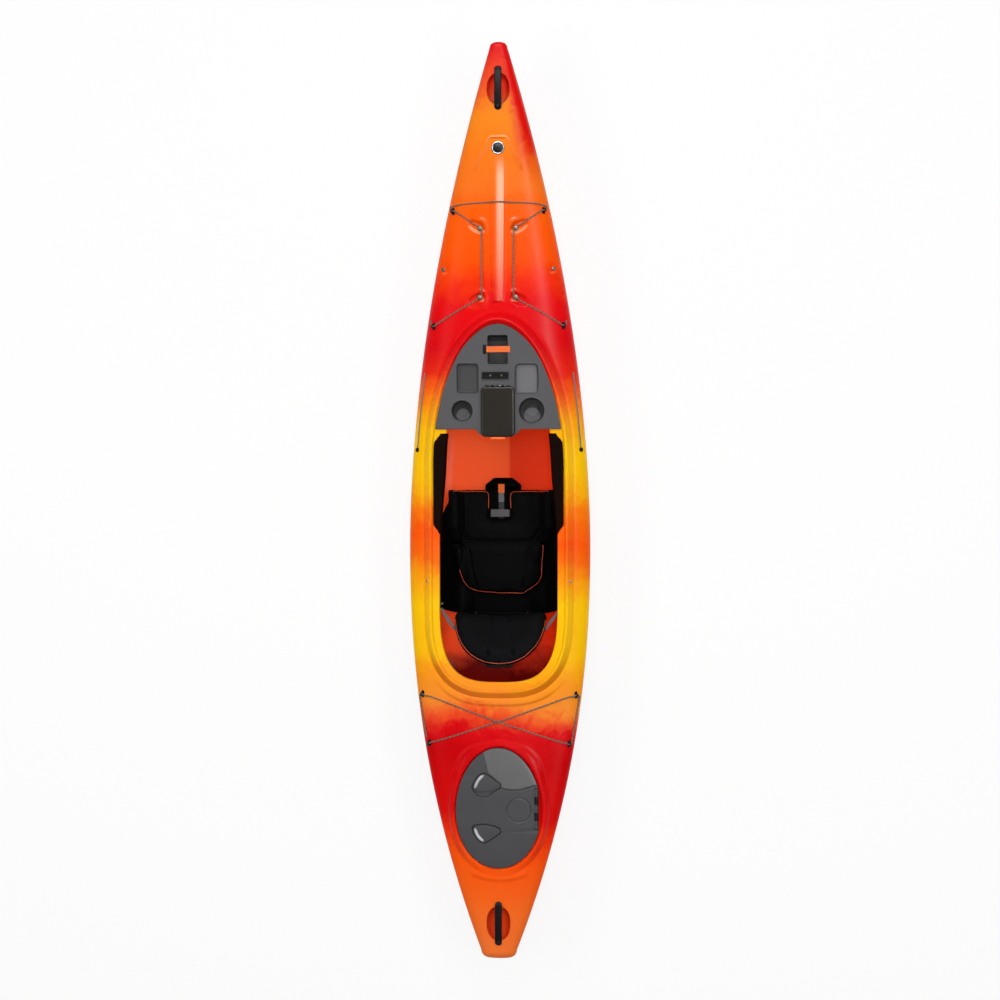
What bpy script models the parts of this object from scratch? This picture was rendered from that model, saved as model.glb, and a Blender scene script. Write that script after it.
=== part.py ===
"""Recreational sit-inside kayak, built as an assembly of separate named solids.

Units are metres. +Y points to the bow, +X to starboard and +Z up. The origin is on the ground, under the
middle of the hull.
"""

import math

import bmesh
import bpy
import numpy as np
from mathutils import Matrix, Vector
from mathutils.bvhtree import BVHTree

# Clearance between pieces that touch
GAP = 0.0003

# Hull outline and skin
LENGTH = 3.810
BEAM = 0.760
BEAM_Y = -0.187
BOW_TIP_WIDTH = 0.062
STERN_TIP_WIDTH = 0.124
BOW_TAPER = 1.84
STERN_TAPER = 2.15
NOSE_ROUNDING = 0.020
WALL = 0.005

# Hull heights over the ground
SHEER_Z = 0.215
BOW_SHEER_Z = 0.300
STERN_SHEER_Z = 0.262
FOREDECK_Z = 0.352
AFTDECK_Z = 0.300
BOW_DECK_Z = 0.335
STERN_DECK_Z = 0.302
ROCKER = 0.030
FOREFOOT_LENGTH = 0.600
HEEL_LENGTH = 0.450
BOW_STEM_HEIGHT = 0.085
STERN_STEM_HEIGHT = 0.075
KEEL_FLAT = 0.008

# Cockpit coaming: its crest line in plan and its heights
CREST_HALF_WIDTH = 0.278
CREST_FRONT_Y = 0.745
CREST_REAR_Y = -0.784
CREST_FRONT_LENGTH = 0.595
CREST_REAR_LENGTH = 0.368
CREST_FRONT_POWER = 1.9
CREST_REAR_POWER = 3.0
CREST_FRONT_Z = 0.372
CREST_SLOPE = 0.080
SLOPE_END_Y = 0.250
SLOPE_EASE = 0.400
CREST_WIDTH = 0.006
COAMING_FOOT = 0.042
LEDGE_DROP = 0.010
LIP_DEPTH = 0.024
LEDGE_FRONT = 0.012
LEDGE_THIGH = 0.054
LEDGE_REAR = 0.033
RIM_WALL = 0.006

# Deck features
SPINE_LENGTH = 0.600
SPINE_WIDTH = 0.056
SPINE_RISE = 0.006
BADGE_DIAMETER = 0.054
BADGE_SETBACK = 0.445

# Rear hatch, whose plane is level
HATCH_SETBACK = 0.632
HATCH_LENGTH = 0.500
HATCH_WIDTH = 0.357
HATCH_EGG = 0.05
HATCH_Z = 0.300
HATCH_RIM_RISE = 0.006
HATCH_FOOT = 0.036
HATCH_LEDGE = 0.030
LID_CLEARANCE = 0.0035
LID_EDGE = 0.010
LID_CROWN = 0.012
LID_WALL = 0.004
GASKET_WIDTH = 0.006
GASKET_HEIGHT = 0.004
HINGE_LENGTH = 0.165
HINGE_INSET = 0.0205
HINGE_PIN_RADIUS = 0.0025
HINGE_BARREL_RADIUS = 0.0052
LATCH_WELL_DEPTH = 0.011
LATCH_THICKNESS = 0.005

# Carry handles
HANDLE_LENGTH = 0.183
HANDLE_WIDTH = 0.029
HANDLE_FOOT = 0.021
HANDLE_THICKNESS = 0.012
HANDLE_ARCH = 0.008
SCOOP_LENGTH = 0.136
SCOOP_WIDTH = 0.098
SCOOP_DEPTH = 0.028
BOW_HANDLE_SETBACK = 0.198
STERN_HANDLE_SETBACK = 0.152

# Deck cordage and its fittings
CORD_DIAMETER = 0.006
EYE_LENGTH = 0.030
EYE_WIDTH = 0.014
EYE_BASE = 0.003
EYE_ROD = 0.0050
EYE_SPAN = 0.016
EYE_HEIGHT = 0.013
HOOK_DIAMETER = 0.022
HOOK_POST = 0.008
HOOK_HEIGHT = 0.0105
BUTTON_DIAMETER = 0.020
BUTTON_HEIGHT = 0.005
CORD_SPACING = 0.045
CORD_ARCH_AHEAD = 0.486
BUTTON_X = 0.2296
BUTTON_AHEAD = 0.220
KEEPER_X = 0.342
KEEPER_Y = 0.216
KEEPER_LENGTH = 0.310
SCREW_X = 0.299
SCREW_Y = -0.331
EYES_AHEAD = ((0.187, 0.460), (0.268, -0.017))
EYES_BEHIND = ((0.320, 0.022), (0.291, 0.226))
HOOK_X = 0.074
HOOKS_AHEAD = (0.384, 0.098)

# Console
CONSOLE_REAR_Y = 0.299
CONSOLE_CLEARANCE = 0.006
CONSOLE_FRONT_CLEARANCE = 0.013
CONSOLE_SHEET = 0.006
CONSOLE_WALL = 0.003
CUP_PORT_DIAMETER = 0.088
CUP_STARBOARD_DIAMETER = 0.106
CUP_DEPTH = 0.055
CUP_SPACING = 0.288
CUPS_Y = 0.0765
TRAYS = ((-0.125, 0.210), (0.119, 0.208))
TRAY_WIDTH = 0.092
TRAY_LENGTH = 0.124
TRAY_DEPTH = 0.014
WELL_Y = 0.328
WELL_WIDTH = 0.084
WELL_LENGTH = 0.120
WELL_DEPTH = 0.040
BOX_WIDTH = 0.130
BOX_LENGTH = 0.212
BOX_DEPTH = 0.075
BOX_WALL = 0.003
BOX_OVERHANG = 0.030
BOX_LID_THICKNESS = 0.014
BOX_LATCH_WIDTH = 0.060
BOX_BARREL = 0.0036
BOX_PIN_RADIUS = 0.0018
TRACK_Y = 0.222
TRACK_LENGTH = 0.110
TRACK_WIDTH = 0.029
TRACK_HEIGHT = 0.010
TRACK_SLOT = 0.010

# Seat
SEAT_FRONT_Y = 0.047
SEAT_REAR_Y = -0.450
SEAT_FLOOR_HALF = 0.165
SEAT_BEND_RADIUS = 0.055
SEAT_WALL_ANGLE = 68.0
SEAT_BENDS = 4
SEAT_DEPTH = 0.160
SEAT_SHEET = 0.004
SEAT_RAISE = 0.030
CUSHION_THICKNESS = 0.042
CUSHION_FRONT_WIDTH = 0.449
CUSHION_REAR_WIDTH = 0.400
CUSHION_SPLIT_Y = -0.179
CUSHION_REAR_Y = -0.400
NOTCH_DEPTH = 0.119
NOTCH_WIDTH = 0.088
NOTCH_X = -0.012
REAR_CUSHION_SHIFT = -0.018
PULL_STRAP_WIDTH = 0.023
PULL_STRAP_X = -0.006
BUCKLE_WIDTH = 0.082
BUCKLE_LENGTH = 0.034
LIFTER_ANGLE = 15.0
HANGER_WIDTH = 0.080
HANGER_SHEET = 0.004

# Backrest
BACK_HINGE_Y = -0.478
BACK_HINGE_Z = 0.105
BACK_RECLINE = 48.0
BACK_WIDTH = 0.388
BACK_LOW = 0.043
BACK_HIGH = 0.295
BACK_PAD = 0.044
BACK_SHELL = 0.004
BACK_WRAP = 0.9
BACK_PIN_RADIUS = 0.004
BACK_PIN_LENGTH = 0.280
WEBBING_WIDTH = 0.020
WEBBING_THICKNESS = 0.002

# Thigh pads
THIGH_PAD_FRONT_Y = 0.282
THIGH_PAD_REAR_Y = -0.133

# Foot braces
RAIL_LENGTH = 0.360
RAIL_START_Y = 0.340
RAIL_Z = 0.120
RAIL_WIDTH = 0.024
RAIL_HEIGHT = 0.012
PEDAL_TRAVEL = 0.120
PEDAL_LOW = 0.028
PEDAL_HIGH = 0.060
PEDAL_REACH = 0.085

# Foam inside the hull
BULKHEAD_THICKNESS = 0.050
BULKHEAD_SETBACK = 0.090
PILLAR_LENGTH = 0.360
PILLAR_WIDTH = 0.070
PILLAR_SETBACK = 0.220

# Mesh fineness
AROUND = 24
OUTER_STATIONS = 34
INNER_STATIONS = 26

PALETTE = {
    "hull": ("F5780F", 0.38, 0.0),
    "foam": ("1B1B1D", 0.95, 0.0),
    "grey plastic": ("6E6E70", 0.60, 0.0),
    "hatch grey": ("5A5A5C", 0.55, 0.0),
    "black plastic": ("1A181C", 0.50, 0.0),
    "smoked plastic": ("28241E", 0.30, 0.0),
    "fabric": ("101113", 0.92, 0.0),
    "webbing": ("76767A", 0.85, 0.0),
    "orange": ("FF7A0A", 0.55, 0.0),
    "bungee": ("6F6252", 0.80, 0.0),
    "steel": ("C8C8CC", 0.25, 1.0),
    "aluminium": ("9A9CA0", 0.40, 1.0),
    "rubber": ("151515", 0.85, 0.0),
}


def linear(channel):
    """sRGB channel from 0 to 1 turned linear."""
    return channel / 12.92 if channel <= 0.04045 else ((channel + 0.055) / 1.055) ** 2.4


def material(finish):
    """Principled material of a finish in the palette, made once."""
    if finish in bpy.data.materials:
        return bpy.data.materials[finish]
    colour, roughness, metallic = PALETTE[finish]
    made = bpy.data.materials.new(finish)
    made.use_nodes = True
    shader = made.node_tree.nodes["Principled BSDF"]
    channels = [linear(int(colour[i : i + 2], 16) / 255) for i in (0, 2, 4)]
    shader.inputs["Base Color"].default_value = (*channels, 1.0)
    shader.inputs["Roughness"].default_value = roughness
    shader.inputs["Metallic"].default_value = metallic
    made.diffuse_color = (*channels, 1.0)
    return made


def solid(name, rings, joined=False):
    """Closed solid skinned over rings of equally many points, its ends capped or its rings closed."""
    mesh = bmesh.new()
    rows = [[mesh.verts.new(point) for point in ring] for ring in rings]
    count = len(rows[0])
    spans = list(zip(rows, rows[1:]))
    if joined:
        spans.append((rows[-1], rows[0]))
    for low, high in spans:
        for i in range(count):
            j = (i + 1) % count
            mesh.faces.new((low[i], low[j], high[j]))
            mesh.faces.new((low[i], high[j], high[i]))
    if not joined:
        mesh.faces.new(rows[0][::-1])
        mesh.faces.new(rows[-1])
    if mesh.calc_volume(signed=True) < 0:
        bmesh.ops.reverse_faces(mesh, faces=mesh.faces)
    data = bpy.data.meshes.new(name)
    mesh.to_mesh(data)
    mesh.free()
    made = bpy.data.objects.new(name, data)
    bpy.context.scene.collection.objects.link(made)
    return made


def prism(name, outline, low, high):
    """Outline of (x, y) points extruded from z = low to z = high."""
    return solid(name, [[(x, y, z) for x, y in outline] for z in (low, high)])


def side_prism(name, outline, low, high):
    """Outline of (y, z) points extruded from x = low to x = high."""
    return solid(name, [[(x, y, z) for y, z in outline] for x in (low, high)])


def box(name, low, high):
    """Block between two corners."""
    outline = [(low[0], low[1]), (high[0], low[1]), (high[0], high[1]), (low[0], high[1])]
    return prism(name, outline, low[2], high[2])


def circle(radius, steps, centre=(0.0, 0.0)):
    """Points of a circle in plan."""
    turns = [math.tau * i / steps for i in range(steps)]
    return [(centre[0] + radius * math.cos(t), centre[1] + radius * math.sin(t)) for t in turns]


def turned(name, profile, steps):
    """Solid of revolution round z from (radius, z) points listed from the bottom up."""
    return solid(name, [[(x, y, z) for x, y in circle(radius, steps)] for radius, z in profile])


def rounded(width, length, radius, steps=4, centre=(0.0, 0.0)):
    """Rectangle in plan with rounded corners."""
    points = []
    for turn, (side, end) in enumerate([(1, 1), (-1, 1), (-1, -1), (1, -1)]):
        corner_x = centre[0] + side * (width / 2 - radius)
        corner_y = centre[1] + end * (length / 2 - radius)
        for i in range(steps + 1):
            angle = math.pi / 2 * (turn + i / steps)
            points.append((corner_x + radius * math.cos(angle), corner_y + radius * math.sin(angle)))
    return points


def rod(name, path, radius, steps=8):
    """Round rod along a path of points, its ends square to it."""
    path = [Vector(point) for point in path]
    rings = []
    across = None
    for i, point in enumerate(path):
        ahead = path[min(i + 1, len(path) - 1)] - path[max(i - 1, 0)]
        if across is None:
            across = ahead.orthogonal().normalized()
        across = (across - ahead * across.dot(ahead) / ahead.length_squared).normalized()
        other = ahead.normalized().cross(across)
        turns = [math.tau * k / steps for k in range(steps)]
        rings.append([point + radius * (across * math.cos(t) + other * math.sin(t)) for t in turns])
    return solid(name, rings)


def carve(target, tool, operation="DIFFERENCE"):
    """Cuts a tool out of a target, or joins it on, and removes the tool."""
    modifier = target.modifiers.new("carve", "BOOLEAN")
    modifier.operation = operation
    modifier.solver = "EXACT"
    modifier.object = tool
    bpy.context.view_layer.update()
    graph = bpy.context.evaluated_depsgraph_get()
    mesh = bpy.data.meshes.new_from_object(target.evaluated_get(graph))
    target.modifiers.remove(modifier)
    target.data = mesh
    bpy.data.objects.remove(tool)
    return target


def join(target, tool):
    """Joins a tool that overlaps the target onto it."""
    return carve(target, tool, "UNION")


def piece(made, name, finish, smooth=35.0):
    """Gives a solid its name, its finish and its shading."""
    made.name = name
    made.data.name = name
    made.data.materials.clear()
    made.data.materials.append(material(finish))
    made.data.shade_smooth()
    made.data.set_sharp_from_angle(angle=math.radians(smooth))
    return made


def placed(made, frame):
    """Moves a solid's mesh into a frame, which may mirror it."""
    made.data.transform(frame)
    if frame.determinant() < 0:
        made.data.flip_normals()


def pivot(name, matrix, children, local=True):
    """Empty on a joint or at the root of a group. Its children use its axes, or stay where they are."""
    empty = bpy.data.objects.new(name, None)
    bpy.context.scene.collection.objects.link(empty)
    empty.matrix_world = matrix
    for child in children:
        child.parent = empty
        if not local:
            child.data.transform(matrix.inverted())
    return empty


def surface(made):
    """Search tree over the faces of a finished solid."""
    bpy.context.view_layer.update()
    return BVHTree.FromObject(made, bpy.context.evaluated_depsgraph_get())


def ease(share):
    """Smooth step from 0 to 1."""
    share = min(max(share, 0.0), 1.0)
    return share * share * (3 - 2 * share)


def power_of(value, exponent):
    """Signed power, for superellipses."""
    return math.copysign(abs(value) ** exponent, value)


# Hull form


def towards_tip(y):
    """Share of the way from the widest station to a tip, and whether that tip is the bow."""
    if y > BEAM_Y:
        return (y - BEAM_Y) / (LENGTH / 2 - BEAM_Y), True
    return (BEAM_Y - y) / (LENGTH / 2 + BEAM_Y), False


def half_breadth(y):
    """Half width at the sheer, falling from the widest station by a power of the distance."""
    share, bow = towards_tip(y)
    width, taper = (BOW_TIP_WIDTH, BOW_TAPER) if bow else (STERN_TIP_WIDTH, STERN_TAPER)
    return BEAM / 2 - (BEAM - width) / 2 * share**taper


def sheer_height(y):
    """Height of the widest line, rising to both tips."""
    share, bow = towards_tip(y)
    return SHEER_Z + ((BOW_SHEER_Z if bow else STERN_SHEER_Z) - SHEER_Z) * share**2


def deck_height(y):
    """Height of the deck's centre line, as if the deck ran on over the cockpit."""
    if y > CREST_FRONT_Y:
        return FOREDECK_Z + (BOW_DECK_Z - FOREDECK_Z) * ease(
            (y - CREST_FRONT_Y) / (LENGTH / 2 - CREST_FRONT_Y)
        )
    if y < CREST_REAR_Y:
        return AFTDECK_Z + (STERN_DECK_Z - AFTDECK_Z) * ease((CREST_REAR_Y - y) / (LENGTH / 2 + CREST_REAR_Y))
    return AFTDECK_Z + (FOREDECK_Z - AFTDECK_Z) * (y - CREST_REAR_Y) / (CREST_FRONT_Y - CREST_REAR_Y)


def keel_height(y):
    """Height of the keel line: rocker, and at each end a quarter ellipse up the stem."""
    share, bow = towards_tip(y)
    length, stem, deck = FOREFOOT_LENGTH, BOW_STEM_HEIGHT, BOW_DECK_Z
    if not bow:
        length, stem, deck = HEEL_LENGTH, STERN_STEM_HEIGHT, STERN_DECK_Z
    along = max(0.0, 1 - (LENGTH / 2 - abs(y)) / length)
    rise = deck - stem - ROCKER
    return ROCKER * share**2.4 + rise * (1 - math.sqrt(max(0.0, 1 - along**2)))


def section(y, inset):
    """Ring round the hull at y, with its skin moved in by inset. The bottom is cut flat where it stands."""
    share, bow = towards_tip(y)
    half, sheer, deck, keel = half_breadth(y), sheer_height(y), deck_height(y), keel_height(y)
    sharpen = share**3
    side_power = 2 / (3.4 - 1.5 * sharpen)
    depth_power = 2 / (2.4 - 0.8 * sharpen)
    ring = []
    for i in range(AROUND):
        angle = math.tau * i / AROUND - math.pi / 2
        across, up = math.cos(angle), math.sin(angle)
        if up < -1e-9:
            x = (half - inset) * power_of(across, side_power)
            z = sheer - (sheer - keel - inset) * abs(up) ** depth_power - KEEL_FLAT * abs(up) * (1 - sharpen)
            z = max(z, inset)
        else:
            x = (half - inset) * power_of(across, 0.8)
            z = sheer + (deck - sheer - inset) * abs(up) ** 0.8
        ring.append((x, y, z))
    return ring


def stations(count, margin):
    """Places along the hull, closer together towards both tips."""
    reach = LENGTH / 2 - margin
    shares = [2 * i / (count - 1) - 1 for i in range(count)]
    return [reach * (u + math.sin(u * math.pi / 2)) / 2 for u in shares]


def nose(end):
    """Rings that round off a tip, from the last station outwards."""
    base = section(end * (LENGTH / 2 - NOSE_ROUNDING), 0.0)
    heights = [point[2] for point in base]
    middle = (max(heights) + min(heights)) / 2
    half = max(point[0] for point in base)
    tall = (max(heights) - min(heights)) / 2
    rings = []
    for i in (1, 2, 3):
        angle = math.pi / 6 * i
        drop = NOSE_ROUNDING * (1 - math.cos(angle))
        y = end * (LENGTH / 2 - NOSE_ROUNDING * (1 - math.sin(angle)))
        narrow, low = 1 - drop / half, 1 - drop / tall
        rings.append([(x * narrow, y, middle + (z - middle) * low) for x, _, z in base])
    return rings


def outer_form():
    """Outside of the hull as one closed solid."""
    rings = [section(y, 0.0) for y in stations(OUTER_STATIONS, NOSE_ROUNDING)]
    return solid("outer", nose(-1)[::-1] + rings + nose(1))


def inner_form(inset):
    """Hollow of the hull as one closed solid, with blunt solid tips left beyond it."""
    return solid("inner", [section(y, inset) for y in stations(INNER_STATIONS, 0.055)])


# Coaming and hatch outlines


def with_normals(points):
    """Closed outline as points and outward normals in plan. The outline runs anticlockwise."""
    points = np.array(points)
    along = np.roll(points, -1, 0) - np.roll(points, 1, 0)
    along /= np.linalg.norm(along, axis=1)[:, None]
    return points, np.stack([along[:, 1], -along[:, 0]], axis=1)


def crest_line():
    """Crest of the coaming: a pointed superellipse ahead, straight sides, a square superellipse behind.

    No point lies on the centre line, where the deck has an edge of its own.
    """
    front_centre = CREST_FRONT_Y - CREST_FRONT_LENGTH
    rear_centre = CREST_REAR_Y + CREST_REAR_LENGTH
    points = []
    for i in range(20):
        angle = math.pi * i / 19
        x = CREST_HALF_WIDTH * power_of(math.cos(angle), 2 / CREST_FRONT_POWER)
        y = front_centre + CREST_FRONT_LENGTH * power_of(math.sin(angle), 2 / CREST_FRONT_POWER)
        points.append((x, y))
    sides = [front_centre + (rear_centre - front_centre) * i / 5 for i in range(1, 5)]
    points += [(-CREST_HALF_WIDTH, y) for y in sides]
    for i in range(18):
        angle = math.pi * (1 + i / 17)
        x = CREST_HALF_WIDTH * power_of(math.cos(angle), 2 / CREST_REAR_POWER)
        y = rear_centre + CREST_REAR_LENGTH * power_of(math.sin(angle), 2 / CREST_REAR_POWER)
        points.append((x, y))
    points += [(CREST_HALF_WIDTH, y) for y in sides[::-1]]
    return with_normals(points)


def crest_height(y):
    """Height of the crest: a straight slope under the console that eases out to level behind it."""
    slope_end_z = CREST_FRONT_Z - CREST_SLOPE * (CREST_FRONT_Y - SLOPE_END_Y)
    if y > SLOPE_END_Y:
        return slope_end_z + CREST_SLOPE * (y - SLOPE_END_Y)
    past = min(SLOPE_END_Y - y, SLOPE_EASE)
    return slope_end_z - CREST_SLOPE * past + CREST_SLOPE * past**2 / (2 * SLOPE_EASE)


def ledge_width(y):
    """Width of the ledge inside the crest: narrow under the console, wide at the thighs, medium behind."""
    if y > 0.29:
        return LEDGE_THIGH + (LEDGE_FRONT - LEDGE_THIGH) * ease((y - 0.29) / 0.20)
    return LEDGE_REAR + (LEDGE_THIGH - LEDGE_REAR) * ease((y + 0.14) / 0.34)


def hatch_centre():
    return -(LENGTH / 2 - HATCH_SETBACK)


def hatch_line(inset, steps=34):
    """Egg outline of the hatch lid, moved in by inset."""
    points = []
    for i in range(steps):
        angle = math.tau * (i + 0.5) / steps
        x = HATCH_WIDTH / 2 * math.cos(angle) * (1 - HATCH_EGG * math.sin(angle))
        points.append((x, hatch_centre() + HATCH_LENGTH / 2 * math.sin(angle)))
    points, normals = with_normals(points)
    return points - normals * inset


def height_on(tree, x, y):
    """Height of the highest face at x, y."""
    hit = tree.ray_cast(Vector((x, y, 1.0)), Vector((0, 0, -1)))
    return hit[0].z


def coaming_ring(deck):
    """Band round the cockpit: foot in the deck, outer slope, crest, ledge and inner lip."""
    points, normals = crest_line()
    rings = []
    for (x, y), normal in zip(points, normals):

        def at(out, z):
            return (x + normal[0] * out, y + normal[1] * out, z)

        def over_deck(out, rise):
            px, py, _ = at(out, 0)
            return at(out, height_on(deck, px, py) + rise)

        crest = crest_height(y)
        ledge = crest - LEDGE_DROP
        width = ledge_width(y)
        inner = RIM_WALL - width
        rings.append(
            [
                over_deck(COAMING_FOOT, -0.0028),
                over_deck(COAMING_FOOT - 0.008, 0.004),
                at(CREST_WIDTH, crest),
                at(0.0, crest),
                at(-0.004, ledge),
                at(-width, ledge - 0.002),
                at(-width, ledge - LIP_DEPTH),
                at(inner, ledge - LIP_DEPTH),
                at(inner, ledge - 0.002 - RIM_WALL),
                at(0.002, ledge - RIM_WALL - 0.001),
                at(CREST_WIDTH + 0.003, crest - RIM_WALL - 0.002),
                over_deck(COAMING_FOOT - 0.014, -0.008),
            ]
        )
    return solid("coaming", rings, joined=True)


def hatch_ring(deck):
    """Raised moulding round the hatch: foot in the deck, crest, the lid's ledge and an inner lip."""
    outline = hatch_line(0.0)
    _, normals = with_normals(outline)
    ledge = HATCH_Z - GASKET_HEIGHT
    crest = HATCH_Z + HATCH_RIM_RISE
    rings = []
    for (x, y), normal in zip(outline, normals):

        def at(out, z):
            return (x + normal[0] * out, y + normal[1] * out, z)

        def over_deck(out, rise):
            px, py, _ = at(out, 0)
            return at(out, height_on(deck, px, py) + rise)

        rings.append(
            [
                over_deck(HATCH_FOOT, -0.0028),
                over_deck(HATCH_FOOT - 0.008, 0.003),
                at(0.014, crest),
                at(LID_CLEARANCE + 0.003, crest),
                at(LID_CLEARANCE, ledge),
                at(-HATCH_LEDGE, ledge),
                at(-HATCH_LEDGE, ledge - 0.018),
                at(RIM_WALL - HATCH_LEDGE, ledge - 0.018),
                at(RIM_WALL - HATCH_LEDGE, ledge - RIM_WALL),
                at(0.008, ledge - RIM_WALL),
                over_deck(HATCH_FOOT - 0.014, -0.009),
            ]
        )
    return solid("hatch ring", rings, joined=True)


def scoop(y, deck_z, grow):
    """Oval bowl sunk in the deck under a carry handle, made larger all round by grow."""
    rings = []
    for i in range(7):
        angle = math.pi * (i + 0.5) / 7 - math.pi / 2
        wide, tall = math.cos(angle), math.sin(angle)
        z = deck_z + (SCOOP_DEPTH + grow) * tall
        half_x, half_y = (SCOOP_WIDTH / 2 + grow) * wide, (SCOOP_LENGTH / 2 + grow) * wide
        rings.append([(half_x * cx, y + half_y * cy, z) for cx, cy in circle(1.0, 16)])
    return solid("scoop", rings)


def handle_places():
    """Name and y of each carry handle."""
    return [
        ("bow_handle", LENGTH / 2 - BOW_HANDLE_SETBACK),
        ("stern_handle", -(LENGTH / 2 - STERN_HANDLE_SETBACK)),
    ]


def spine(deck):
    """Raised rib down the middle of the foredeck, from the coaming to the badge."""
    start = CREST_FRONT_Y + 0.075
    rings = []
    for i in range(7):
        y = start + SPINE_LENGTH * i / 6
        top = height_on(deck, 0.0, y) + SPINE_RISE * math.sin(math.pi * (0.12 + 0.76 * i / 6))
        half = SPINE_WIDTH / 2 * (1 + 0.35 * i / 6)
        low = min(height_on(deck, half, y), height_on(deck, -half, y)) - 0.0035
        rings.append([(-half, y, low), (half, y, low), (half - 0.010, y, top), (-half + 0.010, y, top)])
    return solid("spine", rings)


def hull():
    """One-piece moulded shell: skin, deck scoops, coaming and hatch rim."""
    outer = outer_form()
    deck = surface(outer)
    inner = inner_form(WALL)
    coaming, hatch, rib = coaming_ring(deck), hatch_ring(deck), spine(deck)
    for _, y in handle_places():
        deck_z = height_on(deck, 0.0, y)
        carve(inner, scoop(y, deck_z, WALL))
        carve(outer, scoop(y, deck_z, 0.0))
    join(outer, rib)
    shell = carve(outer, inner)
    points, normals = crest_line()
    mouth = points + normals * (COAMING_FOOT - 0.009)
    carve(shell, prism("mouth", mouth, SHEER_Z + WALL, CREST_FRONT_Z + 0.1))
    carve(shell, prism("hatch mouth", hatch_line(0.009 - HATCH_FOOT), HATCH_Z - 0.05, HATCH_Z + 0.1))
    join(shell, coaming)
    join(shell, hatch)
    return piece(shell, "hull_shell", "hull", 30.0)


# Seating pieces on a surface


def seat_matrix(tree, x, y, half_x=0.008, half_y=0.008, turn=0.0):
    """Frame that lies on a crowned surface: z off the surface, y turned from the bow by turn degrees."""
    spin = Matrix.Rotation(math.radians(turn), 3, "Z")

    def sample(i, j):
        place = Vector((x, y, 0)) + spin @ Vector((i * half_x, j * half_y, 0))
        return Vector((place.x, place.y, height_on(tree, place.x, place.y)))

    normal = (sample(1, 0) - sample(-1, 0)).cross(sample(0, 1) - sample(0, -1)).normalized()
    ahead = spin @ Vector((0, 1, 0))
    side = ahead.cross(normal).normalized()
    ahead = normal.cross(side)
    frame = Matrix((side, ahead, normal)).transposed().to_4x4()
    centre = sample(0, 0)
    steps = [k / 4 for k in range(-4, 5)]
    lift = max((sample(i, j) - centre).dot(normal) for i in steps for j in steps) + GAP
    frame.translation = centre + normal * lift
    return frame


def deck_pieces(tree):
    """Handles, badge, pad eyes, hooks, buttons and screws on the deck. Gives the frames of eyes and hooks."""
    for name, y in handle_places():
        handle(tree, name, y)
    radius = BADGE_DIAMETER / 2
    profile = [(radius - 0.003, 0.0), (radius, 0.0012), (radius, 0.0022), (radius - 0.004, 0.0036)]
    badge = turned("badge", profile, 24)
    badge.matrix_world = seat_matrix(tree, 0.0, LENGTH / 2 - BADGE_SETBACK, radius * 0.9, radius * 0.9)
    piece(badge, "deck_badge", "black plastic")
    frames = {}
    for name, x, y in eye_places():
        eye = pad_eye(name)
        turn = 90 if x < 0 else -90
        frames[name] = eye.matrix_world = seat_matrix(tree, x, y, EYE_LENGTH / 2, EYE_WIDTH / 2, turn)
    for name, x, y in hook_places():
        hook = cord_hook(name)
        half, turn = HOOK_DIAMETER / 2, 90 if x < 0 else -90
        frames[name] = hook.matrix_world = seat_matrix(tree, x, y, half, half, turn)
    for side, x in sides(BUTTON_X):
        button = deck_button(side + "_deck_button", "steel")
        button.matrix_world = seat_matrix(tree, x, CREST_FRONT_Y + BUTTON_AHEAD, 0.010, 0.010)
    for side, x in sides(KEEPER_X):
        button = deck_button(side + "_keeper_button", "black plastic")
        button.matrix_world = seat_matrix(tree, x, KEEPER_Y, 0.010, 0.010)
    for side, x in sides(SCREW_X):
        screw = coaming_screw(side + "_coaming_screw")
        screw.matrix_world = seat_matrix(tree, x, SCREW_Y, 0.0065, 0.0065)
    return frames


def sides(x):
    """The port and starboard copies of a piece."""
    return [("port", -x), ("starboard", x)]


def eye_places():
    """Name, x and y of each pad eye. They keep their distance from the coaming's two ends."""
    places = []
    for row, (x, ahead) in zip(("fore", "aft"), EYES_AHEAD):
        places += [(f"{side}_bow_eye_{row}", px, CREST_FRONT_Y + ahead) for side, px in sides(x)]
    for row, (x, behind) in zip(("fore", "aft"), EYES_BEHIND):
        places += [(f"{side}_rear_eye_{row}", px, CREST_REAR_Y - behind) for side, px in sides(x)]
    return places


def hook_places():
    """Name, x and y of each riveted cord hook."""
    places = []
    for row, ahead in zip(("fore", "aft"), HOOKS_AHEAD):
        places += [(f"{side}_cord_hook_{row}", x, CREST_FRONT_Y + ahead) for side, x in sides(HOOK_X)]
    return places


def handle(tree, name, y):
    """Moulded carry bar: two feet on the deck and an arched grip over the scoop."""
    half = HANDLE_LENGTH / 2
    run = half - HANDLE_FOOT
    lower, upper = [], []
    for i in range(9):
        t = -run + 2 * run * i / 8
        arch = HANDLE_ARCH * math.cos(math.pi * t / (2 * run))
        lower.append((t, arch))
        upper.append((t, HANDLE_THICKNESS + arch))
    profile = [(-half, 0.0)] + lower + [(half, 0.0), (half, 0.006), (half - 0.010, HANDLE_THICKNESS)]
    profile += upper[::-1] + [(-half + 0.010, HANDLE_THICKNESS), (-half, 0.006)]
    bar = side_prism(name, profile, -HANDLE_WIDTH / 2, HANDLE_WIDTH / 2)
    bevel = bar.modifiers.new("edges", "BEVEL")
    bevel.width = 0.002
    bevel.segments = 1
    bevel.limit_method = "ANGLE"
    bevel.angle_limit = math.radians(60)
    bar.matrix_world = seat_matrix(tree, 0.0, y, HANDLE_WIDTH / 2, half - 0.004)
    piece(bar, name, "rubber")


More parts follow.
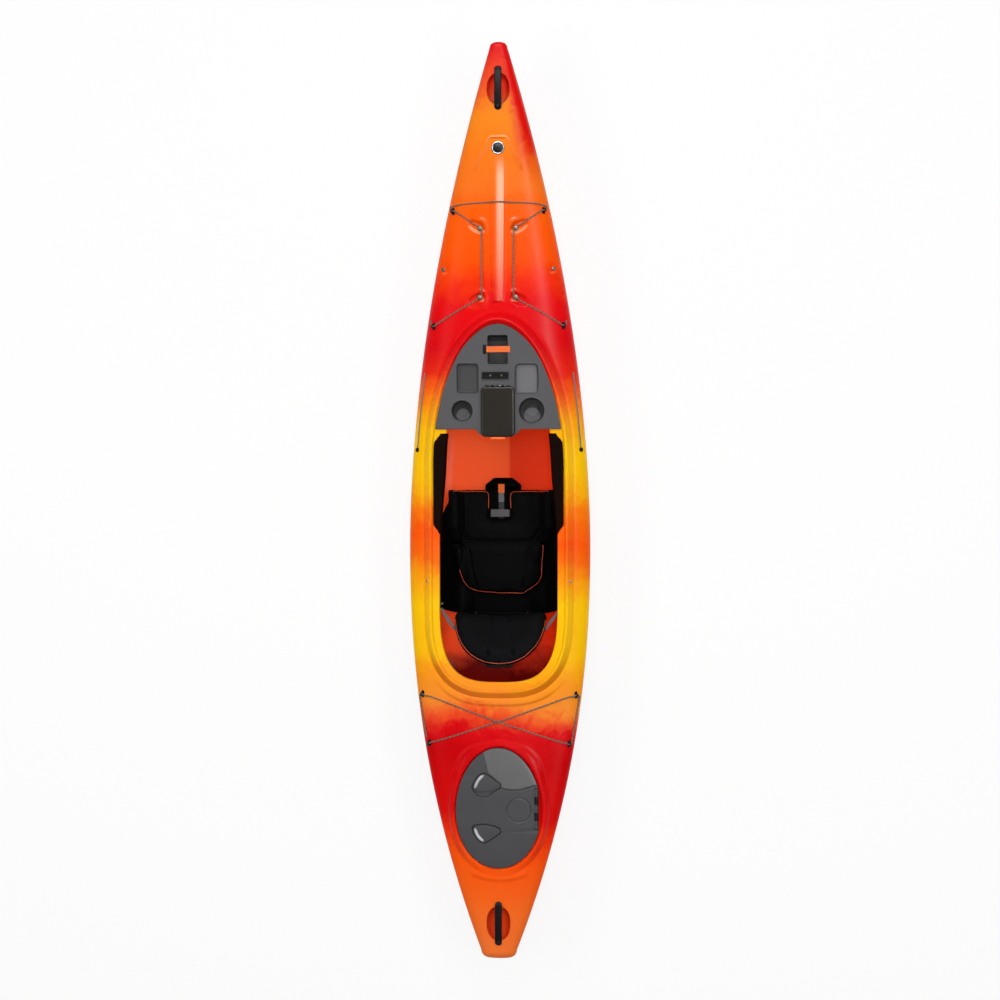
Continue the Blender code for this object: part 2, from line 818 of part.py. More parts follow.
def pad_eye(name):
    """Small base plate with a round bail that a cord runs through."""
    base = prism(name, rounded(EYE_LENGTH, EYE_WIDTH, EYE_WIDTH / 2 - 0.0005, 2), 0.0, EYE_BASE)
    middle = EYE_BASE / 2
    path = [(-EYE_SPAN / 2, 0, middle)]
    for i in range(6):
        angle = math.pi * (1 - i / 5)
        path.append((EYE_SPAN / 2 * math.cos(angle), 0, EYE_BASE + 0.001 + EYE_HEIGHT * math.sin(angle)))
    path.append((EYE_SPAN / 2, 0, middle))
    return piece(join(base, rod("bail", path, EYE_ROD / 2, 6)), name, "black plastic")


def cord_hook(name):
    """Riveted post with a domed head that keeps the cord down."""
    post, flange = HOOK_POST / 2, HOOK_DIAMETER / 2
    profile = [
        (flange, 0.0),
        (flange, 0.0012),
        (post, 0.0018),
        (post, HOOK_HEIGHT),
        (flange * 0.95, HOOK_HEIGHT + 0.0006),
        (flange * 0.90, HOOK_HEIGHT + 0.0025),
        (flange * 0.45, HOOK_HEIGHT + 0.0050),
    ]
    return piece(turned(name, profile, 10), name, "steel")


def deck_button(name, finish):
    """Low round fitting with a domed head."""
    radius = BUTTON_DIAMETER / 2
    height = BUTTON_HEIGHT
    profile = [(radius, 0.0), (radius, 0.0015), (radius * 0.85, height * 0.8), (radius * 0.4, height)]
    return piece(turned(name, profile, 12), name, finish)


def coaming_screw(name):
    """Domed steel screw head."""
    return piece(turned(name, [(0.0065, 0.0), (0.0060, 0.0014), (0.0030, 0.0030)], 10), name, "steel")


def keeper_straps(tree):
    """Flat elastic strap along each side deck, from its button forward."""
    for side, x in sides(1.0):
        rings = []
        for i in range(10):
            y = KEEPER_Y + BUTTON_DIAMETER / 2 + GAP + KEEPER_LENGTH * i / 9
            inward = half_breadth(KEEPER_Y) - KEEPER_X
            frame = seat_matrix(tree, x * (half_breadth(y) - inward), y, 0.004, 0.006)
            corners = [(-0.005, 0.0002), (0.005, 0.0002), (0.005, 0.0026), (-0.005, 0.0026)]
            rings.append([frame @ Vector((px, 0, pz)) for px, pz in corners])
        piece(solid("strap", rings), side + "_keeper_strap", "webbing")


def smooth_route(points, spacing):
    """Points of a smooth curve through a route, about as far apart as spacing, or one for each short span."""
    route = [Vector(point) for point in points]
    route = [2 * route[0] - route[1]] + route + [2 * route[-1] - route[-2]]
    made = []
    for a, b, c, d in zip(route, route[1:], route[2:], route[3:]):
        count = max(1, round((c - b).length / spacing))
        for i in range(count):
            t = i / count
            made.append(
                0.5 * (2 * b + (c - a) * t + (2 * a - 5 * b + 4 * c - d) * t**2
                       + (3 * b - a - 3 * c + d) * t**3)
            )
    return made + [route[-2]]


def over_fitting(frames, name, ahead, out, up):
    """Point in the axes of an eye or hook: towards the bow, away from the deck's middle, off the deck."""
    along = ahead if name.startswith("port") else -ahead
    return frames[name] @ Vector((along, out, up))


def cord_floor(tree, x, y):
    """Lowest place for the middle of a cord over the deck at x, y."""
    place, normal, _, _ = tree.ray_cast(Vector((x, y, 1.0)), Vector((0, 0, -1)))
    return place.z + (CORD_DIAMETER / 2 + 0.0007) / max(normal.z, 0.3)


def laid_cord(name, tree, frames, route, spacing):
    """Round cord. Its route gives deck points (x, y, height over where it lies) and points at fittings."""
    places = []
    for stop in route:
        if isinstance(stop[0], str):
            places.append(over_fitting(frames, *stop))
        else:
            x, y, lift = stop
            places.append(Vector((x, y, cord_floor(tree, x, y) + lift)))
    path = smooth_route(places, spacing)
    for _ in range(4):
        for a, b in zip(path, path[1:]):
            short = max(
                cord_floor(tree, *a.lerp(b, t).xy) - a.lerp(b, t).z
                for t in (0, 0.2, 0.4, 0.6, 0.8, 1)
            )
            if short > 0:
                a.z += short
                b.z += short
    curve = bpy.data.curves.new(name, "CURVE")
    curve.dimensions = "3D"
    curve.bevel_depth = CORD_DIAMETER / 2
    curve.bevel_resolution = 2
    curve.use_fill_caps = True
    spline = curve.splines.new("POLY")
    spline.points.add(len(path) - 1)
    for place, point in zip(spline.points, path):
        place.co = (*point, 1.0)
    made = bpy.data.objects.new(name, curve)
    bpy.context.scene.collection.objects.link(made)
    curve.materials.append(material("bungee"))
    return made


def hook_wrap(name, turns, up=0.0062):
    """Route round the inboard side of a hook's post, at angles from inboard towards the bow."""
    reach = HOOK_POST / 2 + CORD_DIAMETER / 2 + 0.0008
    points = [(reach * math.cos(math.radians(t)), reach * math.sin(math.radians(t))) for t in turns]
    return [(name, ahead, -inboard, up) for inboard, ahead in points]


def bow_route(side, sign):
    """Half of the bow bungee's route, from its aft eye round two hooks and through its fore eye."""
    eye, hook = side + "_bow_eye_", side + "_cord_hook_"
    front = CREST_FRONT_Y
    route = [
        (eye + "aft", 0.024, 0.0130, 0.0055),
        (eye + "aft", 0.012, 0.0125, 0.0062),
        (eye + "aft", 0.003, 0.0080, 0.0078),
        (eye + "aft", 0.000, 0.0000, 0.0082),
        (eye + "aft", 0.003, -0.0110, 0.0068),
        (sign * 0.2400, front + 0.0010, 0.0002),
        (sign * 0.0950, front + 0.0830, 0.0012),
    ]
    route += hook_wrap(hook + "aft", (-56, -28, 0))
    route += [(sign * (HOOK_X - 0.0080), front + HOOKS_AHEAD[1] + 0.030, 0.0)]
    route += [(sign * (HOOK_X - 0.0080), front + HOOKS_AHEAD[0] - 0.030, 0.0)]
    route += hook_wrap(hook + "fore", (0, 28, 56))
    route += [
        (sign * 0.0950, front + 0.3990, 0.0012),
        (sign * 0.1650, front + 0.4480, 0.0010),
        (eye + "fore", -0.001, -0.0075, 0.0077),
        (eye + "fore", 0.001, 0.0010, 0.0082),
        (eye + "fore", 0.003, 0.0085, 0.0078),
        (eye + "fore", 0.011, 0.0125, 0.0068),
        (eye + "fore", 0.020, 0.0100, 0.0062),
        (sign * 0.1830, front + CORD_ARCH_AHEAD - 0.003, 0.0),
        (sign * 0.1500, front + CORD_ARCH_AHEAD, 0.0),
        (sign * 0.0600, front + CORD_ARCH_AHEAD + 0.003, 0.0),
    ]
    return route


def eye_turn(name, ahead):
    """Route from the side deck inwards through a rear eye, by a cord from ahead of it or from behind."""
    sign = 1 if ahead else -1
    return [
        (name, sign * 0.018, 0.0130, 0.0060),
        (name, sign * 0.006, 0.0125, 0.0068),
        (name, sign * -0.0005, 0.0075, 0.0078),
        (name, sign * -0.0005, 0.0, 0.0082),
        (name, sign * 0.001, -0.0070, 0.0077),
        (name, sign * 0.006, -0.0170, 0.0060),
    ]


def rear_route():
    """Rear bungee's route: a crossed loop through four eyes, with both of its ends at the port aft eye."""
    rear = CREST_REAR_Y
    middle = rear - 0.131
    route = [("port_rear_eye_aft", -0.016, 0.0120, 0.0060), ("port_rear_eye_aft", -0.006, 0.0100, 0.0070)]
    route += eye_turn("port_rear_eye_aft", True)[3:]
    route += [(-0.2400, rear - 0.2105, 0.0), (-0.0700, middle - 0.0230, 0.0), (0.0, middle, 0.0)]
    route += [(0.0700, middle + 0.0230, 0.0), (0.2700, rear - 0.0365, 0.0)]
    route += eye_turn("starboard_rear_eye_fore", False)[::-1]
    route += [(0.3215, rear - 0.110, 0.0)]
    route += eye_turn("starboard_rear_eye_aft", True)
    route += [
        (0.2400, rear - 0.2105, 0.0), (0.0700, middle - 0.0230, 0.001), (0.0220, middle - 0.0072, 0.0074)
    ]
    route += [(0.0, middle, 0.0078), (-0.0220, middle + 0.0072, 0.0074), (-0.0700, middle + 0.0230, 0.001)]
    route += [(-0.2700, rear - 0.0365, 0.0)]
    route += eye_turn("port_rear_eye_fore", False)[::-1]
    route += [(-0.3215, rear - 0.110, 0.0), ("port_rear_eye_aft", 0.024, 0.0130, 0.0060)]
    return route


def bungees(tree, frames):
    """The bow cord and the crossed rear cord."""
    middle = (0.0, CREST_FRONT_Y + CORD_ARCH_AHEAD + 0.004, 0.0)
    route = bow_route("port", -1) + [middle] + bow_route("starboard", 1)[::-1]
    laid_cord("bow_bungee", tree, frames, route, CORD_SPACING)
    laid_cord("rear_bungee", tree, frames, rear_route(), CORD_SPACING)


# Foam inside the hull


def foam():
    """Bulkhead behind the cockpit and pillar under the foredeck, both cut to the hull's inside."""
    rear = CREST_REAR_Y - BULKHEAD_SETBACK
    bulkhead = box("bulkhead", (-BEAM, rear - BULKHEAD_THICKNESS, -0.1), (BEAM, rear, 0.6))
    carve(bulkhead, inner_form(WALL + 0.0005), "INTERSECT")
    piece(bulkhead, "rear_bulkhead", "foam")
    front = CREST_FRONT_Y + PILLAR_SETBACK
    pillar = box("pillar", (-PILLAR_WIDTH / 2, front, -0.1), (PILLAR_WIDTH / 2, front + PILLAR_LENGTH, 0.6))
    carve(pillar, inner_form(WALL + 0.0005), "INTERSECT")
    piece(pillar, "bow_foam_pillar", "foam")


# Rear hatch


def hatch():
    """Lid with its latch levers, gasket, hinge leaf and pin."""
    middle = hatch_centre()
    axis_x = HATCH_WIDTH / 2 - HINGE_INSET
    axis_z = HATCH_Z + 0.013
    ledge = HATCH_Z - GASKET_HEIGHT
    half = HINGE_LENGTH / 2
    gasket_out = hatch_line(HATCH_LEDGE - 0.004 - GASKET_WIDTH)
    gasket_in = hatch_line(HATCH_LEDGE - 0.004)
    low, high = ledge + GAP, ledge + GAP + GASKET_HEIGHT
    rings = [
        [(*a, low), (*a, high), (*b, high), (*b, low)]
        for a, b in zip(gasket_out.tolist(), gasket_in.tolist())
    ]
    piece(solid("gasket", rings, joined=True), "hatch_gasket", "rubber")

    edge = hatch_line(0.0005).tolist()
    underside = high + GAP

    def shrunk(inset, share, z):
        """Ring of the lid: its edge moved in by inset, then drawn to its middle by share."""
        return [(x * share, middle + (y - middle) * share, z) for x, y in hatch_line(inset).tolist()]

    top = [(0.96, 0.003), (0.66, 0.0095), (0.20, LID_CROWN)]
    rings = [shrunk(0.0005, share, HATCH_Z + LID_EDGE + rise) for share, rise in top[::-1]]
    rings += [[(x, y, HATCH_Z + LID_EDGE) for x, y in edge], [(x, y, HATCH_Z - 0.003) for x, y in edge]]
    rings += [
        shrunk(0.0065, 1.0, HATCH_Z - 0.003),
        shrunk(0.0065, 1.0, underside),
        shrunk(0.032, 1.0, underside),
    ]
    rings += [shrunk(0.034, 1.0, HATCH_Z + LID_EDGE - 0.002)]
    rings += [shrunk(0.0005, share - 0.10, HATCH_Z + LID_EDGE + rise - LID_WALL) for share, rise in top[1:]]
    lid = solid("lid", rings)
    for sign in (1, -1):
        housing = latch_outline(sign, 0.009)
        join(lid, prism("housing", housing, HATCH_Z + 0.002, HATCH_Z + LID_EDGE + 0.006))
    for sign in (1, -1):
        floor = HATCH_Z + LID_EDGE + 0.006 - LATCH_WELL_DEPTH + 0.004
        carve(lid, prism("well", latch_outline(sign, 0.004), floor, HATCH_Z + 0.1))
    notch_x = axis_x - HINGE_BARREL_RADIUS - 0.002
    relief = (notch_x, middle - HATCH_LENGTH, HATCH_Z - 0.05), (
        HATCH_WIDTH, middle + HATCH_LENGTH, HATCH_Z + 0.004
    )
    carve(lid, box("relief", *relief))
    carve(lid, box("notch", (notch_x, middle - half - 0.004, 0.2), (HATCH_WIDTH, middle + half + 0.004, 0.5)))
    knuckle_half = HINGE_LENGTH / 5 / 2 - GAP
    for k in (-2, 0, 2):
        y = middle + k * HINGE_LENGTH / 5
        join(lid, barrel(axis_x, axis_z, y - knuckle_half, y + knuckle_half, HINGE_BARREL_RADIUS))
        web = (notch_x - 0.004, y - knuckle_half, axis_z - 0.0025), (
            axis_x - 0.003, y + knuckle_half, axis_z + 0.0025
        )
        join(lid, box("web", *web))
    carve(lid, barrel(axis_x, axis_z, middle - half - 0.01, middle + half + 0.01, HINGE_PIN_RADIUS + GAP))
    piece(lid, "hatch_lid", "hatch grey")

    leaf_low, leaf_high = axis_x + 0.0025, axis_x + 0.0088
    leaf = box("leaf", (leaf_low, middle - half, ledge + GAP), (leaf_high, middle + half, ledge + 0.0022))
    for k in (-1, 1):
        y = middle + k * HINGE_LENGTH / 5
        join(leaf, barrel(axis_x, axis_z, y - knuckle_half, y + knuckle_half, HINGE_BARREL_RADIUS))
        web = (leaf_low, y - knuckle_half, ledge + 0.001), (
            leaf_high - 0.001, y + knuckle_half, axis_z + 0.001
        )
        join(leaf, box("web", *web))
    carve(leaf, barrel(axis_x, axis_z, middle - half - 0.01, middle + half + 0.01, HINGE_PIN_RADIUS + GAP))
    piece(leaf, "hatch_hinge_leaf", "black plastic")
    pin = barrel(axis_x, axis_z, middle - half, middle + half, HINGE_PIN_RADIUS)
    piece(pin, "hatch_hinge_pin", "steel")

    hinge = pivot("hatch_hinge", Matrix.Translation((axis_x, middle, axis_z)), [lid], local=False)
    for name, sign in (("hatch_latch_fore", 1), ("hatch_latch_aft", -1)):
        floor = HATCH_Z + LID_EDGE + 0.010 - LATCH_WELL_DEPTH
        lever = prism("lever", latch_outline(sign, 0.0), floor + GAP, floor + GAP + LATCH_THICKNESS)
        grip = prism("grip", latch_grip(sign), floor + GAP + 0.001, floor + LATCH_THICKNESS + 0.006)
        piece(join(lever, grip), name, "hatch grey")
        place = Vector((LATCH_APEX_X - 0.0005, middle + sign * LATCH_APEX_Y, floor + 0.0025))
        joint = pivot(name + "_pivot", Matrix.Translation(place), [lever], local=False)
        joint.parent = hinge
        joint.matrix_parent_inverse = hinge.matrix_world.inverted()


LATCH_APEX_X, LATCH_APEX_Y = 0.008, 0.095


def latch_outline(sign, grow):
    """Plan of a latch lever: a rounded fan from its apex to a crescent edge, made larger by grow."""
    fan = [(0.008, 0.088), (0.008, 0.101), (-0.020, 0.120), (-0.054, 0.142), (-0.066, 0.142)]
    fan += [
        (-0.084, 0.130),
        (-0.099, 0.108),
        (-0.107, 0.083),
        (-0.102, 0.074),
        (-0.062, 0.068),
        (-0.018, 0.074),
    ]
    points = [(x, hatch_centre() + sign * y) for x, y in (fan if sign > 0 else fan[::-1])]
    points, normals = with_normals(points)
    return (points + normals * grow).tolist()


def latch_grip(sign):
    """Plan of the raised crescent along the lever's outer edge."""
    outer = [(-0.064, 0.139), (-0.081, 0.128), (-0.096, 0.107), (-0.104, 0.084)]
    inner = [(-0.097, 0.086), (-0.088, 0.104), (-0.075, 0.121), (-0.060, 0.133)]
    points = [(x, hatch_centre() + sign * y) for x, y in outer + inner]
    return points if sign > 0 else points[::-1]


def barrel(x, z, low_y, high_y, radius):
    """Cylinder along y."""
    return solid("barrel", [[(x + px, y, z + pz) for px, pz in circle(radius, 10)] for y in (low_y, high_y)])


def bar_along_x(y, z, low_x, high_x, radius, steps=10):
    """Cylinder along x."""
    return solid("bar", [[(x, y + py, z + pz) for py, pz in circle(radius, steps)] for x in (low_x, high_x)])


# Console


def console_frame():
    """Axes of the console: x to starboard, y up the slope, z off its sheet, origin at its rear edge."""
    ledge = crest_height(CONSOLE_REAR_Y) - LEDGE_DROP
    frame = Matrix.Rotation(math.atan(CREST_SLOPE), 4, "X")
    frame.translation = Vector((0, CONSOLE_REAR_Y, ledge + GAP))
    return frame


def console_outline():
    """Plan of the console sheet: the crest line moved in, cut straight behind, with an arm for the box."""
    points, normals = crest_line()
    share = np.clip((points[:, 1] - CONSOLE_REAR_Y) / (CREST_FRONT_Y - CONSOLE_REAR_Y), 0, 1)
    clearance = CONSOLE_CLEARANCE + (CONSOLE_FRONT_CLEARANCE - CONSOLE_CLEARANCE) * share**2
    inner = points - normals * clearance[:, None]
    stretch = math.sqrt(1 + CREST_SLOPE**2)
    front = [(x, (y - CONSOLE_REAR_Y) * stretch) for x, y in inner.tolist() if y > CONSOLE_REAR_Y + 0.01]
    right = sorted(point[::-1] for point in inner.tolist() if point[0] > 0 and abs(point[1]) < CREST_FRONT_Y)
    start_x = np.interp(CONSOLE_REAR_Y, [y for y, _ in right], [x for _, x in right])
    arm = BOX_WIDTH / 2 + 0.012
    rear = [
        (-start_x, 0.0),
        (-arm - 0.016, 0.0),
        (-arm, -0.022),
        (arm, -0.022),
        (arm + 0.016, 0.0),
        (start_x, 0.0),
    ]
    order = sorted(front, key=lambda point: math.atan2(point[1], point[0]))
    return order + rear


def cup_places():
    """Centre and diameter of each cup holder in the console's axes."""
    return [
        (-CUP_SPACING / 2 - 0.005, CUPS_Y, CUP_PORT_DIAMETER),
        (CUP_SPACING / 2 - 0.005, CUPS_Y, CUP_STARBOARD_DIAMETER),
    ]


def console():
    """Lift-off tray over the knees with its wells, cup holders, track, strap and dry box."""
    top = CONSOLE_SHEET
    sheet = prism("sheet", console_outline(), 0.0, top)
    box_middle = BOX_LENGTH / 2 - BOX_OVERHANG
    for x, y, diameter in cup_places():
        outer = [(diameter / 2 * 0.84 + CONSOLE_WALL, -CUP_DEPTH), (diameter / 2 + CONSOLE_WALL, 0.003)]
        cup = turned("cup", outer, 18)
        cup.data.transform(Matrix.Translation((x, y, 0)))
        join(sheet, cup)
    for x, y in TRAYS:
        tub = rounded(TRAY_WIDTH + 2 * CONSOLE_WALL, TRAY_LENGTH + 2 * CONSOLE_WALL, 0.016, 3, (x, y))
        join(sheet, prism("tub", tub, -TRAY_DEPTH, 0.003))
    tub = rounded(WELL_WIDTH + 2 * CONSOLE_WALL, WELL_LENGTH + 2 * CONSOLE_WALL, 0.012, 3, (0.0, WELL_Y))
    join(sheet, prism("tub", tub, -WELL_DEPTH, 0.003))
    for x, y, diameter in cup_places():
        cup = turned("cup", [(diameter / 2 * 0.84, CONSOLE_WALL - CUP_DEPTH), (diameter / 2, top + 0.01)], 18)
        cup.data.transform(Matrix.Translation((x, y, 0)))
        carve(sheet, cup)
    for x, y in TRAYS:
        hollow = rounded(TRAY_WIDTH, TRAY_LENGTH, 0.014, 3, (x, y))
        carve(sheet, prism("hollow", hollow, CONSOLE_WALL - TRAY_DEPTH, top + 0.01))
    hollow = rounded(WELL_WIDTH, WELL_LENGTH, 0.010, 3, (0.0, WELL_Y))
    carve(sheet, prism("hollow", hollow, CONSOLE_WALL - WELL_DEPTH, top + 0.01))
    opening = rounded(BOX_WIDTH + 0.002, BOX_LENGTH - 0.016, 0.012, 3, (0.0, box_middle - 0.004))
    carve(sheet, prism("opening", opening, -0.05, top + 0.05))
    piece(sheet, "console", "grey plastic")
    parts = [sheet] + console_track() + console_strap() + dry_box(box_middle)
    pivot("console_frame", console_frame(), parts)


def console_track():
    """Slotted accessory rail screwed to the sheet."""
    low = CONSOLE_SHEET + GAP
    rail = prism(
        "rail", rounded(TRACK_LENGTH, TRACK_WIDTH, 0.004, 2, (-0.010, TRACK_Y)), low, low + TRACK_HEIGHT
    )
    slot = TRACK_SLOT / 2
    carve(rail, box("slot", (-0.2, TRACK_Y - slot, low + 0.005), (0.2, TRACK_Y + slot, low + 0.1)))
    undercut = slot + 0.003
    carve(
        rail,
        box("undercut", (-0.2, TRACK_Y - undercut, low + 0.0025), (0.2, TRACK_Y + undercut, low + 0.006)),
    )
    return [piece(rail, "accessory_track", "black plastic")]


def console_strap():
    """Elastic strap across the front well."""
    low = CONSOLE_SHEET + GAP
    half = WELL_WIDTH / 2 + 0.009
    strap = box("strap", (-half, WELL_Y - 0.0105, low), (half, WELL_Y + 0.0145, low + 0.002))
    toggle = box("toggle", (-half - 0.009, WELL_Y - 0.017, low), (-half + 0.005, WELL_Y + 0.021, low + 0.006))
    return [piece(join(strap, toggle), "console_strap", "orange")]


def dry_box(middle):
    """Tub hung in the console, its hinged lid and its latch, on two joints of their own."""
    top = CONSOLE_SHEET
    outer = rounded(BOX_WIDTH, BOX_LENGTH - 0.020, 0.011, 3, (0.0, middle - 0.004))
    tub = prism("tub", outer, top - BOX_DEPTH, top + 0.002)
    flange = rounded(BOX_WIDTH + 0.012, BOX_LENGTH - 0.012, 0.014, 3, (0.0, middle - 0.004))
    join(tub, prism("flange", flange, top + GAP, top + 0.003))
    inside = rounded(
        BOX_WIDTH - 2 * BOX_WALL, BOX_LENGTH - 0.020 - 2 * BOX_WALL, 0.008, 3, (0.0, middle - 0.004)
    )
    carve(tub, prism("inside", inside, top - BOX_DEPTH + BOX_WALL, top + 0.1))
    rear = middle - 0.004 - (BOX_LENGTH - 0.020) / 2
    latch_z = top - 0.022
    for x in (-BOX_LATCH_WIDTH / 2 - 0.002 - GAP, BOX_LATCH_WIDTH / 2 + 0.002 + GAP):
        ear = box(
            "ear", (x - 0.002, rear - 0.009, latch_z - 0.006), (x + 0.002, rear + 0.001, latch_z + 0.006)
        )
        join(tub, ear)
    hinge_y = middle - 0.004 + BOX_LENGTH / 2 + 0.001
    hinge_z = top + 0.007
    for x in (-0.021, 0.021):
        foot = (x - 0.010, hinge_y - 0.010, top + GAP), (x + 0.010, hinge_y + BOX_BARREL, top + 0.0028)
        join(tub, box("foot", *foot))
        post = (x - 0.010, hinge_y - BOX_BARREL, top + 0.0015), (x + 0.010, hinge_y + BOX_BARREL, hinge_z)
        join(tub, box("post", *post))
        join(tub, bar_along_x(hinge_y, hinge_z, x - 0.0103, x + 0.0103, BOX_BARREL, 8))
    join(tub, bar_along_x(hinge_y, hinge_z, -0.050, 0.050, BOX_PIN_RADIUS, 8))
    piece(tub, "dry_box_tub", "smoked plastic")

    low = top + 0.003 + GAP
    outline = rounded(BOX_WIDTH + 0.007, BOX_LENGTH - 0.006, 0.016, 4, (0.0, middle - 0.004))
    centre = Vector((0, middle - 0.004, 0))

    def lid_ring(share, z):
        return [(x * share, centre.y + (y - centre.y) * share, z) for x, y in outline]

    height = BOX_LID_THICKNESS
    rings = [
        lid_ring(0.55, low + 0.009), lid_ring(0.84, low + 0.008), lid_ring(0.88, low), lid_ring(1.0, low)
    ]
    rings += [
        lid_ring(1.0, low + height - 0.005),
        lid_ring(0.93, low + height - 0.001),
        lid_ring(0.5, low + height),
    ]
    lid = solid("lid", rings)
    for x in (-0.042, 0.0, 0.042):
        knuckle = bar_along_x(hinge_y, hinge_z, x - 0.010, x + 0.010, BOX_BARREL, 8)
        web = (x - 0.0097, hinge_y - 0.008, hinge_z - 0.0028), (x + 0.0097, hinge_y - 0.001, hinge_z + 0.0028)
        join(knuckle, box("web", *web))
        join(lid, knuckle)
    carve(lid, bar_along_x(hinge_y, hinge_z, -0.1, 0.1, BOX_PIN_RADIUS + 0.0006, 8))
    piece(lid, "dry_box_lid", "smoked plastic")

    half = BOX_LATCH_WIDTH / 2
    reach = low + height
    inner = rear - 0.0074
    gap_y = rear - 0.0035
    clip = [(gap_y, latch_z - 0.004), (gap_y - 0.005, latch_z - 0.004), (inner - 0.004, low)]
    clip += [(inner - 0.004, reach - 0.006), (inner - 0.010, reach - 0.004), (inner - 0.010, reach - 0.001)]
    clip += [(inner - 0.003, reach + 0.0005), (inner, reach - 0.001), (inner, low)]
    latch = side_prism("latch", clip, -half, half)
    piece(latch, "dry_box_latch", "orange")
    lid_pivot = pivot("dry_box_lid_pivot", Matrix.Translation((0, hinge_y, hinge_z)), [lid], local=False)
    latch_pivot = pivot(
        "dry_box_latch_pivot", Matrix.Translation((0, gap_y - 0.002, latch_z)), [latch], local=False
    )
    return [tub, lid_pivot, latch_pivot]


# Seat


def pan_breaks():
    """Corners of half the pan's section: arc length, x, height over the floor, lean of the next stretch."""
    corners = [(0.0, 0.0, 0.0, 0.0)]
    s, x, z, lean = 0.0, 0.0, 0.0, 0.0
    turn = math.radians(SEAT_WALL_ANGLE) / SEAT_BENDS
    chord = 2 * SEAT_BEND_RADIUS * math.sin(turn / 2)
    for length in [SEAT_FLOOR_HALF] + [chord] * (SEAT_BENDS - 1):
        s, x, z = s + length, x + length * math.cos(lean), z + length * math.sin(lean)
        lean += turn
        corners.append((s, x, z, lean))
    return corners


def pan_curve(s):
    """Place (x, z) across the seat pan at arc length s from its middle, and the mitred inward normal."""
    corners = pan_breaks()
    side, s = math.copysign(1, s), abs(s)
    k = max(i for i, corner in enumerate(corners) if corner[0] <= s + 1e-9)
    start, x, z, lean = corners[k]
    x, z = x + (s - start) * math.cos(lean), z + (s - start) * math.sin(lean)

    def mitre(i):
        """Normal at corner i, long enough to reach the meeting of the two stretches moved in by one."""
        before = corners[i - 1][3] if i else -corners[0][3]
        middle = (before + corners[i][3]) / 2
        scale = 1 / math.cos((corners[i][3] - before) / 2)
        return Vector((-math.sin(middle), math.cos(middle))) * scale

    normal = mitre(k)
    if k + 1 < len(corners):
        normal = normal.lerp(mitre(k + 1), (s - start) / (corners[k + 1][0] - start))
    elif s - start > 1e-9:
        square = Vector((-math.sin(lean), math.cos(lean)))
        normal = normal.lerp(square, min(1.0, (s - start) / (pan_reach(SEAT_DEPTH) - start)))
    return Vector((side * x, z)), Vector((side * normal.x, normal.y))


def pan_reach(depth):
    """Arc length from the middle of the pan to where its wall has risen by depth."""
    start, _, z, lean = pan_breaks()[-1]
    return start + (depth - z) / math.sin(lean)


def strips(reach):
    """Arc lengths across the pan from -reach to reach, with one at each corner of its section."""
    half = sorted({corner[0] for corner in pan_breaks() if 0 < corner[0] < reach} | {reach})
    return [-s for s in half[::-1]] + [0.0] + half


def pan_floor_z():
    """Height of the underside of the pan's floor."""
    return WALL + GAP + SEAT_RAISE


def pan_point(s, y, off):
    """Point over the pan's underside, at arc length s, place y and distance off along the normal."""
    place, normal = pan_curve(s)
    place = place + normal * off
    return Vector((place.x, y, pan_floor_z() + place.y))


def seat_pan():
    """Bucket of the seat on two runners, with two ears that carry the backrest's pin."""
    full = pan_reach(SEAT_DEPTH)
    low_reach = pan_reach(0.060)
    rings = []
    for i in range(9):
        share = i / 8
        y = SEAT_FRONT_Y + (SEAT_REAR_Y - SEAT_FRONT_Y) * share
        strip = strips(low_reach + (full - low_reach) * ease(share / 0.30))

        def edge_y(s):
            """The rear edge bows aft in the middle, more so towards the rear."""
            return y - 0.030 * share**3 * (1 - (s / full) ** 2)

        ring = [pan_point(s, edge_y(s), 0.0) for s in strip]
        ring += [pan_point(s, edge_y(s), SEAT_SHEET) for s in strip[::-1]]
        rings.append(ring)
    pan = solid("pan", rings)
    floor = WALL + GAP
    for side, x in sides(0.115):
        low, high = (x - 0.014, SEAT_REAR_Y + 0.05, floor), (
            x + 0.014, SEAT_FRONT_Y - 0.05, pan_floor_z() + 0.002
        )
        join(pan, box("runner", low, high))
    ear_low = pan_floor_z() + 0.001
    rear = SEAT_REAR_Y
    profile = [(rear + 0.045, ear_low), (rear - 0.012, ear_low), (BACK_HINGE_Y - 0.012, BACK_HINGE_Z - 0.010)]
    profile += [(BACK_HINGE_Y - 0.010, BACK_HINGE_Z + 0.010), (BACK_HINGE_Y + 0.010, BACK_HINGE_Z + 0.010)]
    for side, x in sides(BACK_PIN_LENGTH / 2 - 0.012):
        join(pan, side_prism("ear", profile, x - 0.004, x + 0.004))
    carve(pan, bar_along_x(BACK_HINGE_Y, BACK_HINGE_Z, -0.3, 0.3, BACK_PIN_RADIUS + GAP))
    return piece(pan, "seat_pan", "black plastic")


def seat_hangers():
    """Brackets from the coaming ledge down to the sides of the pan."""
    full, _ = pan_curve(pan_reach(SEAT_DEPTH))
    inner_x = full.x + GAP
    y = SCREW_Y
    crest = crest_height(y)
    under = crest - LEDGE_DROP - 0.002 - RIM_WALL - GAP
    low = pan_floor_z() + SEAT_DEPTH - 0.060
    flange = CREST_HALF_WIDTH + 0.004
    profile = [(inner_x, low), (inner_x + HANGER_SHEET, low), (inner_x + HANGER_SHEET, under - HANGER_SHEET)]
    profile += [(flange, under - HANGER_SHEET), (flange, under), (inner_x, under)]
    for side, sign in sides(1.0):
        ends = y - HANGER_WIDTH / 2, y + HANGER_WIDTH / 2
        rings = [[(sign * x, py, z) for x, z in profile] for py in ends]
        piece(solid("hanger", rings), side + "_seat_hanger", "black plastic")


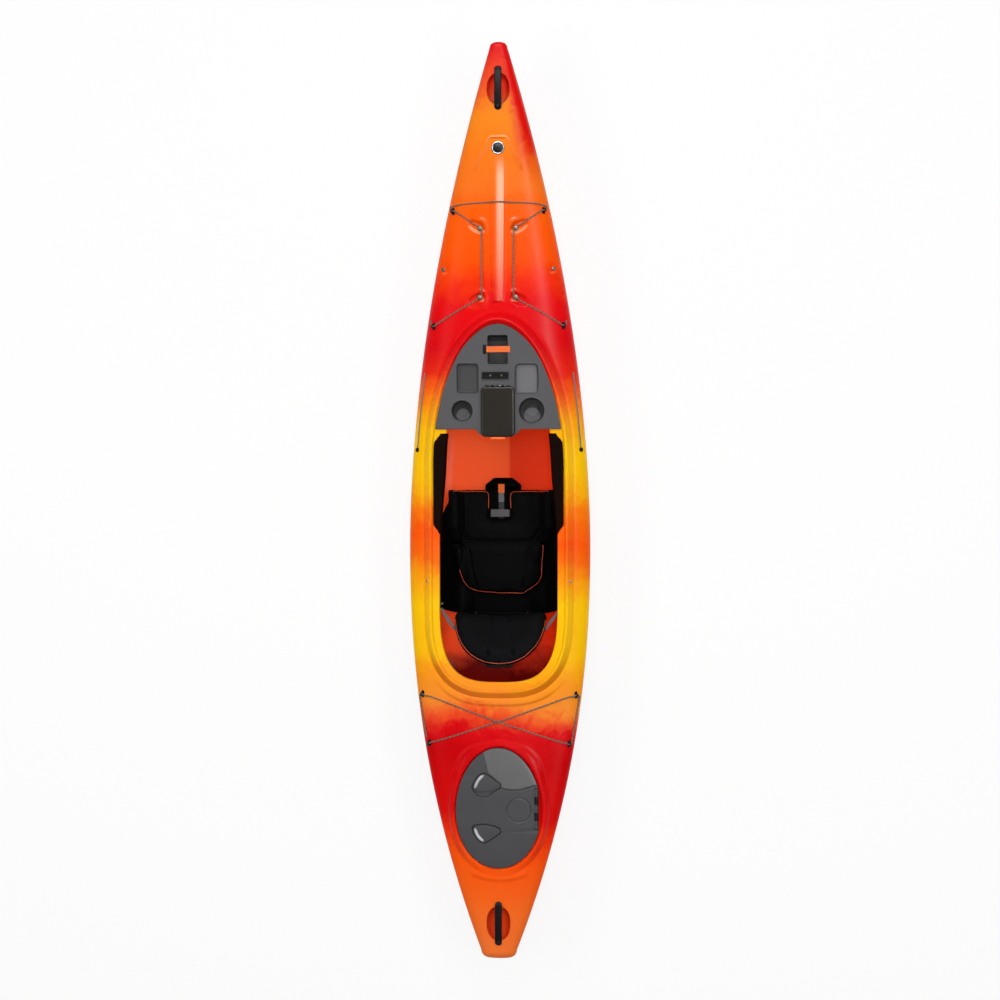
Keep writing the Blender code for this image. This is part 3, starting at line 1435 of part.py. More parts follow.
def cushion_form(
    name, front_y, rear_y, width_at, thickness_at, low_off, columns, rows, split=None, shift=0.0
):
    """Crowned cushion that follows the pan, moved sideways by shift. It is thinner at its edges."""
    rings = []
    for j in range(rows + 1):
        v = j / rows
        y = front_y + (rear_y - front_y) * v
        reach = width_at(v)
        low, high = [], []
        for k in range(columns + 1):
            u = 2 * k / columns - 1
            s = reach * u
            low.append(pan_point(s * 0.98 + shift, y, low_off))
            high.append(pan_point(s + shift, y, low_off + thickness_at(u, v)))
        ring = low + high[::-1]
        if split:
            ring = [split(point, v) for point in ring]
        rings.append(ring)
    return solid(name, rings)


def crest_bulge(u, v, sharp=6):
    """Crown of a cushion over its plan: 1 in the middle, falling to about a third at the edges."""
    across = 1 - abs(u) ** sharp
    along = 1 - abs(2 * v - 1) ** sharp
    return 0.35 + 0.65 * math.sqrt(max(0.0, across) * max(0.0, along))


def seat_cushions():
    """Front cushion, which tips up to lift the thighs, and rear cushion, both on the pan."""
    sheet = SEAT_SHEET + 0.0006
    front_reach = cushion_reach(CUSHION_FRONT_WIDTH / 2)
    rear_reach = cushion_reach(CUSHION_REAR_WIDTH / 2)
    axis_z = pan_floor_z() + sheet + CUSHION_THICKNESS
    opening = math.tan(math.radians(LIFTER_ANGLE + 1))

    def front_split(point, v):
        """The rear edge of the front cushion leans forward above the hinge, so that it can tip up."""
        if v < 1:
            return point
        lean = max(0.0, point.z - axis_z) * opening
        return Vector((point.x, point.y + 0.0006 + lean, point.z))

    front = cushion_form(
        "front",
        SEAT_FRONT_Y + 0.004,
        CUSHION_SPLIT_Y,
        lambda v: front_reach * (1 - 0.07 * (1 - min(1.0, v / 0.3)) ** 2),
        lambda u, v: CUSHION_THICKNESS * crest_bulge(u, 0.5 * (v + 0.06) if v < 0.94 else 0.5),
        sheet,
        14,
        8,
        front_split,
    )
    notch = rounded(NOTCH_WIDTH, 0.240, 0.012, 3, (NOTCH_X, SEAT_FRONT_Y - NOTCH_DEPTH + 0.120))
    carve(front, prism("notch", notch, 0.0, 0.3))
    half = PULL_STRAP_WIDTH / 2 + 0.003
    rear_y = SEAT_FRONT_Y - NOTCH_DEPTH
    left, right = PULL_STRAP_X - half, PULL_STRAP_X + half
    channel = (left, rear_y - 0.052, 0.0), (right, rear_y + 0.01, pan_floor_z() + SEAT_SHEET + 0.0045)
    carve(front, box("channel", *channel))
    piece(front, "seat_cushion_front", "fabric", 60.0)

    def rear_width(v):
        """The rear cushion narrows in a round end."""
        return rear_reach * (1 - 0.55 * max(0.0, (v - 0.35) / 0.65) ** 2.4)

    rear = cushion_form(
        "rear",
        CUSHION_SPLIT_Y - 0.0006,
        CUSHION_REAR_Y,
        rear_width,
        lambda u, v: CUSHION_THICKNESS * crest_bulge(u, 0.5 + 0.5 * v * 0.97),
        sheet,
        14,
        8,
        shift=REAR_CUSHION_SHIFT,
    )
    piece(rear, "seat_cushion_rear", "fabric", 60.0)
    pivot("leg_lifter_pivot", Matrix.Translation((0, CUSHION_SPLIT_Y, axis_z)), [front], local=False)


def cushion_reach(half_width):
    """Arc length on the pan at which x reaches half_width."""
    low, high = 0.0, 1.0
    for _ in range(40):
        middle = (low + high) / 2
        if pan_curve(middle)[0].x < half_width:
            low = middle
        else:
            high = middle
    return low


def pull_strap():
    """Front bracket on the floor, the pull strap over it, its orange tab and the buckle in the notch."""
    deck = pan_floor_z() + SEAT_SHEET
    front = SEAT_FRONT_Y
    bracket = [
        (-0.078, front + 0.006), (0.078, front + 0.006), (0.078, front + 0.026), (0.040, front + 0.056)
    ]
    bracket += [(-0.040, front + 0.056), (-0.078, front + 0.026)]
    piece(prism("bracket", bracket, WALL + GAP, deck), "seat_front_bracket", "black plastic")
    half, x = PULL_STRAP_WIDTH / 2, PULL_STRAP_X
    low = deck + GAP
    rear = front - NOTCH_DEPTH
    strap = box("strap", (x - half, rear - 0.040, low), (x + half, front + 0.028, low + 0.002))
    piece(strap, "pull_strap", "webbing")
    tab_low, tab_high = (x - half - 0.002, front - 0.010), (x + half + 0.002, front + 0.028)
    piece(box("tab", (*tab_low, low + 0.0023), (*tab_high, low + 0.007)), "pull_tab", "orange")
    plan = rounded(BUCKLE_WIDTH, BUCKLE_LENGTH, 0.006, 2, (NOTCH_X, rear + 0.005 + BUCKLE_LENGTH / 2))
    buckle = prism("buckle", plan, low, low + 0.011)
    way = (x - half - 0.002, rear - 0.01, 0.0), (x + half + 0.002, front, low + 0.0028)
    piece(carve(buckle, box("way", *way)), "strap_buckle", "grey plastic")


# Backrest


def back_point(x, v, off):
    """Point on the backrest: x across, v up its plane from the hinge, off ahead of its shell's rear face."""
    lean = math.radians(BACK_RECLINE)
    up = Vector((0, -math.sin(lean), math.cos(lean)))
    ahead = Vector((0, math.cos(lean), math.sin(lean)))
    wrap = BACK_WRAP * x**2
    hinge = Vector((0, BACK_HINGE_Y, BACK_HINGE_Z))
    return hinge + Vector((x, 0, 0)) + up * v + ahead * (off + wrap)


def back_half_width(share):
    """Half width of the half-moon backrest at a share of the way from its low to its high edge."""
    corner = min(1.0, share / 0.14)
    low = 1 - 0.10 * (1 - math.sqrt(1 - (1 - corner) ** 2))
    return BACK_WIDTH / 2 * low * (1 - share**2.6) ** (1 / 2.2)


def backrest():
    """Rigid shell on its pin, padded half-moon cushion, rear bar and two tension straps."""
    columns = 10
    shares = (0.0, 0.05, 0.14, 0.32, 0.50, 0.67, 0.81, 0.91, 0.97, 0.995)
    span = BACK_HIGH - BACK_LOW

    def plate(name, low_off, thickness, scale, crown):
        rings = []
        for share in shares:
            half = back_half_width(share) * scale
            v = BACK_LOW + span * (0.5 + (share - 0.5) * scale)
            rear, front = [], []
            for k in range(columns + 1):
                u = 2 * k / columns - 1
                swell = thickness * (crest_bulge(u, share) if crown else 1.0)
                rear.append(back_point(half * u * (0.97 if crown else 1.0), v, low_off))
                front.append(back_point(half * u, v, low_off + swell))
            rings.append(rear + front[::-1])
        return solid(name, rings)

    shell = plate("shell", 0.0, BACK_SHELL, 0.94, False)
    ear_x = BACK_PIN_LENGTH / 2 - 0.030
    lean = math.radians(BACK_RECLINE)
    for side, x in sides(ear_x):
        wrap = BACK_WRAP * x * x
        outline = [
            (-0.009, -0.007),
            (-0.009, 0.009),
            (BACK_LOW + 0.030, wrap + 0.003),
            (BACK_LOW + 0.030, wrap - 0.010),
        ]
        outline += [(0.009, -0.009)]
        points = []
        for v, off in outline:
            up = -math.sin(lean) * v + math.cos(lean) * off
            rise = math.cos(lean) * v + math.sin(lean) * off
            points.append((BACK_HINGE_Y + up, BACK_HINGE_Z + rise))
        join(shell, side_prism("ear", points, x - 0.004, x + 0.004))
    corners = []
    for v in (BACK_HIGH - 0.040, BACK_HIGH - 0.020):
        corners += [back_point(x, v, off) for x, off in ((-0.057, -0.014), (0.057, -0.014))]
        corners += [back_point(x, v, off) for x, off in ((0.057, 0.001), (-0.057, 0.001))]
    join(shell, solid("bar", [corners[:4], corners[4:]]))
    carve(shell, bar_along_x(BACK_HINGE_Y, BACK_HINGE_Z, -0.3, 0.3, BACK_PIN_RADIUS + GAP))
    piece(shell, "backrest_shell", "black plastic")
    pad = plate("pad", BACK_SHELL + 0.0006, BACK_PAD, 1.0, True)
    piece(pad, "backrest_pad", "fabric", 60.0)
    pin = bar_along_x(BACK_HINGE_Y, BACK_HINGE_Z, -BACK_PIN_LENGTH / 2, BACK_PIN_LENGTH / 2, BACK_PIN_RADIUS)
    piece(pin, "backrest_pin", "steel")
    for side, sign in sides(1.0):
        backrest_strap(side + "_backrest_strap", sign)
    place = Matrix.Translation((0, BACK_HINGE_Y, BACK_HINGE_Z))
    pivot("backrest_pivot", place, [shell, pad], local=False)


def backrest_strap(name, sign):
    """Webbing from behind the backrest's shell, round its edge, to the inside of the pan's rear corner."""
    lean = math.radians(BACK_RECLINE)
    up = Vector((0, -math.sin(lean), math.cos(lean)))
    v = BACK_LOW + 0.062
    s = pan_reach(SEAT_DEPTH) - WEBBING_WIDTH / 2 - 0.004
    slope = (pan_point(sign * (s + 0.005), 0, 0) - pan_point(sign * s, 0, 0)).normalized()
    off = SEAT_SHEET + WEBBING_THICKNESS / 2 + 0.0005
    path = [
        (back_point(sign * 0.135, v, -WEBBING_THICKNESS / 2 - 0.0012), up),
        (back_point(sign * 0.178, v, -WEBBING_THICKNESS / 2 - 0.0012), up),
        (back_point(sign * 0.199, v, 0.004), up),
        (back_point(sign * 0.207, v, 0.022), up),
        (pan_point(sign * s, SEAT_REAR_Y - 0.006, off), slope),
        (pan_point(sign * s, SEAT_REAR_Y + 0.022, off), slope),
    ]
    steps = 5
    for k in range(1, steps):
        turned_up = path[3][1].lerp(slope, k / steps).normalized()
        path.insert(3 + k, (path[3][0].lerp(path[-2][0], k / steps), turned_up))
    rings = []
    for i, (point, wide) in enumerate(path):
        along = path[min(i + 1, len(path) - 1)][0] - path[max(i - 1, 0)][0]
        flat = along.cross(wide).normalized() * WEBBING_THICKNESS / 2
        wide = wide * WEBBING_WIDTH / 2
        rings.append([point - wide - flat, point + wide - flat, point + wide + flat, point - wide + flat])
    piece(solid("strap", rings), name, "webbing")


# Thigh pads


def thigh_pads(tree):
    """Foam pads on the wide part of the coaming ledge, wrapped over its lip, with cut-off outer corners."""
    points, _ = crest_line()
    keep = [i for i in np.argsort(points[:, 1]) if points[i, 0] > 0]
    front, rear = THIGH_PAD_FRONT_Y, THIGH_PAD_REAR_Y
    middle = {round(rear + 0.040 + (front - rear - 0.077) * i / 6, 4) for i in range(7)}
    middle |= {y for y in points[keep, 1] if rear + 0.05 < y < front - 0.05}
    for side, sign in sides(1.0):
        rings = []
        for y in [rear, *sorted(middle), front]:
            x = np.interp(y, points[keep, 1], points[keep, 0])
            level = crest_height(y) - LEDGE_DROP - 0.010
            lip = tree.ray_cast(Vector((0, y, level)), Vector((sign, 0, 0)))[0].x * sign - 0.0006
            end = y in (rear, front)
            outer = 0.029 if end else 0.0070
            thick = 0.006 if end else 0.010
            outside = height_on(tree, sign * (x - outer), y) + 0.0005
            inside = height_on(tree, sign * (lip + 0.0012), y) + 0.0005
            profile = [
                (x - outer, outside),
                (x - outer, outside + thick * 0.7),
                (x - outer - 0.006, outside + thick),
                (lip, inside + thick * 0.9),
                (lip - 0.0065, inside - 0.004),
                (lip - 0.0060, inside - 0.032),
                (lip, inside - 0.032),
                (lip, inside),
            ]
            rings.append([(sign * px, y, z) for px, z in profile])
        piece(solid("pad", rings), side + "_thigh_pad", "foam", 50.0)


# Foot braces


def foot_braces(tree):
    """Rails on the hull's inner sides and the pedals that slide on them."""
    for side, sign in sides(1.0):
        ends = []
        for y in (RAIL_START_Y, RAIL_START_Y + RAIL_LENGTH):
            walls = []
            for z in (RAIL_Z - RAIL_WIDTH / 2, RAIL_Z, RAIL_Z + RAIL_WIDTH / 2):
                hit = tree.ray_cast(Vector((0, y, z)), Vector((sign, 0, 0)))
                walls.append(abs(hit[0].x))
            ends.append(min(walls))
        direction = Vector((sign * (ends[1] - ends[0]), RAIL_LENGTH, 0)).normalized()
        frame = Matrix.Identity(4)
        frame.col[0][:3] = Vector((0, 0, 1)).cross(direction) * sign
        frame.col[1][:3] = direction
        frame.translation = Vector((sign * (ends[0] - 0.0005), RAIL_START_Y, RAIL_Z))
        rail_profile = [
            (0, -RAIL_WIDTH / 2),
            (0, RAIL_WIDTH / 2),
            (RAIL_HEIGHT, RAIL_WIDTH / 2),
            (RAIL_HEIGHT, -RAIL_WIDTH / 2),
        ]
        rail = solid("rail", [[(x, y, z) for x, z in rail_profile] for y in (0.004, RAIL_LENGTH - 0.004)])
        placed(rail, frame)
        piece(rail, side + "_foot_rail", "aluminium")
        middle = RAIL_LENGTH / 2
        near, wide = RAIL_HEIGHT + GAP, RAIL_WIDTH / 2 + 0.004
        shoe = box("shoe", (near, middle - 0.030, -wide), (near + 0.008, middle + 0.030, wide))
        plate = [(near + 0.004, middle + 0.006), (near + PEDAL_REACH, middle - 0.006)]
        plate += [(near + PEDAL_REACH, middle - 0.012), (near + 0.004, middle - 0.006)]
        join(shoe, prism("plate", plate, -PEDAL_LOW, PEDAL_HIGH))
        placed(shoe, frame)
        piece(shoe, side + "_foot_pedal", "black plastic")
        start = frame @ Vector((near, middle, 0))
        pivot(side + "_pedal_slide", Matrix.Translation(start), [shoe], local=False)
        print(
            side,
            "pedal slides along",
            [round(v, 5) for v in direction],
            "from",
            [round(v, 4) for v in start],
        )


def main():
    for made in list(bpy.data.objects):
        bpy.data.objects.remove(made)
    shell = hull()
    tree = surface(shell)
    frames = deck_pieces(tree)
    keeper_straps(tree)
    bungees(tree, frames)
    foam()
    hatch()
    console()
    seat_pan()
    seat_hangers()
    seat_cushions()
    pull_strap()
    backrest()
    thigh_pads(tree)
    foot_braces(tree)
    bpy.context.view_layer.update()
    for made in bpy.data.objects:
        if made.type == "EMPTY":
            print(made.name, [round(v, 4) for v in made.matrix_world.translation])


main()
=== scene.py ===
# %% [markdown]
# # A recreational kayak
#
# The real boat is one rotomoulded shell of polyethylene with everything else bolted, strapped or clipped to it.
# The CAD model gives each piece its place and its joints. This script gives each piece its surface and finish.
# Nearly every piece is a grid of points worked out with numpy, because a formula for the whole surface is short
# to read and easy to change. Metres, +Y to the bow, +X to starboard, +Z up, the ground at z = 0.

import math

import bmesh
import bpy
import numpy as np
from mathutils import Matrix, Vector
from mathutils.bvhtree import BVHTree


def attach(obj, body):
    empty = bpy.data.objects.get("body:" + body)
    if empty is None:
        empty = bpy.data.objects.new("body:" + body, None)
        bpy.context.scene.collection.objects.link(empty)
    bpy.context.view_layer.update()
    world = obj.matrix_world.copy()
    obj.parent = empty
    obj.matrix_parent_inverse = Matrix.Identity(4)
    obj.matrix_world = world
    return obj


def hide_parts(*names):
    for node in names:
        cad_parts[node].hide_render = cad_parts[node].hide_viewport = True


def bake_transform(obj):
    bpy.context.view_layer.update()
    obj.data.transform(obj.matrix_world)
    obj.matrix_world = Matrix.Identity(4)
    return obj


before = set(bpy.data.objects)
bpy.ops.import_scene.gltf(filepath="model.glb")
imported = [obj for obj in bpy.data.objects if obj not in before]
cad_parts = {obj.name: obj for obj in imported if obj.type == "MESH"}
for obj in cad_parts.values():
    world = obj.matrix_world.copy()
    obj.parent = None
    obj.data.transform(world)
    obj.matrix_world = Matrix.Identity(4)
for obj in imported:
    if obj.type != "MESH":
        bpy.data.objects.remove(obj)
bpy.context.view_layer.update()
scene = bpy.context.scene

# %% [markdown]
# ## Grids of points
#
# A surface is a table of points: its rows go one way over the piece and its columns the other. Each cell of the
# table becomes a four-sided face. Where the table closes on itself, its last column repeats the first, and
# merging the doubles sews the seam. A pole is a row whose points all fall together.

# %% Turn a grid into a mesh


def surface(name, points, uv=None, keep=None, facing=1):
    """Mesh of a grid of points (rows, columns, 3). keep says which cells stay, uv gives each point its UV place.

    Facing 1 turns the faces outwards and -1 inwards: the sum of face area times normal times place is three
    times the volume, so its sign tells which way they look. A vector makes them look that way instead.
    """
    rows, columns = points.shape[:2]
    corner = (np.arange(rows - 1)[:, None] * columns + np.arange(columns - 1)).ravel()
    quads = np.stack([corner, corner + 1, corner + columns + 1, corner + columns], axis=1)
    if keep is not None:
        quads = quads[keep.ravel()]
    flat = points.reshape(-1, 3)
    a, b, c, d = (flat[quads[:, k]] for k in range(4))
    lean = np.cross(c - a, d - b)
    if isinstance(facing, int):
        amount = (lean * ((a + b + c + d) / 4 - flat[quads].mean(axis=(0, 1)))).sum() * facing
    else:
        amount = (lean @ np.array(facing)).sum()
    if amount < 0:
        quads = quads[:, ::-1]
    mesh = bpy.data.meshes.new(name)
    mesh.from_pydata(flat.tolist(), [], quads.tolist())
    if uv is not None:
        number = np.zeros(len(mesh.loops), np.int32)
        mesh.loops.foreach_get("vertex_index", number)
        places = uv.reshape(-1, 2)[number]
        mesh.uv_layers.new(name="UVMap").data.foreach_set("uv", places.ravel().astype(np.float32))
    return sewn(name, mesh)


def sewn(name, mesh):
    """Object of a mesh with its doubles merged, its slivers dissolved and its loose points gone."""
    work = bmesh.new()
    work.from_mesh(mesh)
    bmesh.ops.remove_doubles(work, verts=work.verts, dist=2e-6)
    bmesh.ops.dissolve_degenerate(work, edges=work.edges, dist=1e-6)
    loose = [vert for vert in work.verts if not vert.link_faces]
    bmesh.ops.delete(work, geom=loose, context="VERTS")
    work.to_mesh(mesh)
    work.free()
    made = bpy.data.objects.new(name, mesh)
    scene.collection.objects.link(made)
    return made


def closed(points):
    """Table of points whose last column repeats its first."""
    return np.concatenate([points, points[:, :1]], axis=1)


def cells_of(marks, rule):
    """What a rule makes of the marks at the four corners of each cell of a grid."""
    return rule(rule(marks[:-1, :-1], marks[1:, :-1]), rule(marks[:-1, 1:], marks[1:, 1:]))


def fanned(name, points):
    """Surface of a table whose first and last rows each draw in to their middle."""
    ends = points[[0, -1]].mean(axis=1, keepdims=True) + 0 * points[[0, -1]]
    return surface(name, np.concatenate([ends[:1], points, ends[1:]]))


def mended(made, fix):
    """Runs a fix on a mesh, which is a function of its bmesh, and turns its faces outwards."""
    work = bmesh.new()
    work.from_mesh(made.data)
    fix(work)
    bmesh.ops.recalc_face_normals(work, faces=work.faces)
    work.to_mesh(made.data)
    work.free()
    return made


def capped(made):
    """Closes the open ends of a piece with flat faces."""
    return mended(made, lambda work: bmesh.ops.holes_fill(
        work, edges=[edge for edge in work.edges if edge.is_boundary], sides=0))


def lathe(name, profile, steps=48, centre=(0.0, 0.0, 0.0)):
    """Turned piece: each (radius, height) of the profile goes once round the upright line through centre."""
    turn = np.linspace(0, math.tau, steps + 1)
    radius, height = np.array(profile, float).T[:, :, None]
    points = np.stack([radius * np.cos(turn), radius * np.sin(turn), height + 0 * turn], axis=-1)
    return surface(name, points + np.array(centre))


def ease(share):
    """Smooth step: 3t^2 - 2t^3 between 0 and 1, flat beyond them."""
    share = np.clip(share, 0.0, 1.0)
    return share * share * (3 - 2 * share)


def power(value, exponent):
    """Power that keeps the sign, for superellipses."""
    return np.sign(value) * np.abs(value) ** exponent


def join_meshes(name, parts):
    """One object out of several, with their meshes side by side in it."""
    work = bmesh.new()
    for part in parts:
        work.from_mesh(part.data)
        bpy.data.objects.remove(part)
    mesh = bpy.data.meshes.new(name)
    work.to_mesh(mesh)
    work.free()
    made = bpy.data.objects.new(name, mesh)
    scene.collection.objects.link(made)
    return made


print("grid helpers ready")

# %% [markdown]
# ## Finishes
#
# Blender's Principled shader stands for almost any real material once its roughness, metal share and bump are
# right. Colours are written as the sRGB hex values that a painter would pick, and turned to the linear values
# that the shader adds up. One small function adds a node, sets it and links it, so each finish below reads as a
# short list of what the eye sees in it.

# %% Colour, node and material helpers


def linear(code):
    """Linear RGBA of an sRGB hex colour: c / 12.92 when dark, ((c + 0.055) / 1.055) ^ 2.4 above."""
    channel = np.array([int(code[i : i + 2], 16) for i in (0, 2, 4)]) / 255
    channel = np.where(channel <= 0.04045, channel / 12.92, ((channel + 0.055) / 1.055) ** 2.4)
    return (*channel.tolist(), 1.0)


def add(tree, kind, inputs=None, **settings):
    """Adds a node. Settings are its own properties. An input is a value, a node's first output or any socket."""
    made = tree.nodes.new("ShaderNode" + kind)
    for key, value in settings.items():
        setattr(made, key, value)
    feed(tree, made, inputs or {})
    return made


def feed(tree, node, inputs):
    """Sets or links the inputs of a node, by name or number."""
    for key, value in inputs.items():
        if isinstance(value, bpy.types.Node):
            value = value.outputs[0]
        if isinstance(value, bpy.types.NodeSocket):
            tree.links.new(value, node.inputs[key])
        else:
            node.inputs[key].default_value = value


def new_finish(name, colour, roughness, inputs=None):
    """Material with one Principled shader and more of its inputs. Gives the material, its tree and the shader."""
    made = bpy.data.materials.new(name)
    made.use_nodes = True
    shader = made.node_tree.nodes["Principled BSDF"]
    feed(made.node_tree, shader, {"Base Color": linear(colour), "Roughness": roughness, **(inputs or {})})
    return made, made.node_tree, shader


def variant(finish, name):
    """Copy of a finish. Gives the material, its tree, its shader and the socket of its base colour."""
    made = finish.copy()
    made.name = name
    shader = made.node_tree.nodes["Principled BSDF"]
    return made, made.node_tree, shader, shader.inputs["Base Color"].links[0].from_socket


print("finish helpers ready")

# %% [markdown]
# ## Camera, floor and light
#
# The photograph looks straight down on the boat from about seven metres, a little from the starboard side, so
# the picture leans by four degrees. The floor is a plain pale sheet. It counts as white for the camera and in
# reflections, yet keeps a share of its shaded self so that the boat's soft shadow stays.

# %% Camera
CAMERA_PLACE = (0.476, 0.0, 7.0)
CAMERA_AIM = (0.009, 0.0, 0.3)
CAMERA_LENS = 58.19
CAMERA_SHIFT = (-0.0007, 0.0015)


def aimed(place, aim):
    """Matrix of a camera or a lamp at a place that looks at another, with its top towards the bow."""
    back = (Vector(place) - Vector(aim)).normalized()
    side = Vector((0, 1, 0)).cross(back).normalized()
    matrix = Matrix((side, back.cross(side), back)).transposed().to_4x4()
    matrix.translation = place
    return matrix


camera = bpy.data.objects.new("camera", bpy.data.cameras.new("camera"))
scene.collection.objects.link(camera)
camera.matrix_world = aimed(CAMERA_PLACE, CAMERA_AIM)
camera.data.lens = CAMERA_LENS
camera.data.shift_x, camera.data.shift_y = CAMERA_SHIFT
camera.data.sensor_width = 36.0
scene.camera = camera
print("camera tilts", round(math.degrees(math.acos(camera.matrix_world[2][2])), 2), "degrees")

# %% Floor and world
FLOOR_HALF = 14.0
WHITE_SHARE = 0.86
WORLD_STRENGTH = 0.16


def seen_or_mirrored(tree):
    """Factor that is 1 for what the camera, a reflection or clear plastic looks at."""
    path = add(tree, "LightPath").outputs
    first = add(tree, "Math", {0: path["Is Camera Ray"], 1: path["Is Glossy Ray"]}, operation="MAXIMUM")
    both = add(tree, "Math", {0: first.outputs[0], 1: path["Is Transmission Ray"]}, operation="MAXIMUM")
    return both.outputs[0]


paper, tree, shader = new_finish("pale paper floor", "F4F4F4", 0.9)
white = add(tree, "Emission", {"Color": (1, 1, 1, 1), "Strength": 1.0})
share = add(tree, "Math", {0: seen_or_mirrored(tree), 1: WHITE_SHARE}, operation="MULTIPLY")
mix = add(tree, "MixShader", {0: share.outputs[0], 1: shader.outputs[0], 2: white.outputs[0]})
tree.links.new(mix.outputs[0], tree.nodes["Material Output"].inputs["Surface"])
corners = np.array([[[-1, -1, 0], [1, -1, 0]], [[-1, 1, 0], [1, 1, 0]]], float) * FLOOR_HALF
floor = surface("floor", corners, facing=(0, 0, 1))
floor.data.materials.append(paper)

world = bpy.data.worlds.new("studio")
scene.world = world
world.use_nodes = True
tree = world.node_tree
plain = tree.nodes["Background"]
plain.inputs["Color"].default_value = (1, 1, 1, 1)
plain.inputs["Strength"].default_value = WORLD_STRENGTH
white = add(tree, "Background", {"Color": (1, 1, 1, 1), "Strength": 1.0})
mix = add(tree, "MixShader", {0: seen_or_mirrored(tree), 1: plain.outputs[0], 2: white.outputs[0]})
tree.links.new(mix.outputs[0], tree.nodes["World Output"].inputs["Surface"])
scene.view_settings.view_transform = "Standard"
print("floor and world made")

# %% Lamps


def lamp(name, place, aim, size, energy):
    """Rectangular soft lamp: its width, its length along the boat, and its power in watts."""
    data = bpy.data.lights.new(name, "AREA")
    data.shape = "RECTANGLE"
    data.size, data.size_y = size
    data.energy = energy
    made = bpy.data.objects.new(name, data)
    scene.collection.objects.link(made)
    made.matrix_world = aimed(place, aim)
    return made


lamp("bow softbox", (0.4, 5.2, 6.0), (0, 0, 0.2), (2.6, 1.4), 175)
lamp("port softbox", (-4.2, 0.5, 5.0), (0, 0, 0.2), (1.8, 5.0), 125)
lamp("starboard softbox", (3.9, 0.0, 5.6), (0, 0, 0.2), (1.4, 6.5), 130)
for glint in (
    lamp("starboard glint", (3.4, 1.6, 6.2), (0, 1.0, 0.3), (0.5, 5.0), 450),
    lamp("bow glint", (0.0, 5.6, 5.6), (0, 0, 0.2), (5.0, 1.0), 650),
):
    glint.visible_diffuse = False
top = lamp("top fill", (0.3, -0.3, 7.8), (0, -0.1, 0.2), (1.6, 4.0), 150)
top.visible_glossy = False
print("six lamps")

# %% [markdown]
# ## The hull's form
#
# The shell is described by four curves along the boat: half breadth, sheer, deck crown and keel. Each cross
# section is a superellipse between them, sharp at the ends and full in the middle. A rotomoulded deck has soft
# radii everywhere, so its relief is added as smooth steps over that form: the spine ahead of the cockpit, the
# arrow behind the bow, the hollows at the cord hooks and the step behind the coaming.

# %% Curves along the boat
LENGTH = 3.81
BEAM = 0.76
BEAM_Y = -0.187
TIP_WIDTH = {"bow": 0.062, "stern": 0.124}
TAPER = {"bow": 1.84, "stern": 2.15}
WALL = 0.005
NOSE_ROUNDING = {"bow": 0.02, "stern": 0.034}
SHEER_Z = 0.215
SHEER_END_Z = {"bow": 0.3, "stern": 0.262}
FOREDECK_Z = 0.352
AFTDECK_Z = 0.3
DECK_END_Z = {"bow": 0.335, "stern": 0.302}
ROCKER = 0.03
STEM_LENGTH = {"bow": 0.6, "stern": 0.45}
STEM_HEIGHT = {"bow": 0.085, "stern": 0.075}
KEEL_FLAT = 0.008
CREST_FRONT_Y = 0.745
CREST_REAR_Y = -0.784


def by_end(y, values):
    """The bow's value ahead of the widest station and the stern's behind it."""
    return np.where(y > BEAM_Y, values["bow"], values["stern"])


def towards_tip(y):
    """Share of the way from the widest station to the tip."""
    return np.where(y > BEAM_Y, (y - BEAM_Y) / (LENGTH / 2 - BEAM_Y), (BEAM_Y - y) / (LENGTH / 2 + BEAM_Y))


def half_breadth(y):
    """Half the beam, less half of what the tip lacks times the share to a power."""
    return BEAM / 2 - (BEAM - by_end(y, TIP_WIDTH)) / 2 * towards_tip(y) ** by_end(y, TAPER)


def sheer_height(y):
    """Height of the widest line: it rises to both tips by the square of the share."""
    return SHEER_Z + (by_end(y, SHEER_END_Z) - SHEER_Z) * towards_tip(y) ** 2


def crown_height(y):
    """Height of the deck's middle: level runs at both decks that ease to the tips, a straight slope between."""
    forward = (y - CREST_FRONT_Y) / (LENGTH / 2 - CREST_FRONT_Y)
    aft = (CREST_REAR_Y - y) / (LENGTH / 2 + CREST_REAR_Y)
    ahead = FOREDECK_Z + (DECK_END_Z["bow"] - FOREDECK_Z) * ease(forward)
    behind = AFTDECK_Z + (DECK_END_Z["stern"] - AFTDECK_Z) * ease(aft)
    between = AFTDECK_Z + (FOREDECK_Z - AFTDECK_Z) * (y - CREST_REAR_Y) / (CREST_FRONT_Y - CREST_REAR_Y)
    return np.where(y > CREST_FRONT_Y, ahead, np.where(y < CREST_REAR_Y, behind, between))


def keel_height(y):
    """Height of the keel: rocker by the share to 2.4, and a quarter ellipse up the stem at each end."""
    along = np.clip(1 - (LENGTH / 2 - np.abs(y)) / by_end(y, STEM_LENGTH), 0, 1)
    rise = by_end(y, DECK_END_Z) - by_end(y, STEM_HEIGHT) - ROCKER
    return ROCKER * towards_tip(y) ** 2.4 + rise * (1 - np.sqrt(1 - along**2))


def deck_height(x, y):
    """Height of the plain deck: sheer plus its crown times (1 - u^2.5)^0.4 at a share u of the half breadth."""
    share = np.clip(np.abs(x) / half_breadth(y), 0, 1)
    return sheer_height(y) + (crown_height(y) - sheer_height(y)) * (1 - share**2.5) ** 0.4


def bottom_height(share, y, inset=0.0):
    """Height of the bottom at an angle's sine, by a power that sharpens to the ends, cut flat on the ground."""
    sharpen = towards_tip(y) ** 3
    sheer = sheer_height(y)
    z = sheer - (sheer - keel_height(y) - inset) * share ** (2 / (2.4 - 0.8 * sharpen))
    return np.maximum(z - KEEL_FLAT * share * (1 - sharpen), inset)


print("half breadth amidships", float(half_breadth(0.0)))

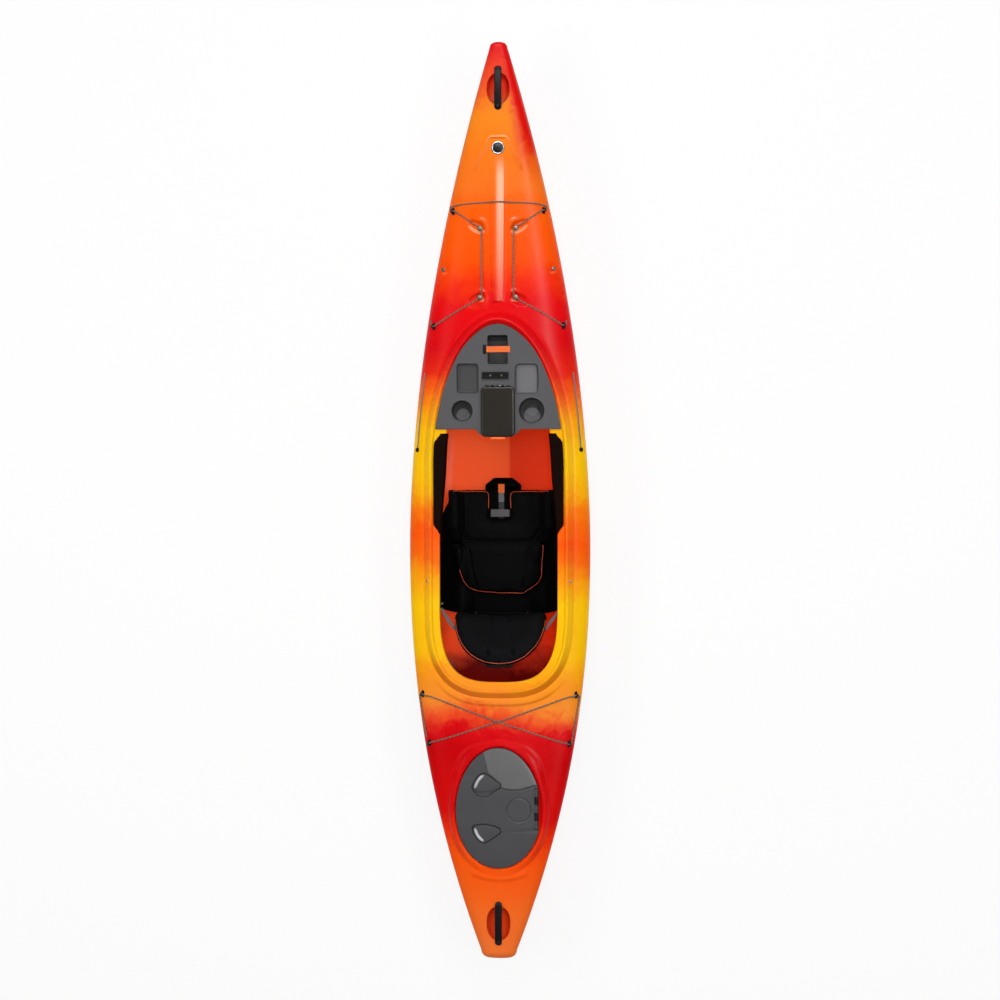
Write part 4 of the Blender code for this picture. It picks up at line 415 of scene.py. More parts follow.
# %% [markdown]
# ## The cockpit, hatch and scoop outlines
#
# The holes in the deck follow closed lines in plan. The cockpit's is a pointed superellipse ahead, straight sides
# and a square superellipse behind. The hatch's is an egg. Each line is sampled evenly along its length, and its
# outward normals let any point be given by how far out from the line it lies, which is how a moulded rim is
# drawn on a real plan too.

# %% Outlines in plan
CREST_HALF_WIDTH = 0.278
CREST_FRONT_LENGTH = 0.595
CREST_REAR_LENGTH = 0.368
CREST_FRONT_POWER = 1.9
CREST_REAR_POWER = 3.0
HATCH_Y = -1.273
HATCH_LENGTH = 0.5
HATCH_WIDTH = 0.357
HATCH_EGG = 0.05
SCOOP_HALF = {"bow": (0.048, 0.0655), "stern": (0.05, 0.0705)}
NEAR = 0.12  # how far beyond an outline distances are still worked out
COARSE = 240  # points of a crest line that only serves for distances
HANDLE_Y = {"bow": 1.707, "stern": -1.753}


def evenly(points, count):
    """Closed outline resampled so that its count points lie the same distance apart, anticlockwise."""
    ring = np.vstack([points, points[:1]])
    length = np.concatenate([[0], np.cumsum(np.linalg.norm(np.diff(ring, axis=0), axis=1))])
    places = np.arange(count) * length[-1] / count
    return np.stack([np.interp(places, length, ring[:, k]) for k in (0, 1)], axis=1)


def normals_of(points):
    """Outward normals of a closed anticlockwise outline: its direction turned right by a quarter."""
    along = np.roll(points, -1, 0) - np.roll(points, 1, 0)
    along /= np.linalg.norm(along, axis=1)[:, None]
    return np.stack([along[:, 1], -along[:, 0]], axis=1)


def crest_outline(count=560):
    """The coaming's crest: x^p + y^p = 1 scaled to each end, p = 1.9 ahead and 3 behind."""
    angle = np.linspace(0, math.pi, 1500)
    across, along = np.cos(angle), np.sin(angle)
    front = np.stack([power(across, 2 / CREST_FRONT_POWER), power(along, 2 / CREST_FRONT_POWER)], axis=1)
    rear = -np.stack([power(across, 2 / CREST_REAR_POWER), power(along, 2 / CREST_REAR_POWER)], axis=1)
    front = front * (CREST_HALF_WIDTH, CREST_FRONT_LENGTH) + (0, CREST_FRONT_Y - CREST_FRONT_LENGTH)
    rear = rear * (CREST_HALF_WIDTH, CREST_REAR_LENGTH) + (0, CREST_REAR_Y + CREST_REAR_LENGTH)
    return evenly(np.vstack([front, rear]), count)


def hatch_outline(count=360):
    """The hatch lid's egg: an ellipse drawn in by up to 5% ahead of its middle and let out as much behind it."""
    angle = np.linspace(0, math.tau, 2000, endpoint=False)
    x = HATCH_WIDTH / 2 * np.cos(angle) * (1 - HATCH_EGG * np.sin(angle))
    return evenly(np.stack([x, HATCH_Y + HATCH_LENGTH / 2 * np.sin(angle)], axis=1), count)


def scoop_outline(end, count=120):
    """Oval rim of the hollow under a carry handle."""
    angle = np.linspace(0, math.tau, 1000, endpoint=False)
    rim = power(np.stack([np.cos(angle), np.sin(angle)], axis=1), 0.85) * SCOOP_HALF[end]
    return evenly(rim + (0, HANDLE_Y[end]), count)


def distance_to(outline, x, y, block=4000):
    """Distance of points from a convex outline, negative inside, and the direction that leads away from it.

    Each point is set against each stretch of the outline. Points well beyond the outline count as 1 m away.
    """
    start, step = outline, np.roll(outline, -1, 0) - outline
    outward = np.stack([step[:, 1], -step[:, 0]], axis=1) / np.linalg.norm(step, axis=1)[:, None]
    places = np.stack([x.ravel(), y.ravel()], axis=1)
    near = ((places > outline.min(0) - NEAR) & (places < outline.max(0) + NEAR)).all(1)
    distance, direction = np.full(len(places), 1.0), np.zeros((len(places), 2))
    for part in np.array_split(np.flatnonzero(near), max(1, near.sum() // block)):
        along = ((places[part, None] - start) * step).sum(-1) / (step**2).sum(-1)
        gap = places[part, None] - start - np.clip(along, 0, 1)[..., None] * step
        best = (gap**2).sum(-1).argmin(1)
        gap = gap[np.arange(len(part)), best]
        inside = (gap * outward[best]).sum(-1) < 0
        distance[part] = np.linalg.norm(gap, axis=1) * np.where(inside, -1, 1)
        direction[part] = outward[best]
    return distance.reshape(x.shape), direction.reshape(*x.shape, 2)


print("cockpit line", crest_outline().shape, "hatch line", hatch_outline().shape)

# %% Relief of the deck
SPINE_START = 0.82
SPINE_LENGTH = 0.6
SPINE_HALF = 0.028
SPINE_RISE = 0.012
ARROW_TIP_Y = 1.509
ARROW_LENGTH = 0.16
ARROW_RISE = 0.006
HOOKS = [(side * 0.074, y, end) for y, end in ((1.129, 1), (0.843, -1)) for side in (-1, 1)]
HOLLOW_DEPTH = 0.0095
HOLLOW_LIP = 0.0048
REAR_STEP = 0.0055
BOSS_Y = -0.961
BOSS_RISE = 0.0016
GROOVE_OUT = 0.034
GROOVE_DEPTH = 0.003
BUTTON_PLACE = (0.2296, 0.965)
FIELD_RISE = 0.005
HATCH_LIP = 0.0065


def spine_rise(x, y):
    """Rib ahead of the cockpit: two facets that meet in a ridge, widening forwards, with a square aft end."""
    share = (y - SPINE_START) / SPINE_LENGTH
    half = SPINE_HALF * (1 + 0.35 * np.clip(share, 0, 1))
    flank = ease((half - np.abs(x)) / 0.006)
    facets = 0.3 + 0.7 * np.clip(1 - np.abs(x) / half, 0, 1)
    sinks = 1 - ease((share - 0.55) / 0.45) * 0.6
    ends = ease(share * SPINE_LENGTH / 0.008) * sinks * ease((1.02 - share) / 0.1)
    return SPINE_RISE * flank * facets * ends


def arrow_outline(count=200):
    """Plan of the arrowhead: a short arch, then two straight legs that spread towards their tails."""
    half = [(0.112, -0.16), (0.083, -0.1), (0.058, -0.045), (0.046, -0.014), (0.034, -0.003), (0.0, 0.0)]
    points = np.vstack([half, np.array(half[-2::-1]) * (-1, 1)]) + (0.0, ARROW_TIP_Y)
    return evenly(points, count)


def arrow_rise(x, y):
    """Ridge along the arrowhead's outline, widest midway down its legs, and a low plateau inside it."""
    behind = (ARROW_TIP_Y - y) / ARROW_LENGTH
    distance, _ = distance_to(arrow_outline(), x, y)
    half = 0.0045 + 0.006 * np.sin(np.pi * np.clip(behind, 0, 1)) ** 1.5
    fade = ease((0.97 - behind) / 0.2)
    ridge = ease(1 - np.abs(distance + half * 0.5) / half)
    return fade * (ARROW_RISE * ridge + 0.002 * ease(-distance / 0.01) * ease((0.8 - behind) / 0.5))


def hook_hollow(x, y):
    """Hollow beside each cord hook, with a raised lip on the side towards the middle of the deck."""
    total = np.zeros_like(x)
    for hook_x, hook_y, end in HOOKS:
        across, along = (x - hook_x) * np.sign(hook_x), (y - hook_y) * end
        lean_across, lean_along = across * 0.86 + along * 0.5, along * 0.86 - across * 0.5
        oval = np.hypot((lean_across - 0.016) / 0.042, lean_along / 0.021)
        total -= HOLLOW_DEPTH * ease((1.1 - oval) / 0.4)
        lip = np.hypot((across + 0.002) / 0.024, (along - 0.004) / 0.03)
        total += HOLLOW_LIP * np.exp(-(((lip - 1.0) / 0.26) ** 2)) * ease((-across + 0.016) / 0.02)
    return total


def deck_relief(x, y, crest_distance):
    """Everything moulded on the deck outside the rims, in metres over the plain deck."""
    rise = spine_rise(x, y) + arrow_rise(x, y) + hook_hollow(x, y)
    behind = ease((-0.62 - y) / 0.14)
    rise += REAR_STEP * behind * ease((0.068 - crest_distance) / 0.008) * ease((0.3 - np.abs(x)) / 0.1)
    boss = ease((0.036 - np.abs(x)) / 0.008) * ease((0.024 - np.abs(y - BOSS_Y)) / 0.008)
    rise += BOSS_RISE * boss
    groove = np.clip((crest_distance - GROOVE_OUT) / 0.009, 0, 1)
    rise -= GROOVE_DEPTH * (1 - ease(groove)) * (crest_distance > 0)
    for side in (-1, 1):
        oval = np.hypot((x - side * 0.222) / 0.02, (y - BUTTON_PLACE[1]) / 0.024)
        rise -= GROOVE_DEPTH * ease((1.0 - oval) / 0.4)
    return rise + hatch_moulding(x, y)


def hatch_moulding(x, y):
    """Raised field around the hatch, a superellipse with a crisp edge that fades aft, and a curved lip behind."""
    ahead = y - HATCH_Y
    reach = (np.abs(x / 0.2) ** 3.2 + np.abs((ahead + 0.01) / 0.288) ** 3.2) ** (1 / 3.2)
    field = ease((1 - reach) / 0.045) * ease((ahead + 0.2) / 0.25)
    behind = ahead + 0.302 - 0.021 * (x / 0.118) ** 2
    lip = ease((behind + 0.004) / 0.008) * ease((0.04 - behind) / 0.034) * ease((0.124 - np.abs(x)) / 0.02)
    return FIELD_RISE * field + HATCH_LIP * lip


# %% Outer and inner skin
DECK_COLUMNS = 150
BOTTOM_COLUMNS = 44
HATCH_FOOT = 0.036
FLOOR_VEE = 0.03


def graded(fine, dense, more=0):
    """Places that lie one over the density apart, from densities at finely spaced places."""
    total = np.concatenate([[0], np.cumsum((dense[1:] + dense[:-1]) / 2 * np.diff(fine))])
    return np.interp(np.linspace(0, total[-1], int(total[-1]) + more), total, fine)


def stations(spacing, close, regions, inset):
    """Places along the boat, at one spacing and closer together in the regions that carry relief."""
    fine = np.linspace(inset[0] - LENGTH / 2, LENGTH / 2 - inset[1], 8000)
    dense = np.full(fine.shape, 1 / spacing)
    for low, high in regions:
        dense = np.where((fine > low) & (fine < high), 1 / close, dense)
    return graded(fine, dense)


def hull_section(y, inset, deck_columns, bottom_columns):
    """Ring of points at each y: x = half breadth times a cosine, deck and bottom by their own heights."""
    half = (half_breadth(y) - inset)[:, None]
    y = y[:, None]
    turn = np.linspace(0, math.pi, deck_columns + 1)
    top_x = half * np.cos(turn)
    arch = (1 - np.abs(np.cos(turn)) ** 2.5) ** 0.4
    top_z = sheer_height(y) + (crown_height(y) - sheer_height(y) - inset) * arch
    turn = np.linspace(math.pi, math.tau, bottom_columns + 1)[1:]
    low_x = half * power(np.cos(turn), 2 / (3.4 - 1.5 * towards_tip(y) ** 3))
    low_z = bottom_height(np.abs(np.sin(turn)), y, inset)
    if inset:
        low_z = np.maximum(low_z, keel_height(y) + inset + FLOOR_VEE * np.abs(low_x) * (np.abs(y) < 1.4))
    x, z = np.hstack([top_x, low_x]), np.hstack([top_z, low_z])
    return np.stack([x, np.broadcast_to(y, x.shape), z], axis=-1)


def nose_rings(base, end, rounding):
    """Rings past the last section: a quarter round in plan and profile, then a flat end drawn to a line."""
    low, high = base[:, 2].min(), base[:, 2].max()
    middle, tall, half = (low + high) / 2, (high - low) / 2, np.abs(base[:, 0]).max()
    turn = np.linspace(0, math.pi / 2, 9)[1:, None]
    drop = rounding * (1 - np.cos(turn))
    narrow, short = 1 - drop / half, 1 - drop / tall
    y = base[:, 1] + end * rounding * np.sin(turn)
    rings = np.stack([base[:, 0] * narrow, y, middle + (base[:, 2] - middle) * short], axis=-1)
    shrink = np.linspace(1, 0, 5)[1:, None]
    last = rings[-1]
    closing = np.stack([last[:, 0] * shrink, last[:, 1] + 0 * shrink, last[:, 2] + 0 * shrink], axis=-1)
    return np.concatenate([rings, closing])


def hull_skin(name, inset, spacing, close, deck_columns, bottom_columns, holes, facing):
    """Skin of the hull with its relief, cut open along lines that lie a given way out from the outlines."""
    regions = [(-1.9, -1.6), (-1.6, -0.94), (-0.9, -0.72), (0.74, 1.52), (1.58, 1.83)]
    ends = (0.055, 0.055) if inset else (NOSE_ROUNDING["stern"], NOSE_ROUNDING["bow"])
    points = hull_section(stations(spacing, close, regions, ends), inset, deck_columns, bottom_columns)
    x, y, z = np.moveaxis(points, -1, 0)
    on_deck = z > sheer_height(y) + 1e-6
    distance, _ = distance_to(crest_outline(COARSE), x, y)
    z += deck_relief(x, y, distance) * ease((z - sheer_height(y)) / 0.03) * on_deck
    hidden = np.zeros(x.shape, bool)
    for outline, out in holes:
        distance, away = distance_to(outline, x, y)
        inside = on_deck & (distance < out - 1e-5)
        kept = ~cells_of(inside, np.logical_and)
        used = np.zeros(x.shape, bool)
        for rows in (slice(None, -1), slice(1, None)):
            for columns in (slice(None, -1), slice(1, None)):
                used[rows, columns] |= kept
        edge = inside & used
        points[..., :2][edge] += away[edge] * (out - distance[edge])[:, None]
        crest_distance, _ = distance_to(crest_outline(COARSE), x[edge], y[edge])
        z[edge] = deck_height(x[edge], y[edge]) - inset + deck_relief(x[edge], y[edge], crest_distance)
        hidden |= inside
    keep = ~cells_of(hidden, np.logical_and)
    if not inset:
        stern = nose_rings(points[0], -1, NOSE_ROUNDING["stern"])[::-1]
        bow = nose_rings(points[-1], 1, NOSE_ROUNDING["bow"])
        points = np.concatenate([stern, points, bow])
        keep = np.pad(keep, ((len(stern), len(bow)), (0, 0)), constant_values=True)
    return surface(name, points, keep=keep, facing=facing)


outer_holes = [(crest_outline(), GROOVE_OUT), (hatch_outline(), HATCH_FOOT)]
outer_holes += [(scoop_outline(end), 0.0) for end in HANDLE_Y]
outer_skin = hull_skin("hull_outside", 0.0, 0.01, 0.0062, DECK_COLUMNS, BOTTOM_COLUMNS, outer_holes, 1)
inner_holes = [(crest_outline(), 0.026), (hatch_outline(), 0.026), (scoop_outline("bow"), 0.004)]
inner_holes += [(scoop_outline("stern"), 0.004)]
inner_skin = hull_skin("hull_inside", WALL, 0.02, 0.014, 64, 40, inner_holes, -1)
print("outer skin", len(outer_skin.data.polygons), "faces, inner", len(inner_skin.data.polygons))

# %% [markdown]
# ## Coaming, hatch rim and scoops
#
# A moulded rim is one profile that runs along a line. So each rim is a table again: its columns go along the
# outline, and its rows go round the profile, each row a distance out from the line and a height. The deck skin
# was cut where the rims meet it, in the crease that a real rim has at its foot, so the seam is out of sight.

# %% Sweep a profile along an outline
CREST_WIDTH = 0.006
CREST_FRONT_Z = 0.372
CREST_SLOPE = 0.08
SLOPE_END_Y = 0.25
SLOPE_EASE = 0.4
LEDGE_DROP = 0.01
RIM_WALL = 0.006


def crest_height(y):
    """Crest of the coaming: a straight slope under the console that eases out to level behind it."""
    slope_end_z = CREST_FRONT_Z - CREST_SLOPE * (CREST_FRONT_Y - SLOPE_END_Y)
    past = np.clip(SLOPE_END_Y - y, 0, SLOPE_EASE)
    eased = slope_end_z - CREST_SLOPE * past + CREST_SLOPE * past**2 / (2 * SLOPE_EASE)
    return np.where(y > SLOPE_END_Y, slope_end_z + CREST_SLOPE * (y - SLOPE_END_Y), eased)


def ledge_width(y):
    """Width of the ledge inside the crest: narrow under the console, wide at the thighs, medium behind."""
    ahead = 0.054 + (0.012 - 0.054) * ease((y - 0.29) / 0.2)
    return np.where(y > 0.29, ahead, 0.033 + (0.054 - 0.033) * ease((y + 0.14) / 0.34))


def carried(outline, rows):
    """Table of points: the outline moved out by a distance and set at a height for each (out, height) row."""
    normals = normals_of(outline)
    table = []
    for row in rows:
        out, height = (np.broadcast_to(value, len(outline)) for value in row)
        table.append(np.column_stack([outline + normals * out[:, None], height]))
    return closed(np.array(table))


def swept(name, outline, profile):
    """Closed profile carried round a closed outline. The profile gives (out, height) rows for the outline."""
    rows = profile(outline, normals_of(outline))
    return surface(name, carried(outline, rows + rows[:1]))


def skin_height(outline, normals, out):
    """Height of the deck skin with its relief, a given way out from an outline."""
    x, y = (outline + normals * out).T
    distance, _ = distance_to(crest_outline(COARSE), x, y)
    return deck_height(x, y) + deck_relief(x, y, distance)


def slope_share(t, rounding=0.3):
    """Straight rise from 0 to 1 that rounds over at its top."""
    return (t - np.clip(t - (1 - rounding), 0, 1) ** 2 / (2 * rounding)) / (1 - rounding / 2)


def coaming_profile(outline, normals):
    """Outer slope, crest, step to the ledge, ledge, rounded lip, and back underneath."""
    y = outline[:, 1]
    crest, width = crest_height(y), ledge_width(y)
    ledge = crest - LEDGE_DROP
    foot = skin_height(outline, normals, GROOVE_OUT)
    rows = []
    for t in np.linspace(0, 1, 11):
        rows.append((GROOVE_OUT + (CREST_WIDTH - GROOVE_OUT) * t, foot + (crest - foot) * slope_share(t)))
    rows += [(0.003, crest + 0.0002), (0.0008, crest - 0.0002), (-0.0006, crest - 0.0015)]
    rows += [(-0.003, ledge + 0.0018), (-0.0045, ledge + 0.0004), (-0.007, ledge)]
    for share in (0.3, 0.6, 0.85):
        rows.append((-0.007 + (0.01 - width) * share, ledge - 0.0012 * share))
    for out, drop in ((0.0032, 0.0014), (0.0012, 0.0024), (0.0002, 0.0044), (0.0, 0.008)):
        rows.append((out - width, ledge - drop))
    for out, drop in ((0.0, 0.0205), (0.0006, 0.0228), (0.0022, 0.0239), (0.0042, 0.0234), (0.006, 0.0205)):
        rows.append((out - width, ledge - drop))
    rows += [(0.006 - width, ledge - 0.01), (0.009 - width, ledge - 0.0082), (0.002, ledge - 0.007)]
    rows += [(0.009, crest - 0.0085), (0.022, foot - 0.0085), (0.03, foot - 0.0065)]
    return rows


coaming = swept("coaming_band", crest_outline(), coaming_profile)

HATCH_Z = 0.3
HATCH_LEDGE_Z = 0.296
WELL_FLOOR_Z = 0.307


def hatch_rim_profile(outline, normals):
    """Outer slope, flat top, recess for the lid, the gasket's ledge, an inner lip, and back underneath."""
    foot = skin_height(outline, normals, HATCH_FOOT)
    crest = HATCH_Z + 0.006
    rows = []
    for t in np.linspace(0, 1, 8):
        rows.append((HATCH_FOOT + (0.013 - HATCH_FOOT) * t, foot + (crest - foot) * slope_share(t, 0.5)))
    rows += [(0.0085, crest), (0.0058, crest - 0.0003), (0.0042, crest - 0.0016), (0.0035, crest - 0.004)]
    rows += [(0.0034, HATCH_LEDGE_Z + 0.001), (0.002, HATCH_LEDGE_Z), (-0.0285, HATCH_LEDGE_Z)]
    rows += [(-0.03, HATCH_LEDGE_Z - 0.0015), (-0.03, HATCH_LEDGE_Z - 0.018), (-0.024, HATCH_LEDGE_Z - 0.018)]
    rows += [(-0.024, HATCH_LEDGE_Z - RIM_WALL), (0.008, HATCH_LEDGE_Z - RIM_WALL)]
    rows += [(0.022, foot - 0.009), (0.031, foot - 0.0065)]
    return rows


hatch_rim = swept("hatch_rim", hatch_outline(), hatch_rim_profile)


def scoop_bowl(end):
    """Hollow under a handle: the oval drawn in step by step while it sinks, with a rounded rim and floor."""
    outline = scoop_outline(end)
    middle = np.array([0, HANDLE_Y[end]])
    steps = [(1, 0), (0.985, 0.5), (0.965, 1.8), (0.95, 4.5), (0.935, 9), (0.91, 15), (0.86, 20), (0.78, 24)]
    steps += [(0.65, 26.5), (0.45, 27.6), (0.2, 28), (0, 28)]
    rows = []
    for share, drop in steps:
        x, y = (middle + (outline - middle) * share).T
        z = deck_height(x, y) + deck_relief(x, y, 1.0 + 0 * x) - drop / 1000
        rows.append(np.stack([x, y, z], axis=-1))
    return surface(end + " bowl", closed(np.array(rows)), facing=(0, 0, 1))


scoops = [scoop_bowl(end) for end in HANDLE_Y]
print("coaming", len(coaming.data.polygons), "faces, hatch rim", len(hatch_rim.data.polygons))

# %% [markdown]
# ## The hull's finish
#
# Rotomoulding melts coloured polyethylene powder in a turning mould. Charges of red, orange and yellow powder
# land in turn along the hull, so the colours lie in broad bands that melt into each other with wandering edges.
# One ramp along the boat gives the bands, and noise shifts the place that is read from it. The skin itself is
# waxy: a soft gloss, a slight orange peel and shallow waves from cooling. Light and shade are painted into the
# colour as well: a painted highlight on the spine's starboard facet and on deck slopes that face the bow, painted
# shade on deck slopes that face the stern and in a dark band on the cockpit floor at its aft end, and inside the
# hull a painted glow with a darker starboard half as painted shade.

# %% Rotomoulded polyethylene
DECK_BANDS = [
    (-1.905, "F67836"), (-1.7, "F96A20"), (-1.5, "FC560A"), (-1.385, "F43408"), (-1.3, "DC0A08"),
    (-1.06, "C80006"), (-0.96, "DC0812"), (-0.905, "F05024"), (-0.85, "F88A2C"), (-0.74, "FB9A14"),
    (-0.64, "FDBE08"), (-0.42, "FDC406"), (-0.33, "FBA00C"), (-0.25, "FA6A0A"), (-0.15, "FC5606"),
    (-0.04, "FC7A08"), (0.03, "FBAC0A"), (0.11, "FCC204"), (0.26, "FBBE06"), (0.35, "FA9A0C"),
    (0.44, "F46814"), (0.54, "E42810"), (0.66, "D80610"), (0.83, "E4060E"), (0.9, "F02C08"),
    (0.98, "F84E02"), (1.18, "FA5C02"), (1.27, "F4701C"), (1.42, "F57616"), (1.6, "F4861A"),
    (1.7, "EE5628"), (1.905, "E01820"),
]
# The floor ramp's very dark red stop at -0.74 is painted shade: the aft end of the cockpit floor in shadow.
FLOOR_BANDS = [
    (-1.905, "F0601E"), (-1.3, "C02808"), (-0.74, "6A0402"), (-0.64, "EE4C22"), (0.25, "F05A28"),
    (0.9, "F05018"), (1.905, "E8501E"),
]


def band_ramp(tree, y, bands):
    """Colour ramp along the boat, read at a place y that may wander. Its stops are (y, hex colour)."""
    share = add(tree, "MapRange", {"Value": y, "From Min": -LENGTH / 2, "From Max": LENGTH / 2})
    ramp = add(tree, "ValToRGB", {"Fac": share})
    elements = ramp.color_ramp.elements
    while len(elements) < len(bands):
        elements.new(0.5)
    for element, (place, colour) in zip(elements, bands):
        element.position = (place + LENGTH / 2) / LENGTH
        element.color = linear(colour)
    return ramp


polyethylene, tree, shader = new_finish("rotomoulded polyethylene", "F5780F", 0.34, {"Specular IOR Level": 0.05})
place = add(tree, "TexCoord").outputs["Object"]
axis = add(tree, "SeparateXYZ", {0: place}).outputs
drift = add(tree, "TexNoise", {"Vector": place, "Scale": 2.4, "Detail": 2.0, "Distortion": 0.7})
wisps = add(tree, "TexNoise", {"Vector": place, "Scale": 17.0, "Detail": 4.0, "Distortion": 1.6})
wander = add(tree, "Math", {0: drift, 1: 0.2, 2: axis["Y"]}, operation="MULTIPLY_ADD")
wander = add(tree, "Math", {0: wander, 1: 0.145}, operation="SUBTRACT")
wander = add(tree, "Math", {0: wisps, 1: 0.09, 2: wander}, operation="MULTIPLY_ADD")
deck_colour = band_ramp(tree, wander, DECK_BANDS)
floor_colour = band_ramp(tree, wander, FLOOR_BANDS)
print("two ramps with", len(DECK_BANDS), "and", len(FLOOR_BANDS), "bands")

# %% Where each ramp shows, the red flank of the bow, and painted highlights and shade on the slopes of the deck
smooth = {"interpolation_type": "SMOOTHSTEP"}
ZONES = {  # axis, where each starts and where it is full
    "below": ("Z", 0.205, 0.12), "above": ("Z", 0.25, 0.28), "ridge": ("X", -0.014, 0.006),
    "slope": ("X", 0.0255, 0.0225), "ahead": ("Y", 0.822, 0.828), "short of crest": ("Y", 1.44, 1.33),
    "short of tip": ("Y", 1.83, 1.78), "short of stern": ("Y", -1.5, -1.44),
}
zone = {}
for name, (letter, none, full) in ZONES.items():
    zone[name] = add(tree, "MapRange", {"Value": axis[letter], "From Min": none, "From Max": full}, **smooth)
breadth = add(tree, "Math", {0: axis["Y"], 1: -0.27, 2: 0.545}, operation="MULTIPLY_ADD")
across = add(tree, "Math", {0: wisps, 1: 0.03, 2: axis["X"]}, operation="MULTIPLY_ADD")
across = add(tree, "Math", {0: across, 1: breadth}, operation="DIVIDE")
flank = add(tree, "MapRange", {"Value": across, "From Min": 0.42, "From Max": 0.98}, **smooth)
forward = add(tree, "MapRange", {"Value": wander, "From Min": 1.28, "From Max": 1.52}, **smooth)
# Painted highlight on the spine's starboard facet, growing stronger towards the bow.
grows = {"Value": axis["Y"], "From Min": 0.86, "From Max": 1.25, "To Min": 0.12, "To Max": 0.58}
grows = add(tree, "MapRange", grows)
# Painted highlight and painted shade: where the normal leans to the bow the deck is painted lighter, where it
# leans to the stern darker.
lean = add(tree, "SeparateXYZ", {0: add(tree, "NewGeometry").outputs["Normal"]}).outputs["Y"]
lit = add(tree, "MapRange", {"Value": lean, "From Min": 0.14, "From Max": 0.42, "To Max": 0.36}, **smooth)
shaded = add(tree, "MapRange", {"Value": lean, "From Min": -0.12, "From Max": -0.45, "To Max": 0.34}, **smooth)
TINTS_AND_PAINTED_LIGHT = [  # colour, then the factors whose product is its amount
    ("DC0C0A", flank, forward),
    # painted highlight on the spine's starboard facet
    ("FFDCBC", zone["ridge"], zone["slope"], zone["ahead"], grows, zone["above"], zone["short of crest"]),
    # painted highlight on slopes that face the bow, on the foredeck
    ("FFD9A0", lit, zone["above"], zone["ahead"], zone["short of tip"]),
    # painted shade on slopes that face the stern
    ("A01404", shaded, zone["above"], zone["short of stern"]),
]
red = add(tree, "Mix", {"Factor": zone["below"], 6: deck_colour, 7: floor_colour}, data_type="RGBA")
for colour, amount, *factors in TINTS_AND_PAINTED_LIGHT:
    for factor in factors:
        amount = add(tree, "Math", {0: amount, 1: factor}, operation="MULTIPLY")
    red = add(tree, "Mix", {"Factor": amount, 6: red.outputs[2], 7: linear(colour)}, data_type="RGBA")
peel = add(tree, "TexNoise", {"Vector": place, "Scale": 230.0, "Detail": 2.0})
waves = add(tree, "TexNoise", {"Vector": place, "Scale": 16.0, "Detail": 1.0})
skin = add(tree, "Math", {0: waves, 1: 6.0, 2: peel}, operation="MULTIPLY_ADD")
skin = add(tree, "Bump", {"Height": skin, "Distance": 0.00009, "Strength": 0.6})
gloss = add(tree, "MapRange", {"Value": wisps, "From Min": 0.3, "From Max": 0.7, "To Min": 0.26, "To Max": 0.34})
feed(tree, shader, {"Base Color": red.outputs[2], "Roughness": gloss, "Normal": skin})
print("hull finish with", len(tree.nodes), "nodes")

# %% Dress the hull


def dress(made, finish, slot, body, *nodes, sharp=40.0):
    """Gives a piece its finish, its smooth shading and the body it rides on, and hides the CAD nodes that it
    stands for.

    A piece that is blended between two bodies has no body of its own, so its body is None.
    """
    made.data.materials.clear()
    made.data.materials.append(finish)
    made.data.shade_smooth()
    made.data.set_sharp_from_angle(angle=math.radians(sharp))
    if body:
        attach(made, body)
    if nodes:
        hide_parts(*nodes)
    return made


inside, tree, shader, hue = variant(polyethylene, "inside of the hull")
place = add(tree, "SeparateXYZ", {0: add(tree, "TexCoord").outputs["Object"]})
# Painted shade: the starboard half of the inside is multiplied by a darker, redder tone.
side = add(tree, "MapRange", {"Value": place, "From Min": 0.022, "From Max": 0.032})
side = add(tree, "Mix", {"Factor": side, 6: linear("FFFFFF"), 7: linear("E8A080")}, data_type="RGBA")
hue = add(tree, "Mix", {"Factor": 1.0, 6: hue, 7: side.outputs[2]}, data_type="RGBA", blend_type="MULTIPLY")
# Painted glow: the inside emits its own colour, standing in for light that comes through the hull's wall.
feed(tree, shader, {"Base Color": hue.outputs[2], "Emission Color": hue.outputs[2], "Emission Strength": 0.21})

hollow, tree, shader, hue = variant(polyethylene, "hand hollows of the hull")
hue = add(tree, "Mix", {"Factor": 0.72, 6: hue, 7: linear("CC1002")}, data_type="RGBA")
feed(tree, shader, {"Base Color": hue.outputs[2]})

for made in [outer_skin, inner_skin, coaming, hatch_rim, *scoops]:
    made.name = made.name.replace(" ", "_")
    finish = inside if made is inner_skin else hollow if made in scoops else polyethylene
    dress(made, finish, "hull", "hull", "hull_shell", sharp=50.0)
print("hull dressed in", 4 + len(scoops), "pieces")

# %% [markdown]
# ## Finishes of the fittings
#
# Everything else on the boat is moulded plastic, rubber, foam, stainless steel or woven tape. What tells them
# apart is mostly the texture: mould makers etch a fine pebble into large grey parts, foam shows its cut cells,
# tape shows its threads. Threads half a millimetre apart would vanish at this distance, so they are drawn
# several times coarser than real.

# %% Moulded plastics, rubber and foam


def moulded(name, colour, roughness, grain, depth, mottle=0.06, gloss=0.3):
    """Etched moulded surface: a pebble of the given grain and depth in metres, and a faint change of shade."""
    made, tree, shader = new_finish(name, colour, roughness, {"Specular IOR Level": gloss})
    place = add(tree, "TexCoord").outputs["Object"]
    pebble = add(tree, "TexNoise", {"Vector": place, "Scale": 1 / grain, "Detail": 2.0})
    cloud = add(tree, "TexNoise", {"Vector": place, "Scale": 18.0, "Detail": 3.0})
    level = add(tree, "MapRange", {"Value": cloud, "To Min": 1 - mottle, "To Max": 1 + mottle})
    shade = add(tree, "HueSaturation", {"Value": level, "Color": linear(colour)})
    worn = add(tree, "MapRange", {"Value": cloud, "To Min": roughness - 0.06, "To Max": roughness + 0.06})
    etched = add(tree, "Bump", {"Height": pebble, "Distance": depth, "Strength": 0.8})
    feed(tree, shader, {"Base Color": shade, "Roughness": worn, "Normal": etched})
    return made


